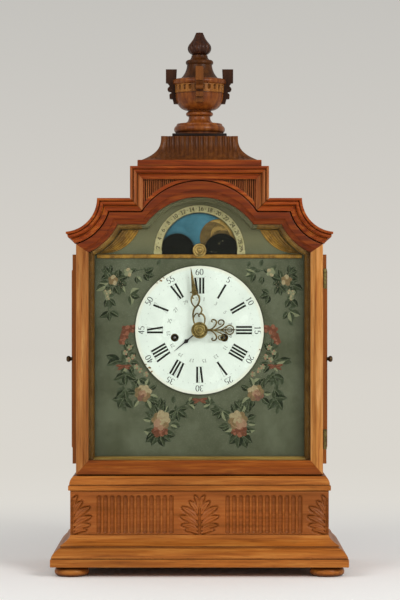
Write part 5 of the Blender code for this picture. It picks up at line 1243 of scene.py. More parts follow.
@dataclass
class Cornice:
    """Moulding over the shoulders and round the pediment block, with the reeded spandrels over the arch."""

    line: RoofLine
    width: float = 15.0
    least_reach: float = 2.0
    mitre_gap: float = 0.3
    spandrel_front: float = -70.0
    reed_pitch: float = 2.3
    strip_width: float = 4.2
    spandrel_grid: tuple[int, int] = (620, 26)

    def profile(self) -> list[Point2]:
        """Return inset and reach of the moulding: fillet, quirk, ovolo, quirk and cove."""
        run = [(0.0, 11.0), (0.35, 11.5), (1.2, 11.5), (2.5, 11.4), (3.0, 10.9), (3.3, 9.4), (3.7, 8.8),
               (4.1, 9.2)]
        run += [(4.4 + 3.7 * share, 6.4 + 3.3 * math.sqrt(1 - share * share))
                for share in spread(0.0, 1.0, 8)]
        run += [(8.4, 5.2), (8.9, 4.9), (9.2, 5.3)]
        run += [(9.5 + 4.1 * share, 2.7 + 2.9 * (1 - share) ** 2) for share in spread(0.0, 1.0, 8)]
        return run + [(13.9, 2.6), (14.2, self.least_reach), (self.width, self.least_reach)]

    def section(self, place: Callable[[float, float], Point2]) -> list[Point3]:
        """Draw one closed section of the moulding.

        Args:
            place: Function of inset and reach that gives x and z.

        Returns:
            The section.
        """
        run = self.profile()
        points = []
        for step, reach in run:
            x, z = self.line.clear_of_door(*place(step, reach))
            points.append((x, self.line.case_front - reach, z))
        for step, reach in (run[-1], run[0]):
            x, z = self.line.clear_of_door(*place(step, reach))
            points.append((x, self.line.carcase_front - 0.3, z))
        return points

    def build(self) -> None:
        """Build both shoulders and the block, and dress the solids behind them."""
        self.shoulders()
        self.block()
        for node in ("roof_left", "roof_right", "block_body"):
            dress_node(node, WOOD_SIDE_LEVEL, 0.4)

    def flat_point(self, step: float, reach: float, share: float) -> Point2:
        """Find a point between the end of the cove and the mitre at the block.

        Args:
            step: Distance in from the outer line.
            reach: How far the moulding stands out there.
            share: 0 at the cove, 1 at the mitre.

        Returns:
            The place as x and z.
        """
        start = self.line.cove_point(step, reach, 1.0)
        mitre = (self.line.half_block - step + self.mitre_gap, self.line.shoulder - step)
        return start[0] + (mitre[0] - start[0]) * share, start[1] + (mitre[1] - start[1]) * share

    def shoulders(self) -> None:
        """Run the moulding over each concave shoulder to its mitre at the block."""
        sections = []
        for share in spread(0.0, 1.0, 26):
            sections.append(self.section(lambda step, reach: self.line.cove_point(step, reach, share)))
        for share in (0.06, 0.3, 0.6, 0.94, 1.0):
            sections.append(self.section(lambda step, reach: self.flat_point(step, reach, share)))
        shape = loft(sections)
        place_piece("cornice_moulding_right", shape, [WOOD_CORNICE], "case", ["cornice_right"], 30)
        place_piece("cornice_moulding_left", shape.mirrored(), [WOOD_CORNICE], "case", ["cornice_left"], 30)

    def block(self) -> None:
        """Run the moulding up and over the block, and set the reeded panel in it."""
        line = self.line
        foot = line.shoulder + self.mitre_gap
        corners = ((-1, foot), (-1, line.block_top), (1, line.block_top), (1, foot))
        sections = []
        marks = []
        for (sign, height), (next_sign, next_height) in zip(corners, corners[1:]):
            for share in (0.0, 0.05, 0.5, 0.95):
                side = sign + (next_sign - sign) * share
                level = height + (next_height - height) * share
                sections.append(self.section(lambda step, _: (side * (line.half_block - step), level - step)))
                marks += [0 if sign != next_sign else 1] * len(sections[0])
        sections.append(self.section(lambda step, _: (line.half_block - step, foot - step)))
        shape = loft(sections)
        shape.marks[:len(marks)] = marks
        shape.join(self.spandrels())
        place_piece("pediment_block_moulding", shape, [WOOD_CORNICE, WOOD_BLOCK_STILE, WOOD_PEDESTAL], "case",
                    ["block_front"], 30)

    def spandrels(self) -> Shape:
        """Carve the reeded panel over the arch, with the plain strip along the arch.

        Returns:
            The panel, with the reeds' grooves, the reeds and the strip in three finishes.
        """
        line = self.line
        half = line.half_block - self.width + 0.6
        top = line.block_top - self.width + 0.6
        columns, rows = self.spandrel_grid
        grid = []
        for share in np.linspace(0.0, 1.0, rows):
            row = []
            for x in np.linspace(-half, half, columns):
                low = line.arch_z + math.sqrt(line.arch_radius ** 2 - x ** 2)
                z = low + (top - low) * share
                clear = math.hypot(x, z - line.arch_z) - line.arch_radius
                border = min(top - z - 1.0, half - abs(x) - 2.0)
                if clear < self.strip_width:
                    depth = 0.25 - 0.25 * math.sin(math.pi * clamped(clear / self.strip_width))
                elif border < 0.0:
                    depth = 0.3
                else:
                    depth = 0.5 + 1.9 * (1.0 - abs(math.sin(math.pi * x / self.reed_pitch))) ** 1.3
                row.append((float(x), self.spandrel_front + depth, float(z)))
            grid.append(row)
        shape = relief(grid, line.carcase_front - 1.3)
        # Painted shade: the grooves between the reeds take the darker pedestal wood.
        for k, face in enumerate(shape.faces):
            depth = max(shape.points[index][1] for index in face[:4]) - self.spandrel_front
            shape.marks[k] = 2 if 1.15 < depth < 3.0 else 1 if depth > 0.45 else 0
        return shape


@dataclass
class Pedestal:
    """Concave fluted pedestal on the block and the dark square board under the urn."""

    foot: float = 486.4
    fillet: float = 7.5
    curve: float = 30.3
    half_foot: float = 73.8
    ledge: float = 4.4
    half_top: float = 46.2
    deeper: float = 7.85
    middle: float = 7.75
    flute_pitch: float = 5.8
    flute_depth: float = 2.3
    flute_share: float = 0.41
    board_foot: float = 524.5
    board_top: float = 529.1
    half_board: float = 33.0

    def build(self) -> None:
        """Build the pedestal and the board."""
        foot, wide = self.foot, self.half_foot
        bottom = foot + self.fillet
        levels = [(wide - 0.5, foot), (wide, foot + 0.5)]
        levels += [(wide, foot + z) for z in (2.0, 4.2, 6.0, 6.9)]
        levels += [(wide - 0.6, bottom), (wide - 4.0, bottom)]
        rings = [self.level(half, height, 0.0) for half, height in levels]
        fillet_faces = (len(rings) - 1) * len(rings[0])
        for rise in [0.0, 0.02, 0.05, 0.09, *spread(0.14, 0.93, 20), 0.96, 0.985, 1.0]:
            half = self.half_top + (wide - self.ledge - self.half_top) * (1 - rise) ** 2.9
            rings.append(self.level(half, bottom + rise * self.curve, clamped((rise - 0.01) / 0.06)))
        shape = loft(rings)
        shape.marks[:fillet_faces] = [1] * fillet_faces
        place_piece("pedestal_fluted", shape, [WOOD_PEDESTAL, WOOD_CORNICE], "case", ["pedestal"], 40)
        half = self.half_board
        board = box_between((-half, self.middle - half, self.board_foot),
                            (half, self.middle + half, self.board_top), 0.6)
        place_piece("urn_square_board", board, [WOOD_EBONISED], "case", ["urn_plinth"])

    def groove(self, place: float, half: float, cut: float) -> float:
        """Find the depth of the flutes at a place along a side.

        Args:
            place: Distance from the middle of the side.
            half: Half the side's length.
            cut: Share of the flutes' depth.

        Returns:
            The depth.
        """
        fade = clamped((half - 3.5 - abs(place)) / 5.0)
        aside = abs((place / self.flute_pitch) % 1.0 - 0.5) / self.flute_share
        return self.flute_depth * math.sqrt(max(0.0, 1.0 - aside * aside)) * fade * cut

    def level(self, half: float, height: float, cut: float) -> list[Point3]:
        """Draw one level outline of the pedestal.

        Args:
            half: Half its width.
            height: Its height.
            cut: Share of the flutes' depth.

        Returns:
            The outline.
        """
        reach, middle = half + self.deeper, self.middle
        there, home = spread(-1.0, 1.0, 221)[:-1], spread(1.0, -1.0, 221)[:-1]
        ring = [(s * half, middle - reach + self.groove(s * half, half, cut), height) for s in there]
        ring += [(half - self.groove(s * reach, reach, cut), middle + s * reach, height) for s in there]
        ring += [(s * half, middle + reach - self.groove(s * half, half, cut), height) for s in home]
        ring += [(-half + self.groove(s * reach, reach, cut), middle + s * reach, height) for s in home]
        return ring


@dataclass
class Urn:
    """Turned urn with four square handles, its lid and the carved bud on top."""

    middle: Point2 = (0.0, 7.75)
    handle_width: float = 9.5
    band: Point2 = (580.4, 590.7)
    slots: int = 24
    slot_z: Point2 = (583.2, 589.4)
    slot_half: float = 1.45
    slot_cut: float = 0.075
    band_radius: float = 30.3
    bud_foot: float = 627.5
    bud_height: float = 27.2
    lobes: int = 9
    scroll: Point2 = (36.0, 585.2)
    eye: Point2 = (31.6, 597.4)

    def build(self) -> None:
        """Turn and carve the urn."""
        bowl = lathe(self.bowl_profile(), self.middle, 288, self.slotted)
        for k, face in enumerate(bowl.faces):
            heights = [bowl.points[index][2] for index in face]
            bowl.marks[k] = 2 if min(heights) > self.band[0] and max(heights) < self.band[1] else 0
        # Painted shade: the side handles take a near black copy of the urn's wood; the front and back ones take
        # the pedestal wood.
        for quarter in range(4):
            bowl.join(self.handle(quarter), 3 if quarter % 2 else 1)
        place_piece("urn_turned_bowl", bowl, [WOOD_URN, WOOD_HANDLE_SHADED, WOOD_BAND, WOOD_PEDESTAL], "case",
                    ["urn_bowl"], 32)
        lid = contour([(4.0, 597.7, 0.0), (23.4, 597.7, 0.0), (23.4, 598.4, 0.0), (15.3, 615.2, -0.2),
                       (14.8, 621.0, 0.65), (12.3, 621.6, 0.0), (9.9, 626.2, -0.25), (9.7, 626.9, 0.0),
                       (8.8, 627.2, 0.0), (3.0, 627.2, 0.0)])
        place_piece("urn_turned_lid", lathe(lid, self.middle, 96), [WOOD_LID], "case", ["urn_lid"], 32)
        bud = contour([(2.0, self.bud_foot, 0.0), (8.0, self.bud_foot, 0.0), (13.0, 640.4, 0.55),
                       (8.2, 646.2, 0.0), (4.8, 653.9, -0.06), (4.5, 654.6, 0.0), (2.4, 653.0, 0.0),
                       (0.6, 652.4, 0.0)], 10)
        place_piece("urn_carved_bud", lathe(bud, self.middle, 180, self.lobed), [WOOD_BUD], "case",
                    ["urn_finial"], 40)

    def bowl_profile(self) -> list[Point2]:
        """Draw the bowl from its foot to its rim.

        Returns:
            Radius and height of each point.
        """
        line = contour([(4.0, 529.4, 0.0), (28.2, 529.4, 0.0), (28.4, 531.4, 0.0), (28.3, 540.6, 0.62),
                        (28.0, 541.6, 0.0), (27.2, 542.9, 0.2), (18.6, 543.5, 0.0), (13.2, 550.6, -0.35),
                        (13.8, 552.3, -0.2), (14.9, 557.3, 0.9), (14.1, 558.5, -0.2), (14.6, 559.2, 0.0)])
        for angle in spread(14.0, 88.0, 14):
            turn = math.radians(angle)
            line.append((14.0 + 15.7 * math.sin(turn) ** 0.9, 579.0 - 19.6 * math.cos(turn)))
        line += [(29.9, 579.2), (29.3, 579.6), (29.3, 580.2), (30.1, 580.5)]
        line += [(30.2 + 0.02 * k, 581.0 + 0.6 * k) for k in range(15)]
        return line + contour([(30.4, 590.0, 0.0), (30.4, 590.6, 0.0), (30.4, 597.4, 0.76),
                               (26.0, 597.4, 0.0), (4.0, 597.4, 0.0)])

    def slotted(self, angle: float, height: float) -> float:
        """Cut the slots in the band.

        Args:
            angle: Angle round the urn in radians.
            height: Height on the clock.

        Returns:
            Share of the radius that is left.
        """
        low, high = self.slot_z
        if not low < height < high:
            return 1.0
        pitch = math.tau / self.slots
        aside = abs((angle / pitch) % 1.0 - 0.5) * pitch * self.band_radius
        ends = min(1.0, (height - low) / 1.2, (high - height) / 0.6)
        return 1.0 - self.slot_cut * ends * math.sqrt(max(0.0, 1.0 - (aside / self.slot_half) ** 2))

    def lobed(self, angle: float, height: float) -> float:
        """Carve the bud into twisted lobes, with a notched tip.

        Args:
            angle: Angle round the bud in radians.
            height: Height on the clock.

        Returns:
            Share of the radius that is left.
        """
        rise = (height - self.bud_foot) / self.bud_height
        strength = 0.14 * math.sin(math.pi * clamped(rise * 1.15, 0.05)) ** 0.7
        wave = abs(math.sin((angle + 0.5 * rise) * self.lobes / 2))
        top = 0.22 * max(0.0, rise - 0.9) / 0.1 * (1 - abs(math.sin(angle * 3)))
        return 1.0 - strength * (1 - wave ** 0.6) - top

    def handle(self, quarter: int) -> Shape:
        """Cut one handle: square block, scroll and stepped foot.

        Args:
            quarter: Number of quarter turns from the right.

        Returns:
            The handle in place.
        """
        outline = [(27.8, 609.6), (41.2, 609.6), (41.2, 593.0), (38.9, 592.6), (37.9, 591.2), (36.6, 589.6)]
        outline += arc(self.scroll, 3.2, 66.0, -108.0, 9)
        outline += [(34.6, 580.6), (36.6, 579.4), (36.9, 577.6), (36.6, 573.6), (33.0, 573.2), (32.4, 571.0),
                    (31.6, 567.4), (25.6, 567.2), (26.0, 572.0), (28.4, 577.0), (28.6, 592.4)]
        half = self.handle_width / 2
        shape = eased_plate(outline, -half, half, 0.5)
        eye = [(0.3, -half - 0.1), (2.4, -half - 0.1), (2.9, -half + 0.3), (2.9, half - 0.3),
               (2.4, half + 0.1), (0.3, half + 0.1)]
        shape.join(disc_turning(eye, self.eye, 20))
        ring = arc(self.scroll, 2.0, 0.0, 350.0, 20)
        for depth in (-half - 0.05, half + 0.05):
            shape.join(wire(ring, [0.4] * len(ring), depth, 0.35))
        turn = math.pi / 2 * quarter
        cos, sin = math.cos(turn), math.sin(turn)
        x, y = self.middle
        return shape.mapped(lambda p: (x + p[0] * cos - p[1] * sin, y + p[0] * sin + p[1] * cos, p[2]))


# Doors and carcase


@dataclass
class FrontDoor:
    """Glazed break-arch door frame with a bevelled inner edge, its pane and its hinge knuckles."""

    line: RoofLine
    half: float = 147.0
    foot: float = 119.4
    step: float = 16.2
    arch_radius: float = 82.0
    opening_half: float = 132.5
    opening_foot: float = 135.8
    opening_step: float = 30.5
    opening_arch_z: float = 370.2
    opening_radius: float = 80.0
    front: float = -71.0
    back: float = -53.0
    bevel_share: float = 0.58
    bevel_depth: float = 5.0
    hinge: Point2 = (149.5, -69.46)
    knuckle_radius: float = 2.2
    knuckle_parts: int = 5

    def build(self) -> None:
        """Build the frame, dress the pane and turn the knuckles."""
        self.frame()
        dress_node("front_door_glass", GLASS_PANE)
        for name in ("lower", "upper"):
            node = f"front_door_hinge_{name}"
            low, high = solid_box(node)
            place_piece(f"knuckle_{name}", self.knuckle(low[2], high[2]), [BRASS_HAND], "case", [node])

    def frame(self) -> None:
        """Run the frame round the opening, with mitred grain and a bevel to the glass."""
        outer = self.line.opening(self.half, self.foot, self.step, self.line.arch_z, self.arch_radius)
        inner = self.line.opening(self.opening_half, self.opening_foot, self.opening_step,
                                  self.opening_arch_z, self.opening_radius)
        front, bevel = self.front, self.bevel_share
        runs = [(0.0, self.back), (0.0, front + 0.7), (0.012, front + 0.2), (0.045, front), (0.14, front),
                (0.3, front), (0.48, front), (bevel - 0.03, front + 0.05), (bevel, front + 0.5),
                (bevel + 0.06, front + 1.5), (0.75, front + 2.9), (0.88, front + 4.2),
                (0.97, front + self.bevel_depth), (1.0, front + self.bevel_depth + 0.5), (1.0, front + 8.0),
                (1.0, self.back)]
        marks = []
        for (x0, z0), (x1, z1) in zip(outer, outer[1:] + outer[:1]):
            if abs(z1 - z0) > 4 * abs(x1 - x0) and abs(x0) > self.half - 1:
                # The right stile takes the lighter copy of the stile wood: painted light.
                marks.append(3 if x0 > 0 else 0)
            else:
                marks.append(1 if max(z0, z1) < self.foot + 1 else 2)
        place_piece("door_frame_bevelled", framed(outer, inner, runs).striped(marks),
                    [WOOD_STILE, WOOD_RAIL, WOOD_ARCH, WOOD_STILE_LIT], "front_door",
                    ["front_door_frame"], 25)

    def knuckle(self, low: float, high: float) -> Shape:
        """Turn one hinge barrel with its joints.

        Args:
            low: Its lower end.
            high: Its upper end.

        Returns:
            The barrel in place.
        """
        full, small, tiny = self.knuckle_radius, self.knuckle_radius * 0.78, self.knuckle_radius * 0.7
        profile = [(0.4, low), (tiny, low), (full, low + 0.5)]
        for k in range(1, self.knuckle_parts):
            z = low + (high - low) * k / self.knuckle_parts
            profile += [(full, z - 0.35), (small, z - 0.12), (small, z + 0.12), (full, z + 0.35)]
        profile += [(full, high - 0.5), (tiny, high), (0.4, high)]
        return lathe(profile, self.hinge, 24)


@dataclass
class Carcase:
    """Sides, back, side doors with bronze knobs and applied mouldings, back door and seatboard."""

    face: float = 152.3
    door_y: Point2 = (-49.6, 83.0)
    door_z: Point2 = (130.9, 381.7)
    side_gap: float = 18.0
    side_size: Point2 = (6.0, 2.2)
    back_gap: float = 16.0
    back_hinge_gap: float = 36.0
    back_size: Point2 = (5.0, 1.4)
    back_limit: float = 99.6
    wedge_height: float = 5.6
    moulding: tuple[Point2, ...] = (
        (0.0, 0.0), (0.0, 0.45), (0.08, 0.7), (0.22, 0.95), (0.36, 1.0), (0.5, 0.92), (0.6, 0.7), (0.64, 0.5),
        (0.7, 0.5), (0.82, 0.36), (0.94, 0.2), (1.0, 0.12), (1.0, 0.0))

    def build(self) -> None:
        """Dress the solids, add the mouldings and turn the knobs."""
        for node in ("case_side_left", "case_side_right", "side_door_left", "side_door_right", "back_door",
                     "back_frame"):
            dress_node(node, WOOD_SIDE, 0.5)
        dress_node("seatboard", WOOD_BARE, 0.5)
        for side, sign in (("left", -1), ("right", 1)):
            door = f"side_door_{side}"
            place_piece(f"side_door_moulding_{side}", self.side_moulding(sign), [WOOD_SIDE, WOOD_SIDE_LEVEL],
                        door, (), 25)
            place_piece(f"roof_corner_block_{side}", self.corner_block(side, sign), [WOOD_SIDE_LEVEL], "case")
            place_piece(f"side_knob_turned_{side}", self.knob(side, sign), [BRONZE], door,
                        [f"side_knob_{side}"])
        place_piece("back_door_moulding", self.back_moulding(), [WOOD_SIDE, WOOD_RAIL], "back_door", (), 25)

    def frame_run(self, low: Point2, high: Point2, size: Point2) -> Shape:
        """Run a small moulding round a rectangle.

        Args:
            low: Lower corner of its outer edge.
            high: Upper corner of its outer edge.
            size: Width of the moulding and how far it stands up.

        Returns:
            The ring, with x and z in its plane and its height towards -y.
        """
        across, up = 7, 9
        rings = []
        for share, rise in self.moulding:
            step = share * size[0]
            x0, z0, x1, z1 = low[0] + step, low[1] + step, high[0] - step, high[1] - step
            ring = [(x, z0) for x in spread(x0, x1, across + 1)[:-1]]
            ring += [(x1, z) for z in spread(z0, z1, up + 1)[:-1]]
            ring += [(x, z1) for x in spread(x1, x0, across + 1)[:-1]]
            ring += [(x0, z) for z in spread(z1, z0, up + 1)[:-1]]
            rings.append([(x, -rise * size[1], z) for x, z in ring])
        return loft(rings, round_trip=True).striped(([1] * across + [0] * up) * 2)

    def side_moulding(self, sign: int) -> Shape:
        """Return the applied moulding of a side door.

        Args:
            sign: -1 on the left, 1 on the right.

        Returns:
            The ring in place.
        """
        gap = self.side_gap
        ring = self.frame_run((self.door_y[0] + gap, self.door_z[0] + gap),
                              (self.door_y[1] - gap, self.door_z[1] - gap), self.side_size)
        return ring.mapped(lambda p: (sign * (self.face + 0.02 - p[1]), p[0], p[2]))

    def back_moulding(self) -> Shape:
        """Return the low moulding round the panel of the back door.

        Returns:
            The ring in place.
        """
        low, high = solid_box("back_door")
        face = solid_box("back_frame")[1][1]
        gap = self.back_gap
        ring = self.frame_run((low[0] + gap, low[2] + gap), (high[0] - self.back_hinge_gap, high[2] - gap),
                              self.back_size)
        return ring.mapped(lambda p: (p[0], min(face + 0.02 - p[1], self.back_limit), p[2]))

    def corner_block(self, side: str, sign: int) -> Shape:
        """Cut the wedge glued between the top of a side and the hollow shoulder over it.

        Args:
            side: left or right.
            sign: -1 on the left, 1 on the right.

        Returns:
            The wedge in place.
        """
        low, high = solid_box(f"case_side_{side}")
        near, far = sorted((abs(low[0]), abs(high[0])))
        top = high[2] - 0.3
        inner = sign * (near - 0.2)
        outline = [(inner, top), (sign * (far - 0.5), top), (inner, top + self.wedge_height)]
        return prism(outline, low[1] + 0.5, high[1] - 0.4)

    def knob(self, side: str, sign: int) -> Shape:
        """Turn one bronze knob with its rose.

        Args:
            side: left or right.
            sign: -1 on the left, 1 on the right.

        Returns:
            The knob in place.
        """
        low, high = solid_box(f"side_knob_{side}")
        y, z = (low[1] + high[1]) / 2, (low[2] + high[2]) / 2
        near, far = sorted((abs(low[0]), abs(high[0])))
        radius = (high[2] - low[2]) / 2
        length = far - near
        run = contour([(0.3, 0.0, 0.0), (0.8 * radius, 0.0, 0.0), (0.84 * radius, 0.05 * length, 0.0),
                       (0.4 * radius, 0.24 * length, -0.3), (0.52 * radius, 0.38 * length, -0.1),
                       (0.2 * radius, length, 0.75)], 10)
        shape = lathe([(reach, near + height) for reach, height in run], steps=32)
        return shape.mapped(lambda p: (sign * p[2], y + p[0], z + p[1]))


# Dial


@dataclass
class DialPlate:
    """Slip round the dial, painted iron plate, gilded strip and the two gilded fans."""

    line: RoofLine
    slip_front: float = -52.3
    slip_back: float = -44.0
    slip_foot: float = 118.2
    arch_foot: float = 376.0
    fan_near: float = 74.0
    gilt_front: float = -45.6
    strip_half: float = 123.0
    strip_z: Point2 = (377.3, 382.1)
    fan_start: float = 121.0
    fan_end: float = 72.5
    fan_radius: float = 76.6
    fan_top: float = 411.5
    fan_sag: float = 9.0
    fan_ribs: float = 5.0
    bead_share: float = 0.16
    dull_share: float = 0.55

    def build(self) -> None:
        """Build the slip and the gilded pieces, and paint the plate."""
        dress_node("dial_plate", PLATE_PAINT)
        self.slip()
        front, back = self.gilt_front, self.slip_back
        z0, z1 = self.strip_z
        section = [(back, z0), (-44.6, z0), (-45.2, z0 + 0.5), (front, z0 + 1.6), (front, z1 - 1.6),
                   (-45.2, z1 - 0.5), (-44.6, z1), (back, z1)]
        bar = loft([[(x, y, z) for y, z in section] for x in spread(-self.strip_half, self.strip_half, 30)])
        place_piece("gilded_strip_rounded", bar, [GILDING], "case", ["gilt_strip"], 50)
        fan = self.fan()
        for side, shape in (("right", fan), ("left", fan.mirrored())):
            place_piece(f"gilded_fan_{side}", shape, [GILDING, GILDING_SHADED], "case",
                        [f"fan_spandrel_{side}"], 50)

    def slip(self) -> None:
        """Run the slip between the door and the plate, with its foot in gold wash."""
        outer = self.line.opening(half=134.7, foot=self.slip_foot, step=15.3, arch_z=self.line.arch_z,
                                  radius=80.8)
        inner = self.line.opening(half=126.0, foot=139.4, step=36.0, arch_z=370.2, radius=74.5)
        front, back = self.slip_front, self.slip_back
        runs = [(0.0, back), (0.0, front), (0.25, front), (0.5, front), (0.66, -52.0), (0.8, -51.2),
                (0.9, -49.8), (0.96, -48.0), (0.985, -46.0), (1.0, back)]
        # Painted shade: beside the fans the slip takes the darker olive gold, as on the fans.
        marks = []
        for (x0, z0), (x1, z1) in zip(outer, outer[1:] + outer[:1]):
            if max(z0, z1) < self.slip_foot + 0.8:
                marks.append(1)
            elif min(z0, z1) <= self.arch_foot:
                marks.append(0)
            else:
                marks.append(3 if min(abs(x0), abs(x1)) > self.fan_near else 2)
        place_piece("dial_slip", framed(outer, inner, runs).striped(marks),
                    [SLIP_OLIVE, WOOD_SLIP_FOOT, PLATE_PAINT, GILDING_SHADED], "case", ["dial_surround"], 30)

    def fan(self) -> Shape:
        """Carve the right fan: ribs from the outer tip to the flat, with a bead along the lower edge.

        Returns:
            The fan in place.
        """
        cove, top = self.line.cove_x, self.line.shoulder
        tip_z = top - math.sqrt(self.fan_radius ** 2 - (cove - self.fan_start) ** 2)
        start = math.degrees(math.acos((cove - self.fan_start) / self.fan_radius)) + 180
        stop = math.degrees(math.asin((top - self.fan_top) / self.fan_radius)) + 180
        steps, ribs, bead = 30, 46, self.bead_share
        upper = arc((cove, top), self.fan_radius, start, stop, steps)
        chord = (self.fan_start - self.fan_end, tip_z - self.fan_top)
        length = math.hypot(*chord)
        normal = (chord[1] / length, -chord[0] / length)
        grid = []
        for r in range(1, steps + 1):
            share = r / steps
            sag = self.fan_sag * 4 * share * (1 - share)
            low = (self.fan_start - chord[0] * share + normal[0] * sag,
                   tip_z - chord[1] * share + normal[1] * sag)
            row = []
            for c in range(ribs + 1):
                across = c / ribs
                if across < bead:
                    rise = math.sin(math.pi * across / bead) ** 0.6
                else:
                    rib = abs(math.sin(math.pi * self.fan_ribs * (across - bead) / (1 - bead)))
                    rise = 0.25 + 0.6 * rib ** 0.8
                rise *= min(1.0, share * 6, (1 - share) * 14 + 0.25)
                row.append((low[0] + (upper[r][0] - low[0]) * across, self.slip_back - 0.15 - 1.4 * rise,
                            low[1] + (upper[r][1] - low[1]) * across))
            grid.append(row)
        shape = relief(grid, self.slip_back)
        # Painted shade: the ribs towards the door frame take the darker olive gold, as the frame shades them.
        for k, face in enumerate(shape.faces):
            dull = min(index % (ribs + 1) for index in face) > ribs * self.dull_share
            shape.marks[k] = 1 if dull and len(face) == 4 else 0
        return shape


class Digit:
    """Strokes of the figures on the dial, each in a box 0.6 wide and 1 high."""

    @staticmethod
    def bow(centre: Point2, size: Point2, start: float, stop: float) -> list[Point2]:
        """Draw part of an ellipse.

        Args:
            centre: Its centre.
            size: Half its width and half its height.
            start: First angle in degrees, from the right.
            stop: Last angle.

        Returns:
            Its points.
        """
        steps = max(6, int(abs(stop - start) / 24))
        angles = [math.radians(value) for value in spread(start, stop, steps + 1)]
        return [(centre[0] + size[0] * math.cos(a), centre[1] + size[1] * math.sin(a)) for a in angles]

    @classmethod
    def strokes(cls, mark: str) -> list[list[Point2]]:
        """Return the strokes of one figure.

        Args:
            mark: The figure, or h for one half.

        Returns:
            Lines from the figure's lower left corner.
        """
        bow = cls.bow
        if mark == "1":
            return [[(0.3, 0.0), (0.3, 0.5), (0.3, 1.0)], [(0.3, 1.0), (0.2, 0.88), (0.1, 0.82)],
                    [(0.12, 0.0), (0.3, 0.01), (0.48, 0.0)]]
        if mark == "2":
            return [bow((0.3, 0.72), (0.25, 0.28), 170, -35) + [(0.28, 0.28), (0.05, 0.03)],
                    [(0.05, 0.03), (0.3, 0.05), (0.56, 0.03)]]
        if mark == "3":
            return [bow((0.28, 0.75), (0.22, 0.25), 150, -90), bow((0.28, 0.26), (0.27, 0.26), 90, -150)]
        if mark == "4":
            return [[(0.42, 0.0), (0.42, 0.5), (0.42, 1.0)], [(0.42, 1.0), (0.22, 0.65), (0.03, 0.3)],
                    [(0.03, 0.3), (0.3, 0.3), (0.58, 0.3)]]
        if mark == "5":
            return [[(0.52, 0.98), (0.3, 0.98), (0.15, 0.98)], [(0.15, 0.98), (0.13, 0.75), (0.11, 0.54)],
                    bow((0.28, 0.3), (0.26, 0.3), 130, -150)]
        if mark == "6":
            return [bow((0.3, 0.29), (0.26, 0.29), 0, 360), bow((0.55, 0.3), (0.5, 0.68), 110, 180)]
        if mark == "7":
            return [[(0.04, 0.97), (0.3, 0.96), (0.56, 0.97)], [(0.56, 0.97), (0.36, 0.5), (0.24, 0.0)]]
        if mark == "8":
            return [bow((0.3, 0.75), (0.2, 0.25), 0, 360), bow((0.3, 0.26), (0.26, 0.26), 0, 360)]
        if mark == "9":
            return [[(0.6 - x, 1.0 - z) for x, z in line] for line in cls.strokes("6")]
        if mark == "h":
            small = [[(0.3 * x, 0.55 + 0.45 * z) for x, z in line] for line in cls.strokes("1")]
            small += [[(0.34 + 0.36 * x, 0.42 * z) for x, z in line] for line in cls.strokes("2")]
            return small + [[(0.08, 0.42), (0.3, 0.5), (0.52, 0.58)]]
        return [bow((0.3, 0.5), (0.26, 0.5), 0, 360)]

    @classmethod
    def figure(cls, text: str, height: float, centre: Point2, radius: float, degrees: float, pen: Point2,
               ground: float) -> Shape:
        """Write a number round a dial, its foot towards the centre.

        Args:
            text: Figures to write.
            height: Height of the figures.
            centre: Centre of the dial.
            radius: Distance of the figures' middle from it.
            degrees: Clockwise turn from twelve o'clock.
            pen: Broad and fine width of the strokes.
            ground: Depth of the surface that is written on.

        Returns:
            The thin strokes.
        """
        shape = Shape()
        step = 0.7 * height
        start = -0.5 * step * len(text) + 0.05 * height
        up = (math.sin(math.radians(degrees)), math.cos(math.radians(degrees)))
        for k, mark in enumerate(text):
            for line in cls.strokes(mark):
                path = []
                for u, v in line:
                    across, along = start + step * k + u * height, radius + (v - 0.5) * height
                    path.append(turn_on_dial(across, along, degrees, centre))
                shape.join(pen_stroke(path, pen, up, ground - 0.1, ground))
        return shape


def toothed(teeth: int, module: float, phase: float, centre: Point2) -> list[Point2]:
    """Draw the outline of a wheel with pointed teeth.

    Args:
        teeth: Number of teeth.
        module: Pitch diameter over the number of teeth.
        phase: Angle of one tooth in degrees from the right.
        centre: Centre of the wheel as x and z.

    Returns:
        Three points a tooth.
    """
    tip = module * (teeth / 2 + 0.9)
    root = module * (teeth / 2 - 1.2)
    outline = []
    for k in range(teeth):
        for radius, aside in ((root, -0.27), (tip, 0.0), (root, 0.27)):
            angle = math.radians(phase) + math.tau * (k + aside) / teeth
            outline.append((centre[0] + radius * math.cos(angle), centre[1] + radius * math.sin(angle)))
    return outline


def bored(outline: Sequence[Point2], centre: Point2, bore: float, front: float, back: float) -> Shape:
    """Give an outline a thickness and a round hole in its middle.

    Args:
        outline: Outer edge as x and z.
        centre: Centre of the hole.
        bore: Radius of the hole.
        front: Depth of the front face.
        back: Depth of the back face.

    Returns:
        The closed ring.
    """
    hole = []
    for x, z in outline:
        angle = math.atan2(z - centre[1], x - centre[0])
        hole.append((centre[0] + bore * math.cos(angle), centre[1] + bore * math.sin(angle)))
    edges = ((outline, front), (outline, back), (hole, back), (hole, front))
    return loft([[(x, depth, z) for x, z in edge] for edge, depth in edges], round_trip=True)


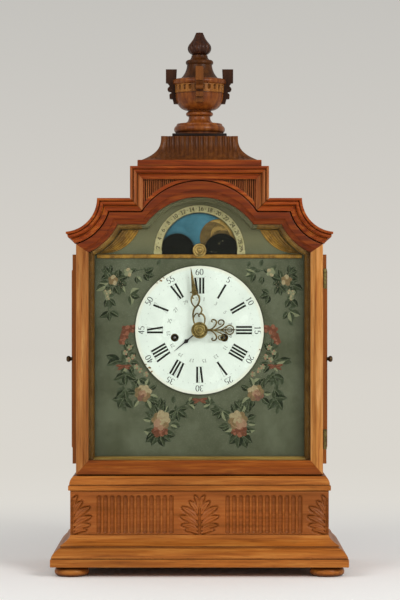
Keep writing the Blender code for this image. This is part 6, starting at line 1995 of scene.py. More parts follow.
@dataclass
class Lunette:
    """Moon dial in the arch: ring with the moon's age, black humps, turning sky with moons, brass boss."""

    centre: Point2 = (0.0, 386.8)
    ring_inner: float = 45.2
    ring_outer: float = 55.0
    foot: float = 382.2
    first_turn: float = -86.0
    day_turn: float = 6.28
    half_day: float = 27.6
    pen: Point2 = (0.85, 0.55)
    hump_radius: float = 20.5
    hump_spread: float = 26.6
    lug: float = 7.2
    plate_front: float = -43.7
    disc_front: float = -41.2
    disc_back: float = -40.0
    teeth: int = 59
    module: float = 1.65
    moon_radius: float = 22.6
    moon_place: Point2 = (23.0, 15.2)
    boss_radius: float = 8.2
    boss_front: float = -48.4
    boss_back: float = -45.9

    def build(self) -> None:
        """Paint the ring and humps and build the turning disc."""
        self.ring()
        self.humps()
        self.disc()

    def ring(self) -> None:
        """Paint the cream ring with even numbers, dots and the half day."""
        ground = self.plate_front - 0.15
        inner, outer = self.ring_inner + 0.1, self.ring_outer
        outline = [(outer, self.foot), *arc(self.centre, outer, 0.0, 180.0, 60), (-outer, self.foot),
                   (-inner, self.foot), *arc(self.centre, inner, 180.0, 0.0, 60), (inner, self.foot)]
        shape = prism(outline, ground, self.plate_front)
        middle = (self.ring_outer + self.ring_inner) / 2
        days = [(str(day), day - 2.0, 4.6) for day in range(2, 30, 2)] + [("29h", self.half_day, 3.9)]
        for text, day, height in days:
            turn = self.first_turn + day * self.day_turn
            shape.join(Digit.figure(text, height, self.centre, middle, turn, self.pen, ground), 1)
            if day < 26.0:
                spot = turn_on_dial(0.0, middle, turn + self.day_turn, self.centre)
                shape.join(disc_turning([(0.5, ground), (0.5, ground - 0.1)], spot, 8), 1)
        for radius in (self.ring_outer - 0.3, self.ring_inner + 0.4):
            edge = arc(self.centre, radius, 0.0, 180.0, 60)
            shape.join(wire(edge, [0.28] * len(edge), ground, 0.06, 6), 1)
        place_piece("moon_age_ring", shape, [RING_PAINT, FIGURE_BROWN], "case")

    def humps(self) -> None:
        """Paint the two black humps that hide the waning moon, with a few chips."""
        small, apart, big, lug = self.hump_radius, self.hump_spread, self.ring_inner, self.lug
        cross = (big ** 2 - small ** 2 + apart ** 2) / (2 * apart)
        high = math.sqrt(big ** 2 - cross ** 2)
        outer = math.degrees(math.atan2(high, cross - apart))
        cross_in = (lug ** 2 - small ** 2 + apart ** 2) / (2 * apart)
        inner = math.degrees(math.atan2(math.sqrt(lug ** 2 - cross_in ** 2), cross_in - apart))
        top = arc((apart, self.centre[1]), small - 0.1, outer, inner, 40)
        rim = arc(self.centre, big, math.degrees(math.atan2(high, cross)), 0.0, 14)
        outline = [*rim[::-1], *top[1:], (2.0, self.centre[1] + 2.0), (2.0, self.foot), (big, self.foot)]
        shape = prism(outline, self.plate_front - 0.12, self.plate_front)
        shape.join(shape.mirrored())
        chance = random.Random(4)
        for x, z in ((25.0, 10.0), (27.5, 11.5), (23.0, 8.0), (15.0, -1.5), (18.0, -2.8), (20.5, -1.8),
                     (-30.0, 4.0)):
            x += chance.uniform(-0.6, 0.6)
            size = chance.uniform(0.25, 0.6)
            chip = [(x + size * chance.uniform(0.6, 1.3) * math.cos(angle),
                     self.centre[1] + z + size * chance.uniform(0.6, 1.3) * math.sin(angle))
                    for angle in spread(0.0, math.tau * 0.86, 7)]
            shape.join(prism(chip, self.plate_front - 0.2, self.plate_front - 0.1), 1)
        place_piece("moon_humps_painted", shape, [NIGHT_PAINT, RING_PAINT], "case")

    def disc(self) -> None:
        """Build the toothed disc painted as a sky with two moons, and its boss."""
        front, wide = self.disc_front, self.moon_radius
        teeth = toothed(self.teeth, self.module, 0.0, self.centre)
        shape = bored(teeth, self.centre, 1.0, front, self.disc_back)
        moon = [(wide, front), (wide, front - 0.1), (wide - 0.6, front - 0.16), (0.3, front - 0.16)]
        widths = [0.6 * math.sin(math.pi * (k + 0.5) / 11) + 0.1 for k in range(11)]
        lit = arc((0.0, 0.0), wide - 0.5, -60.0, 120.0, 30) + arc((-9.0, -5.0), 24.4, 96.0, -36.0, 30)
        for sign in (1, -1):
            x, z = (middle + sign * away for middle, away in zip(self.centre, self.moon_place))
            shape.join(disc_turning(moon, (x, z), 64), 2)
            for lean in spread(-1.0, 1.0, 9):
                tone = arc((x + sign * 6.0, z + sign * 2.0), 8.0 + 7.0 * abs(lean), 60 + 70 * lean,
                           120 + 70 * lean, 10)
                shape.join(wire(tone, widths, front - 0.16, 0.06, 6), 1)
            shape.join(prism([(x + sign * u, z + sign * v) for u, v in lit], front - 0.22, front - 0.14), 1)
        full, back = self.boss_radius, self.boss_back
        rise = back - self.boss_front
        boss = contour([(0.4, 0.0, 0.0), (full, 0.0, 0.0), (full, 0.9, 0.0), (0.78 * full, 1.2, 0.45),
                        (0.74 * full, 0.8, 0.0), (0.69 * full, 0.8, 0.0), (0.41 * full, 1.2, 0.5),
                        (0.36 * full, 0.9, 0.0), (0.3 * full, 1.0, 0.0), (0.24 * full, rise - 0.2, 0.0),
                        (0.4, rise, 0.15)])
        shape.join(disc_turning([(radius, back - height) for radius, height in boss], self.centre, 48), 3)
        start, end = back + 0.2, self.disc_back - 0.1
        shape.join(disc_turning([(0.4, start), (2.0, start), (2.0, end), (0.4, end)], self.centre, 20), 3)
        place_piece("moon_disc_painted", shape, [SKY_PAINT, MOON_GOLD, MOON_SHADE, BRASS_BOSS], "moon_disc",
                    ["moon_disc"])


@dataclass
class ChapterRing:
    """Enamel dial with Roman hours, minute figures, minute dots and the odd days of the month."""

    centre: Point2 = (0.0, 291.0)
    front: float = -47.0
    radius: float = 77.2
    hour_inner: float = 44.0
    hour_outer: float = 63.0
    bar: float = 2.4
    hairline: float = 0.26
    minute_radius: float = 69.9
    minute_height: float = 7.1
    dot_radius: float = 64.6
    dot_size: float = 0.36
    day_radius: float = 37.5
    day_height: float = 4.0
    day_first: float = 8.4
    day_step: float = 11.61

    def build(self) -> None:
        """Glaze the dial and fire its figures on it."""
        dress_node("enamel_dial", ENAMEL_WHITE, 0.5)
        hours = Shape()
        for hour, text in enumerate("I II III IIII V VI VII VIII IX X XI XII".split(), 1):
            hours.join(self.numeral(text, 30.0 * hour))
        place_piece("hour_numerals", hours, [ENAMEL_BLACK], "case")
        minutes = Shape()
        for minute in range(5, 65, 5):
            minutes.join(Digit.figure(str(minute), self.minute_height, self.centre, self.minute_radius,
                                      6.0 * minute, (1.0, 0.35), self.front))
        place_piece("minute_figures", minutes, [ENAMEL_BLACK], "case")
        small = Shape()
        dot = [(self.dot_size, self.front), (self.dot_size, self.front - 0.08)]
        for k in range(60):
            if k % 5:
                small.join(disc_turning(dot, turn_on_dial(0.0, self.dot_radius, 6.0 * k, self.centre), 8))
        for k in range(16):
            small.join(Digit.figure(str(2 * k + 1), self.day_height, self.centre, self.day_radius,
                                    self.day_first + 2 * k * self.day_step, (0.55, 0.3), self.front))
        place_piece("day_figures_and_minute_dots", small, [ENAMEL_GREY], "case")
        self.chips()

    def numeral(self, text: str, degrees: float) -> Shape:
        """Draw one Roman hour, its foot towards the centre.

        Args:
            text: Letters of the hour.
            degrees: Clockwise turn from twelve o'clock.

        Returns:
            Its bars, hairlines and serifs.
        """
        thick: list[Point2] = []
        thin: list[Point2] = []
        place = 0.0
        for letter in text:
            if letter == "I":
                thick.append((place + 1.9, place + 1.9))
                place += 3.8
            elif letter == "V":
                thick.append((place + 1.2, place + 3.4))
                thin.append((place + 5.2, place + 3.6))
                place += 5.6
            else:
                thick.append((place + 1.2, place + 4.2))
                thin.append((place + 4.6, place + 0.8))
                place += 5.4
        inner, outer = self.hour_inner, self.hour_outer
        shape = Shape()
        for bars, half in ((thick, self.bar / 2), (thin, self.hairline / 2)):
            for top, foot in bars:
                corners = [(top - half, outer), (top + half, outer), (foot + half, inner),
                           (foot - half, inner)]
                shape.join(self.flat(corners, place / 2, degrees))
        for level in (inner, outer):
            low, high = level - 0.1, level + 0.1
            serif = [(0.2, low), (place - 0.2, low), (place - 0.2, high), (0.2, high)]
            shape.join(self.flat(serif, place / 2, degrees))
        return shape

    def flat(self, corners: Sequence[Point2], middle: float, degrees: float) -> Shape:
        """Fire a flat patch on the enamel.

        Args:
            corners: Its corners across and along its hour.
            middle: Middle of the hour, across.
            degrees: Clockwise turn of the hour.

        Returns:
            The patch.
        """
        outline = [turn_on_dial(across - middle, along, degrees, self.centre) for across, along in corners]
        return prism(outline, self.front - 0.1, self.front)

    def chips(self) -> None:
        """Break small chips out of the rim down to the copper."""
        chance = random.Random(9)
        shape = Shape()
        for degrees, reach, size in ((-38.0, 75.4, 2.6), (-34.5, 76.0, 1.6), (-42.0, 76.2, 1.4),
                                     (233.0, 75.0, 2.8), (229.0, 76.0, 2.2), (237.5, 76.2, 1.6),
                                     (108.0, 76.0, 1.5)):
            x, z = turn_on_dial(0.0, reach, degrees, (0.0, 0.0))
            outline = []
            for angle in spread(0.0, math.tau * 0.9, 10):
                far = size * chance.uniform(0.45, 1.0)
                u, v = x + far * math.cos(angle), z + 0.7 * far * math.sin(angle)
                share = min(1.0, (self.radius - 0.1) / math.hypot(u, v))
                outline.append((self.centre[0] + u * share, self.centre[1] + v * share))
            shape.join(prism(outline, self.front - 0.06, self.front + 0.4))
        place_piece("enamel_rim_chips", shape, [ENAMEL_CHIP], "case")


# Oil colours laid on in thick daubs: a soft cloud of two tones in each, dull where the varnish has gone.
GARLAND_PAINTS = tuple(OilPaint(*paint, 0.7, 0.6, 0.1) for paint in (
    ("oil_paint_leaf_dark", "#1b2215", "#28311e", 4.0), ("oil_paint_leaf_green", "#2d3723", "#3c4630", 4.0),
    ("oil_paint_leaf_pale", "#6c7354", "#7f8465", 4.0), ("oil_paint_rose_pink", "#65493a", "#785643", 3.0),
    ("oil_paint_rose_blush", "#876a50", "#94775d", 3.0), ("oil_paint_rose_cream", "#6a5a3c", "#7a6846", 3.0),
    ("oil_paint_lead_white", "#8d8160", "#9c916e", 3.0), ("oil_paint_madder_red", "#5b3724", "#6a422e", 3.0),
    ("oil_paint_coral", "#764a35", "#83563f", 3.0), ("oil_paint_leaf_soft", "#3c4431", "#4a523c", 4.0)))


class Daub(Enum):
    """Paints of the garlands, by their place among the finishes."""

    DARK = 0
    MID = 1
    PALE = 2
    PINK = 3
    BLUSH = 4
    CREAM = 5
    LIGHT = 6
    RED = 7
    CORAL = 8
    SOFT = 9


@dataclass(frozen=True)
class Spray:
    """Leaves that fan out from one foot: its way and fan in degrees, number of leaves and their length."""

    foot: Point2
    way: float
    fan: float
    count: int
    length: float


@dataclass
class Garlands:
    """Traditional garlands of roses and leaves in thick oil paint, round the enamel dial."""

    ground: float = -43.7
    dial_z: float = 291.0
    stem_clear: float = 87.0
    wreath_clear: float = 88.9
    half_plate: float = 116.0
    light_from: float = 125.0
    stems: tuple[tuple[Point2, ...], ...] = (
        ((104, 351), (86, 360), (57, 366)), ((104, 351), (111, 333), (108, 308)),
        ((87, 287), (87, 267), (92, 248), (84, 231), (68, 215)), ((68, 215), (60, 197), (46, 183)),
        ((46, 183), (28, 196), (11, 204)), ((92, 231), (91, 219), (93, 197)))
    sprays: tuple[Spray, ...] = (
        Spray((108, 358), 40, 120, 4, 9), Spray((84, 359), 95, 70, 2, 8), Spray((67, 360), 195, 90, 3, 10),
        Spray((76, 356), 250, 30, 2, 8), Spray((96, 345), 275, 70, 3, 10), Spray((84, 334), 205, 100, 3, 10),
        Spray((110, 329), 265, 70, 2, 10), Spray((108, 314), 275, 110, 3, 11), Spray((95, 255), 0, 30, 2, 14),
        Spray((86, 265), 95, 50, 3, 10), Spray((89, 238), 280, 120, 3, 12), Spray((73, 233), 255, 90, 2, 10),
        Spray((90, 220), 290, 40, 2, 12), Spray((90, 210), 290, 115, 3, 14), Spray((60, 206), 232, 45, 2, 11),
        Spray((50, 196), 108, 55, 3, 11), Spray((48, 168), 275, 170, 6, 15), Spray((14, 202), 165, 90, 4, 8),
        Spray((27, 195), 250, 150, 5, 11), Spray((98, 352), 160, 110, 3, 11),
        Spray((112, 345), 300, 70, 2, 11))

    def build(self) -> None:
        """Paint the garland of each side, and the ribbon between them."""
        right = self.side(random.Random(21))
        left = self.side(random.Random(34)).mirrored()
        middle = self.ribbon((0.0, 207.0), random.Random(5))
        for side, shape in (("right", right), ("left", left), ("middle", middle)):
            place_piece(f"flower_garland_{side}", shape, GARLAND_PAINTS, "case", (), 20)

    def side(self, chance: random.Random) -> Shape:
        """Paint one side.

        Args:
            chance: Source of the small differences between the sides.

        Returns:
            The daubs of the right side.
        """
        shape = self.greenery(chance)
        flowers = [((104.0, 351.1), 7.0, Daub.CREAM, Daub.LIGHT), ((86.0, 360.7), 6.0, Daub.PALE, Daub.LIGHT)]
        flowers += [(spot, 3.0, Daub.PALE, Daub.LIGHT) for spot in (
            (111.2, 333.0), (108.0, 337.0), (113.0, 336.5), (110.5, 329.5))]
        flowers += [(spot, 2.0, Daub.DARK, Daub.PALE) for spot in (
            (95.0, 349.0), (92.5, 346.0), (97.0, 345.5), (94.0, 342.5))]
        flowers += [(spot, size, Daub.RED, Daub.CORAL) for spot, size in (
            ((88.0, 291.0), 6.6), ((80.5, 293.0), 5.2), ((91.0, 283.5), 5.6), ((93.5, 277.5), 4.6))]
        flowers += [(spot, 3.4, Daub.PALE, Daub.BLUSH) for spot in (
            (84.0, 270.0), (89.5, 264.0), (80.0, 259.0), (85.5, 255.5), (71.5, 242.8), (64.3, 238.0),
            (76.0, 247.0))]
        for flower in flowers:
            shape.join(self.blossom(*flower, chance))
        shape.join(self.ribbon((91.0, 247.6), chance))
        shape.join(self.rose((67.9, 215.2), 10.4, Daub.PINK, Daub.BLUSH, chance))
        shape.join(self.blossom((50.0, 169.5), 8.4, Daub.RED, Daub.CORAL, chance))
        shape.join(self.blossom((42.5, 169.0), 5.0, Daub.RED, Daub.CORAL, chance))
        return shape.join(self.rose((46.3, 182.7), 11.6, Daub.BLUSH, Daub.LIGHT, chance))

    def greenery(self, chance: random.Random) -> Shape:
        """Paint the stems and leaves of one side: along the stems, in sprays, and in wreaths round flowers.

        Args:
            chance: Source of the small differences between the leaves.

        Returns:
            The daubs of the right side.
        """
        shape = Shape()
        for stem in self.stems:
            line = flowing(stem, 10)
            shape.join(wire(line, [0.4] * len(line), self.ground, 0.05, 6, Daub.MID.value))
            for x, z in line[::2]:
                foot = (x + chance.uniform(-7, 7), z + chance.uniform(-7, 7))
                if self.away(foot) > self.stem_clear and abs(foot[0]) < self.half_plate:
                    shape.join(self.leaf(foot, chance.uniform(0, 360), chance.uniform(6.0, 9.5), chance,
                                         (Daub.SOFT, Daub.MID)))
        for spray in self.sprays:
            for share in spread(-0.5, 0.5, spray.count):
                turn = spray.way + spray.fan * share + chance.uniform(-12, 12)
                foot = swung(spray.foot, 0.35 * spray.count, 0.0, turn)
                shape.join(self.leaf(foot, turn, spray.length * chance.uniform(1.0, 1.25), chance))
        for middle, radius, count in (((67.9, 215.2), 9.0, 7), ((46.3, 180.0), 12.0, 12),
                                      ((87.0, 252.0), 4.0, 6), ((104.0, 348.0), 5.0, 6)):
            for k in range(count):
                turn = 360.0 * k / count + chance.uniform(-14, 14)
                foot = swung(middle, radius, 0.0, turn)
                if self.away(foot) > self.wreath_clear:
                    shape.join(self.leaf(foot, turn, chance.uniform(8.5, 12.5), chance))
        return shape

    def away(self, spot: Point2) -> float:
        """Return the distance of a spot from the centre of the dial."""
        return math.hypot(spot[0], spot[1] - self.dial_z)

    def patch(self, outline: Sequence[Point2], rise: float, daub: Daub) -> Shape:
        """Lay one flat daub of paint of a given height on the plate."""
        return prism(outline, self.ground - rise, self.ground + 0.02, daub.value)

    def leaf(self, foot: Point2, degrees: float, length: float, chance: random.Random,
             tones: Optional[tuple[Daub, Daub]] = None) -> Shape:
        """Paint a pointed leaf in a dark and a lighter half, with a midrib.

        Args:
            foot: Place of its stalk.
            degrees: Way that it points, from the right.
            length: Its length.
            chance: Source of its bend and tone.
            tones: Paints of its halves, or none to take them by chance.

        Returns:
            The leaf.
        """
        bend = chance.uniform(-0.16, 0.16) * length
        wide = length * chance.uniform(0.26, 0.34)
        rise = chance.uniform(0.05, 0.12)
        rib, left, right = [], [], []
        for t in spread(0.0, 1.0, 11):
            half = wide * math.sin(math.pi * min(1.0, t * 1.02)) ** 0.8 * (1.1 - 0.35 * t) + 0.05
            sway = bend * t * (1 - t) * 2
            for row, aside in ((rib, 0.0), (left, half), (right, -half)):
                row.append(swung(foot, t * length, sway + aside, degrees))
        tones = tones or ((Daub.DARK, Daub.MID) if chance.random() < 0.75 else (Daub.MID, Daub.PALE))
        vein = Daub.MID if tones[0] is Daub.SOFT else Daub.PALE
        shape = self.patch(rib + left[-2:0:-1], rise, tones[0])
        shape.join(self.patch(right + rib[-2:0:-1], rise, tones[1]))
        return shape.join(wire(rib[:-1], [0.16] * (len(rib) - 1), self.ground - rise, 0.04, 5, vein.value))

    def petal(self, centre: Point2, degrees: float, reach: Point2, wide: float, rise: float,
              daub: Daub) -> Shape:
        """Paint one round petal.

        Args:
            centre: Centre of its flower.
            degrees: Way that it points, from the right.
            reach: Its near and far end from the centre.
            wide: Half its width.
            rise: Height of its paint.
            daub: Its paint.

        Returns:
            The petal.
        """
        middle, half = (reach[0] + reach[1]) / 2, (reach[1] - reach[0]) / 2
        outline = []
        for k in range(16):
            angle = math.tau * k / 16
            along = middle + half * math.cos(angle) * (1.0 + 0.08 * math.cos(3 * angle))
            outline.append(swung(centre, along, wide * math.sin(angle), degrees))
        return self.patch(outline, rise, daub)

    def blossom(self, centre: Point2, radius: float, outer: Daub, inner: Daub,
                chance: random.Random) -> Shape:
        """Paint a small open flower of five petals.

        Args:
            centre: Its middle.
            radius: Its size.
            outer: Paint of most of its petals.
            inner: Paint of its lit petals.
            chance: Source of its turn.

        Returns:
            The flower.
        """
        shape = Shape()
        start = chance.uniform(0, 72)
        for k in range(5):
            daub = inner if k in (1, 3) and radius > 2.5 else outer
            reach = (0.1 * radius, radius * chance.uniform(0.85, 1.05))
            shape.join(self.petal(centre, start + 72 * k, reach, 0.42 * radius, 0.14 + 0.008 * k, daub))
        heart = Daub.LIGHT if radius < 3 else outer
        reach = (-0.24 * radius, 0.24 * radius)
        return shape.join(self.petal(centre, start, reach, 0.22 * radius, 0.22, heart))

    def rose(self, centre: Point2, radius: float, shade: Daub, heart: Daub, chance: random.Random) -> Shape:
        """Paint a full rose, lit from the upper left: cupped petals round a heart, with the folds drawn in.

        Args:
            centre: Its middle.
            radius: Its size.
            shade: Paint of the petals in shade.
            heart: Paint of the petals round the heart.
            chance: Source of its turn.

        Returns:
            The rose.
        """
        shape = Shape()
        start = chance.uniform(0, 50)
        for count, near, far, wide, rise in ((8, 0.3, 1.0, 0.36, 0.14), (7, 0.12, 0.76, 0.32, 0.2),
                                             (5, 0.0, 0.5, 0.26, 0.26)):
            for k in range(count):
                turn = start + 360.0 * k / count
                lit = math.cos(math.radians(turn - self.light_from))
                plain = Daub.CREAM if far > 0.6 else heart
                daub = Daub.LIGHT if lit > 0.55 else shade if lit < -0.8 else plain
                reach = (near * radius, radius * far * chance.uniform(0.92, 1.06))
                shape.join(self.petal(centre, turn, reach, wide * radius, rise + 0.005 * k, daub))
            start += 23.0
        eye = (centre[0] - 0.08 * radius, centre[1] + 0.1 * radius)
        shape.join(self.petal(eye, 100.0, (-0.24 * radius, 0.24 * radius), 0.22 * radius, 0.31, heart))
        widths = [0.05 + 0.03 * radius * math.sin(math.pi * (j + 0.5) / 13) for j in range(13)]
        for k, reach in enumerate((0.78, 0.54, 0.36, 0.2)):
            line = arc(centre, reach * radius, 175.0 + 62 * k, 330.0 + 62 * k, 12)
            shape.join(wire(line, widths, self.ground - 0.3, 0.05, 6, shade.value))
        return shape

    def ribbon(self, centre: Point2, chance: random.Random) -> Shape:
        """Paint a red ribbon tied round the stems.

        Args:
            centre: Its knot.
            chance: Source of the turn of its loops and ends.

        Returns:
            The ribbon.
        """
        shape = Shape()
        for degrees, length in ((8.0, 9.5), (172.0, 9.0), (-28.0, 8.5), (205.0, 7.5)):
            turn = degrees + chance.uniform(-6, 6)
            shape.join(self.petal(centre, turn, (0.2, length), 1.7, 0.18, Daub.RED))
            shape.join(self.petal(centre, turn + 6, (1.0, length * 0.8), 0.5, 0.24, Daub.CORAL))
        return shape.join(self.petal(centre, 90.0, (-1.8, 1.8), 1.6, 0.27, Daub.RED))


@dataclass(frozen=True)
class PipeWheel:
    """Wheel on the end of a hand's pipe: teeth, module, turn of one tooth in degrees, depth of its front."""

    teeth: int
    module: float
    phase: float
    front: float


@dataclass
class Hands:
    """Pierced brass minute and hour hands, black date hand, their collet, and the pipes behind the dial."""

    centre: Point2 = (0.0, 291.0)
    minute_turn: float = -7.9
    hour_turn: float = 89.4
    date_turn: float = 230.3
    minute_depth: Point2 = (-54.4, -53.4)
    hour_depth: Point2 = (-51.8, -50.8)
    date_depth: Point2 = (-49.2, -48.6)
    collet_depth: Point2 = (-57.7, -54.7)
    collet_radius: float = 9.9
    pipe_wall: float = 0.8
    wheel_thick: float = 1.5

    def build(self) -> None:
        """Build the three hands and the collet."""
        self.minute_hand()
        self.hour_hand()
        self.date_hand()
        self.collet()

    def collet(self) -> None:
        """Turn the collet in front of the hands."""
        front, back = self.collet_depth
        full, rise = self.collet_radius, back - front
        profile = contour([(0.3, 0.0, 0.0), (0.95 * full, 0.0, 0.0), (full, 0.4, 0.0), (full, 1.3, 0.0),
                           (0.86 * full, 1.4, 0.5), (0.81 * full, 0.7, 0.0), (0.77 * full, 0.7, 0.0),
                           (0.53 * full, 1.7, 0.5), (0.47 * full, 1.4, 0.0), (0.21 * full, 1.9, 0.5),
                           (0.17 * full, 1.9, 0.0), (0.13 * full, rise - 0.2, 0.0), (0.3, rise, 0.2)])
        shape = disc_turning([(radius, back - height) for radius, height in profile], self.centre, 64)
        place_piece("hand_collet_turned", shape, [BRASS_COLLET], "minute_hand", ["hand_collet"], 24)

    def strokes(self, lines: Sequence[tuple[Sequence[Point2], float]], degrees: float, depth: Point2,
                mirror: bool = False) -> Shape:
        """Saw the curved strokes of a hand.

        Args:
            lines: Points of each stroke across and along the hand, and its greatest half width.
            degrees: Clockwise turn of the hand.
            depth: Front and back of the hand.
            mirror: Whether each stroke has a twin on the other side.

        Returns:
            The strokes in place.
        """
        shape = Shape()
        for points, width in lines:
            for sign in ((1, -1) if mirror else (1,)):
                line = [turn_on_dial(sign * u, v, degrees, self.centre) for u, v in flowing(points)]
                shares = spread(0.12, 0.94, len(line))
                widths = [width * (0.5 + 0.5 * math.sin(math.pi * share)) for share in shares]
                shape.join(wire(line, widths, sum(depth) / 2, (depth[1] - depth[0]) / 2))
        return shape

    def blade(self, points: Sequence[Point2], degrees: float, depth: Point2) -> Shape:
        """File a straight blade to a ridge along its middle.

        Args:
            points: Half width and distance from the centre, from foot to tip.
            degrees: Clockwise turn of the hand.
            depth: Front and back of the hand.

        Returns:
            The blade in place.
        """
        front, back = depth
        edge = front * 0.35 + back * 0.65
        rings = []
        for half, along in points:
            ring = []
            for across, level in ((-half, back), (-half, edge), (0.0, front), (half, edge), (half, back)):
                x, z = turn_on_dial(across, along, degrees, self.centre)
                ring.append((x, level, z))
            rings.append(ring)
        return loft(rings)

    def pipe(self, bore: float, depth: Point2, disc: float, wheel: PipeWheel) -> Shape:
        """Build the boss of a hand, its pipe through the dial and the wheel on its end.

        Args:
            bore: Radius of the hole through all three.
            depth: Front and back of the hand.
            disc: Radius of the boss.
            wheel: The wheel.

        Returns:
            The shape in place.
        """
        middle, front = self.centre, wheel.front
        boss = arc(middle, disc, 0.0, 351.0, 39)
        tube = arc(middle, bore + self.pipe_wall, 0.0, 345.0, 23)
        teeth = toothed(wheel.teeth, wheel.module, wheel.phase, middle)
        shape = bored(boss, middle, bore, depth[0] + 0.05, depth[1] - 0.02)
        shape.join(bored(tube, middle, bore, depth[1] - 0.3, front + 0.4))
        return shape.join(bored(teeth, middle, bore, front, front + self.wheel_thick))

    def minute_hand(self) -> None:
        """Saw the minute hand: a tall S scroll, side scrolls and a ridged blade."""
        curls = [
            ([(-3.0, 4.0), (-5.0, 9.0), (-5.5, 15.0), (-5.0, 20.5), (-2.4, 26.4), (2.2, 30.4), (4.8, 35.4),
              (4.8, 40.4), (2.4, 43.4), (-0.8, 43.2), (-3.1, 41.0), (-2.6, 39.0), (-1.2, 39.2)], 1.15),
            ([(4.0, 4.0), (7.4, 8.6), (8.3, 13.6), (7.0, 17.4), (4.4, 19.4), (2.0, 18.6), (1.6, 16.8),
              (2.8, 16.0)], 1.05),
            ([(1.8, 18.2), (4.8, 20.8), (6.2, 24.0), (5.2, 27.6), (2.0, 30.4)], 0.95),
            ([(-5.2, 15.0), (-2.6, 19.2), (0.2, 20.2), (1.9, 18.4)], 0.85),
            ([(-1.2, 28.0), (-3.8, 31.4), (-4.9, 35.6), (-4.2, 40.0), (-2.0, 43.6), (-3.4, 46.6),
              (-5.0, 46.0)], 0.95),
            ([(2.4, 43.2), (3.6, 45.6), (5.2, 45.6)], 0.55)]
        shape = self.strokes(curls, self.minute_turn, self.minute_depth)
        blade = [(0.8, 41.8), (2.4, 43.2), (3.2, 45.0), (2.9, 48.0), (2.3, 54.0), (1.7, 60.0), (1.1, 67.0),
                 (0.55, 73.0), (0.15, 75.7)]
        shape.join(self.blade(blade, self.minute_turn, self.minute_depth))
        shape.join(self.pipe(1.5, self.minute_depth, 6.5, PipeWheel(14, 0.8, -90.0, -28.0)))
        place_piece("minute_hand_pierced", shape, [BRASS_HAND], "minute_hand", ["minute_hand"], 40)

    def hour_hand(self) -> None:
        """Saw the hour hand: paired scrolls along a stem and a rosette near the point."""
        curls = [
            ([(0.0, 9.0), (1.6, 15.0), (5.6, 19.2), (9.4, 20.4), (12.0, 18.6), (12.3, 15.6), (10.4, 14.6),
              (9.6, 16.4)], 0.95),
            ([(0.6, 17.0), (2.2, 22.0), (5.0, 27.0), (8.6, 29.6), (11.6, 27.8), (11.6, 24.2), (8.8, 22.6),
              (6.6, 24.4), (7.6, 26.4)], 0.85),
            ([(0.4, 25.0), (1.8, 29.0), (4.6, 32.2)], 0.7),
            ([(0.8, 31.2), (4.4, 33.2), (5.4, 36.6), (3.6, 40.0), (0.8, 41.0)], 0.8),
            ([(0.0, 33.0), (2.0, 34.6), (2.4, 36.8), (1.2, 38.8), (0.0, 39.4)], 0.5)]
        shape = self.strokes(curls, self.hour_turn, self.hour_depth, True)
        stem = [(1.9, 4.0), (1.6, 9.0), (1.0, 16.0), (0.75, 24.0), (0.7, 31.0), (0.6, 38.0), (1.0, 40.4),
                (0.6, 42.4), (0.12, 44.0)]
        shape.join(self.blade(stem, self.hour_turn, self.hour_depth))
        shape.join(self.pipe(2.6, self.hour_depth, 7.0, PipeWheel(40, 0.896, -90.0, -34.5)))
        place_piece("hour_hand_pierced", shape, [BRASS_HAND], "hour_hand", ["hour_hand"], 40)

    def date_hand(self) -> None:
        """File the black date hand with its lozenge."""
        rod = [(1.0, 4.5), (0.75, 12.0), (0.65, 16.6), (1.0, 17.4), (1.0, 18.0), (2.7, 20.6), (1.0, 23.4),
               (0.7, 24.4), (0.6, 31.0), (0.35, 37.0), (0.12, 40.0)]
        shape = self.blade(rod, self.date_turn, self.date_depth)
        shape.join(self.pipe(3.7, self.date_depth, 6.2, PipeWheel(31, 1.2, -self.date_turn, -38.5)))
        place_piece("date_hand_filed", shape, [BLUED], "date_hand", ["date_hand"], 30)


# Movement and studio


@dataclass
class Movement:
    """Brass plates, wheels and barrels, steel arbors, bell and pendulum behind the dial."""

    brass: tuple[str, ...] = (
        "front_plate", "back_plate", "motion_minute_wheel", "going_barrel", "centre_wheel", "third_wheel",
        "escape_wheel", "strike_barrel", "pin_wheel", "strike_fly", "pendulum", "back_cock")
    steel: tuple[str, ...] = ("pallet_anchor", "hammer")
    dark_steel: tuple[str, ...] = ("going_winding_arbor", "strike_winding_arbor")
    tip_radius: float = 1.4

    def build(self) -> None:
        """Dress the solids of the movement, and tip the winding arbors with bright steel."""
        for nodes, finish in ((self.brass, BRASS), (self.steel, STEEL)):
            for node in nodes:
                dress_node(node, finish)
        for node in self.dark_steel:
            dress_node(node, STEEL_DARK)
            low, high = solid_box(node)
            front, full = low[1], self.tip_radius
            centre = ((low[0] + high[0]) / 2, (low[2] + high[2]) / 2)
            tip = [(0.3, front - 0.35), (1.0, front - 0.35), (full, front - 0.05), (full, front + 0.6),
                   (0.3, front + 0.6)]
            place_piece(f"{node}_bright_tip", disc_turning(tip, centre, 24), [STEEL], node)
        dress_node("bell", BELL_METAL)


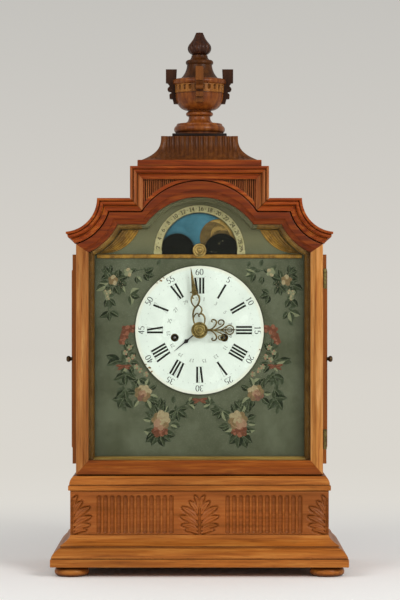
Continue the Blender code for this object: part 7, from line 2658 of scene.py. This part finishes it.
@dataclass
class Studio:
    """Pale floor that fades into a pale room, soft light from both sides and the camera of the picture."""

    radius: float = 11.0
    paper_colour: str = "#fdfcfa"
    near_colour: str = "#dfdcd5"
    low_colour: str = "#dad6ce"
    horizon_colour: str = "#d6d2cb"
    high_colour: str = "#c4c2bd"
    light_colour: str = "#fbfaf8"
    fibre_mm: float = 60.0
    camera_place: Point3 = (0.0006, -2.671, 0.3272)
    sensor: float = 24.0
    lens: float = 87.4
    world_strength: float = 0.5
    key_watts: float = 34.0
    fill_share: float = 0.6

    def build(self) -> None:
        """Build the floor, the room, the lights and the camera."""
        self.floor()
        self.room()
        self.lamp("key_soft", (1.45, -1.9, 1.35), 0.9, self.key_watts)
        self.lamp("fill_soft", (-1.5, -1.8, 1.5), 1.1, self.key_watts * self.fill_share)
        self.camera()
        bpy.context.scene.view_settings.view_transform = "Standard"

    def floor(self) -> None:
        """Lay a wide round of paper under the clock."""
        points: list[Point3] = [(0.0, 0.0, 0.0)]
        reaches = (0.3, 0.6, 1.0, 1.6, 2.6, 4.2, 6.8, self.radius)
        sides = 64
        for reach in reaches:
            points += [(x, y, 0.0) for x, y in arc((0.0, 0.0), reach, 0.0, 360.0, sides)[:-1]]
        places = [(k, (k + 1) % sides) for k in range(sides)]
        faces: list[tuple[int, ...]] = [(0, 1 + k, 1 + after) for k, after in places]
        for ring in range(len(reaches) - 1):
            here, there = 1 + ring * sides, 1 + (ring + 1) * sides
            faces += [(here + k, there + k, there + after, here + after) for k, after in places]
        mesh = bpy.data.meshes.new("studio_floor")
        mesh.from_pydata(points, [], faces)
        mesh.materials.append(self.paper())
        floor = bpy.data.objects.new("studio_floor", mesh)
        bpy.context.scene.collection.objects.link(floor)
        LOG.info("studio floor is laid")

    def seen(self, tree: Tree) -> Socket:
        """Tell the rays that show the background: from the camera, off a gloss or through glass.

        Args:
            tree: Node tree of the paper or the room.

        Returns:
            1 for those rays, 0 for the rest.
        """
        path = add_node(tree, "LightPath").node.outputs
        camera, gloss, through = (path[f"Is {kind} Ray"] for kind in ("Camera", "Glossy", "Transmission"))
        seen = add_node(tree, "Math", {0: camera, 1: gloss}, operation="MAXIMUM")
        return add_node(tree, "Math", {0: seen, 1: through}, operation="MAXIMUM")

    def paper(self) -> bpy.types.Material:
        """Make matt background paper: it takes the clock's shadow near by and glows evenly farther off.

        Returns:
            The material.
        """
        made = bpy.data.materials.new("background_paper_matt")
        made.use_nodes = True
        tree = made.node_tree
        tree.nodes.clear()
        place = add_node(tree, "NewGeometry", output="Position")
        fibre = add_node(tree, "TexNoise", {
            "Vector": place, "Scale": 1 / (self.fibre_mm * MM), "Detail": 4.0})
        rough = add_node(tree, "MapRange", {"Value": fibre, "To Min": 0.82, "To Max": 0.95})
        matt = add_node(tree, "BsdfPrincipled", {
            "Base Color": linear(self.paper_colour), "Roughness": rough, "Specular IOR Level": 0.15})
        reach = add_node(tree, "VectorMath", {0: place}, "Value", operation="LENGTH")
        share = add_node(tree, "MapRange", {"Value": reach, "From Min": 0.4, "From Max": self.radius})
        colour = add_node(tree, "ValToRGB", {0: share}, ramp=[
            (0.0, linear(self.near_colour)), (0.12, linear(self.low_colour)),
            (1.0, linear(self.horizon_colour))])
        glow = add_node(tree, "Emission", {"Color": colour, "Strength": 1.0})
        away = add_node(tree, "MapRange", {"Value": reach, "From Min": 0.3, "From Max": 1.0},
                        interpolation_type="SMOOTHSTEP")
        glowing = add_node(tree, "Math", {0: self.seen(tree), 1: away}, operation="MULTIPLY")
        both = add_node(tree, "MixShader", {0: glowing, 1: matt, 2: glow})
        add_node(tree, "OutputMaterial", {"Surface": both})
        return made

    def room(self) -> None:
        """Make the room: an even light, seen as a pale wall that darkens a little upwards."""
        world = bpy.data.worlds.new("studio_room")
        world.use_nodes = True
        tree = world.node_tree
        tree.nodes.clear()
        light = add_node(tree, "Background", {
            "Color": linear(self.light_colour), "Strength": self.world_strength})
        way = add_node(tree, "TexCoord", output="Generated")
        height = add_node(tree, "SeparateXYZ", {0: way}, "Z")
        share = add_node(tree, "MapRange", {"Value": height, "From Min": 0.0, "From Max": 0.14})
        colour = add_node(tree, "ValToRGB", {0: share}, ramp=[
            (0.0, linear(self.horizon_colour)), (1.0, linear(self.high_colour))])
        wall = add_node(tree, "Background", {"Color": colour, "Strength": 1.0})
        both = add_node(tree, "MixShader", {0: self.seen(tree), 1: light, 2: wall})
        add_node(tree, "OutputWorld", {"Surface": both})
        bpy.context.scene.world = world

    def lamp(self, name: str, place: Point3, size: float, watts: float) -> None:
        """Add one soft square lamp that faces the middle of the clock.

        Args:
            name: Name of the lamp.
            place: Its place in metres.
            size: Side of its square in metres.
            watts: Its power.
        """
        data = bpy.data.lights.new(name, "AREA")
        data.size = size
        data.energy = watts
        made = bpy.data.objects.new(name, data)
        made.location = place
        made.rotation_euler = (Vector((0.0, 0.0, 0.3)) - Vector(place)).to_track_quat("-Z", "Y").to_euler()
        bpy.context.scene.collection.objects.link(made)

    def camera(self) -> None:
        """Place the camera level with the dial's upper half, as in the picture."""
        data = bpy.data.cameras.new("picture_camera")
        data.sensor_fit = "VERTICAL"
        data.sensor_height = self.sensor
        data.lens = self.lens
        made = bpy.data.objects.new("picture_camera", data)
        made.location = self.camera_place
        made.rotation_euler = (math.pi / 2, 0.0, 0.0)
        bpy.context.scene.collection.objects.link(made)
        bpy.context.scene.camera = made


def main() -> None:
    """Build the clock's dress in order, then the studio."""
    logging.basicConfig(level=logging.INFO, format="%(name)s: %(message)s")
    line = RoofLine()
    for assembly in (Base(), Cornice(line), Pedestal(), Urn(), FrontDoor(line), Carcase(), DialPlate(line),
                     Lunette(), ChapterRing(), Garlands(), Hands(), Movement(), Studio()):
        assembly.build()


if __name__ == "__main__":
    main()
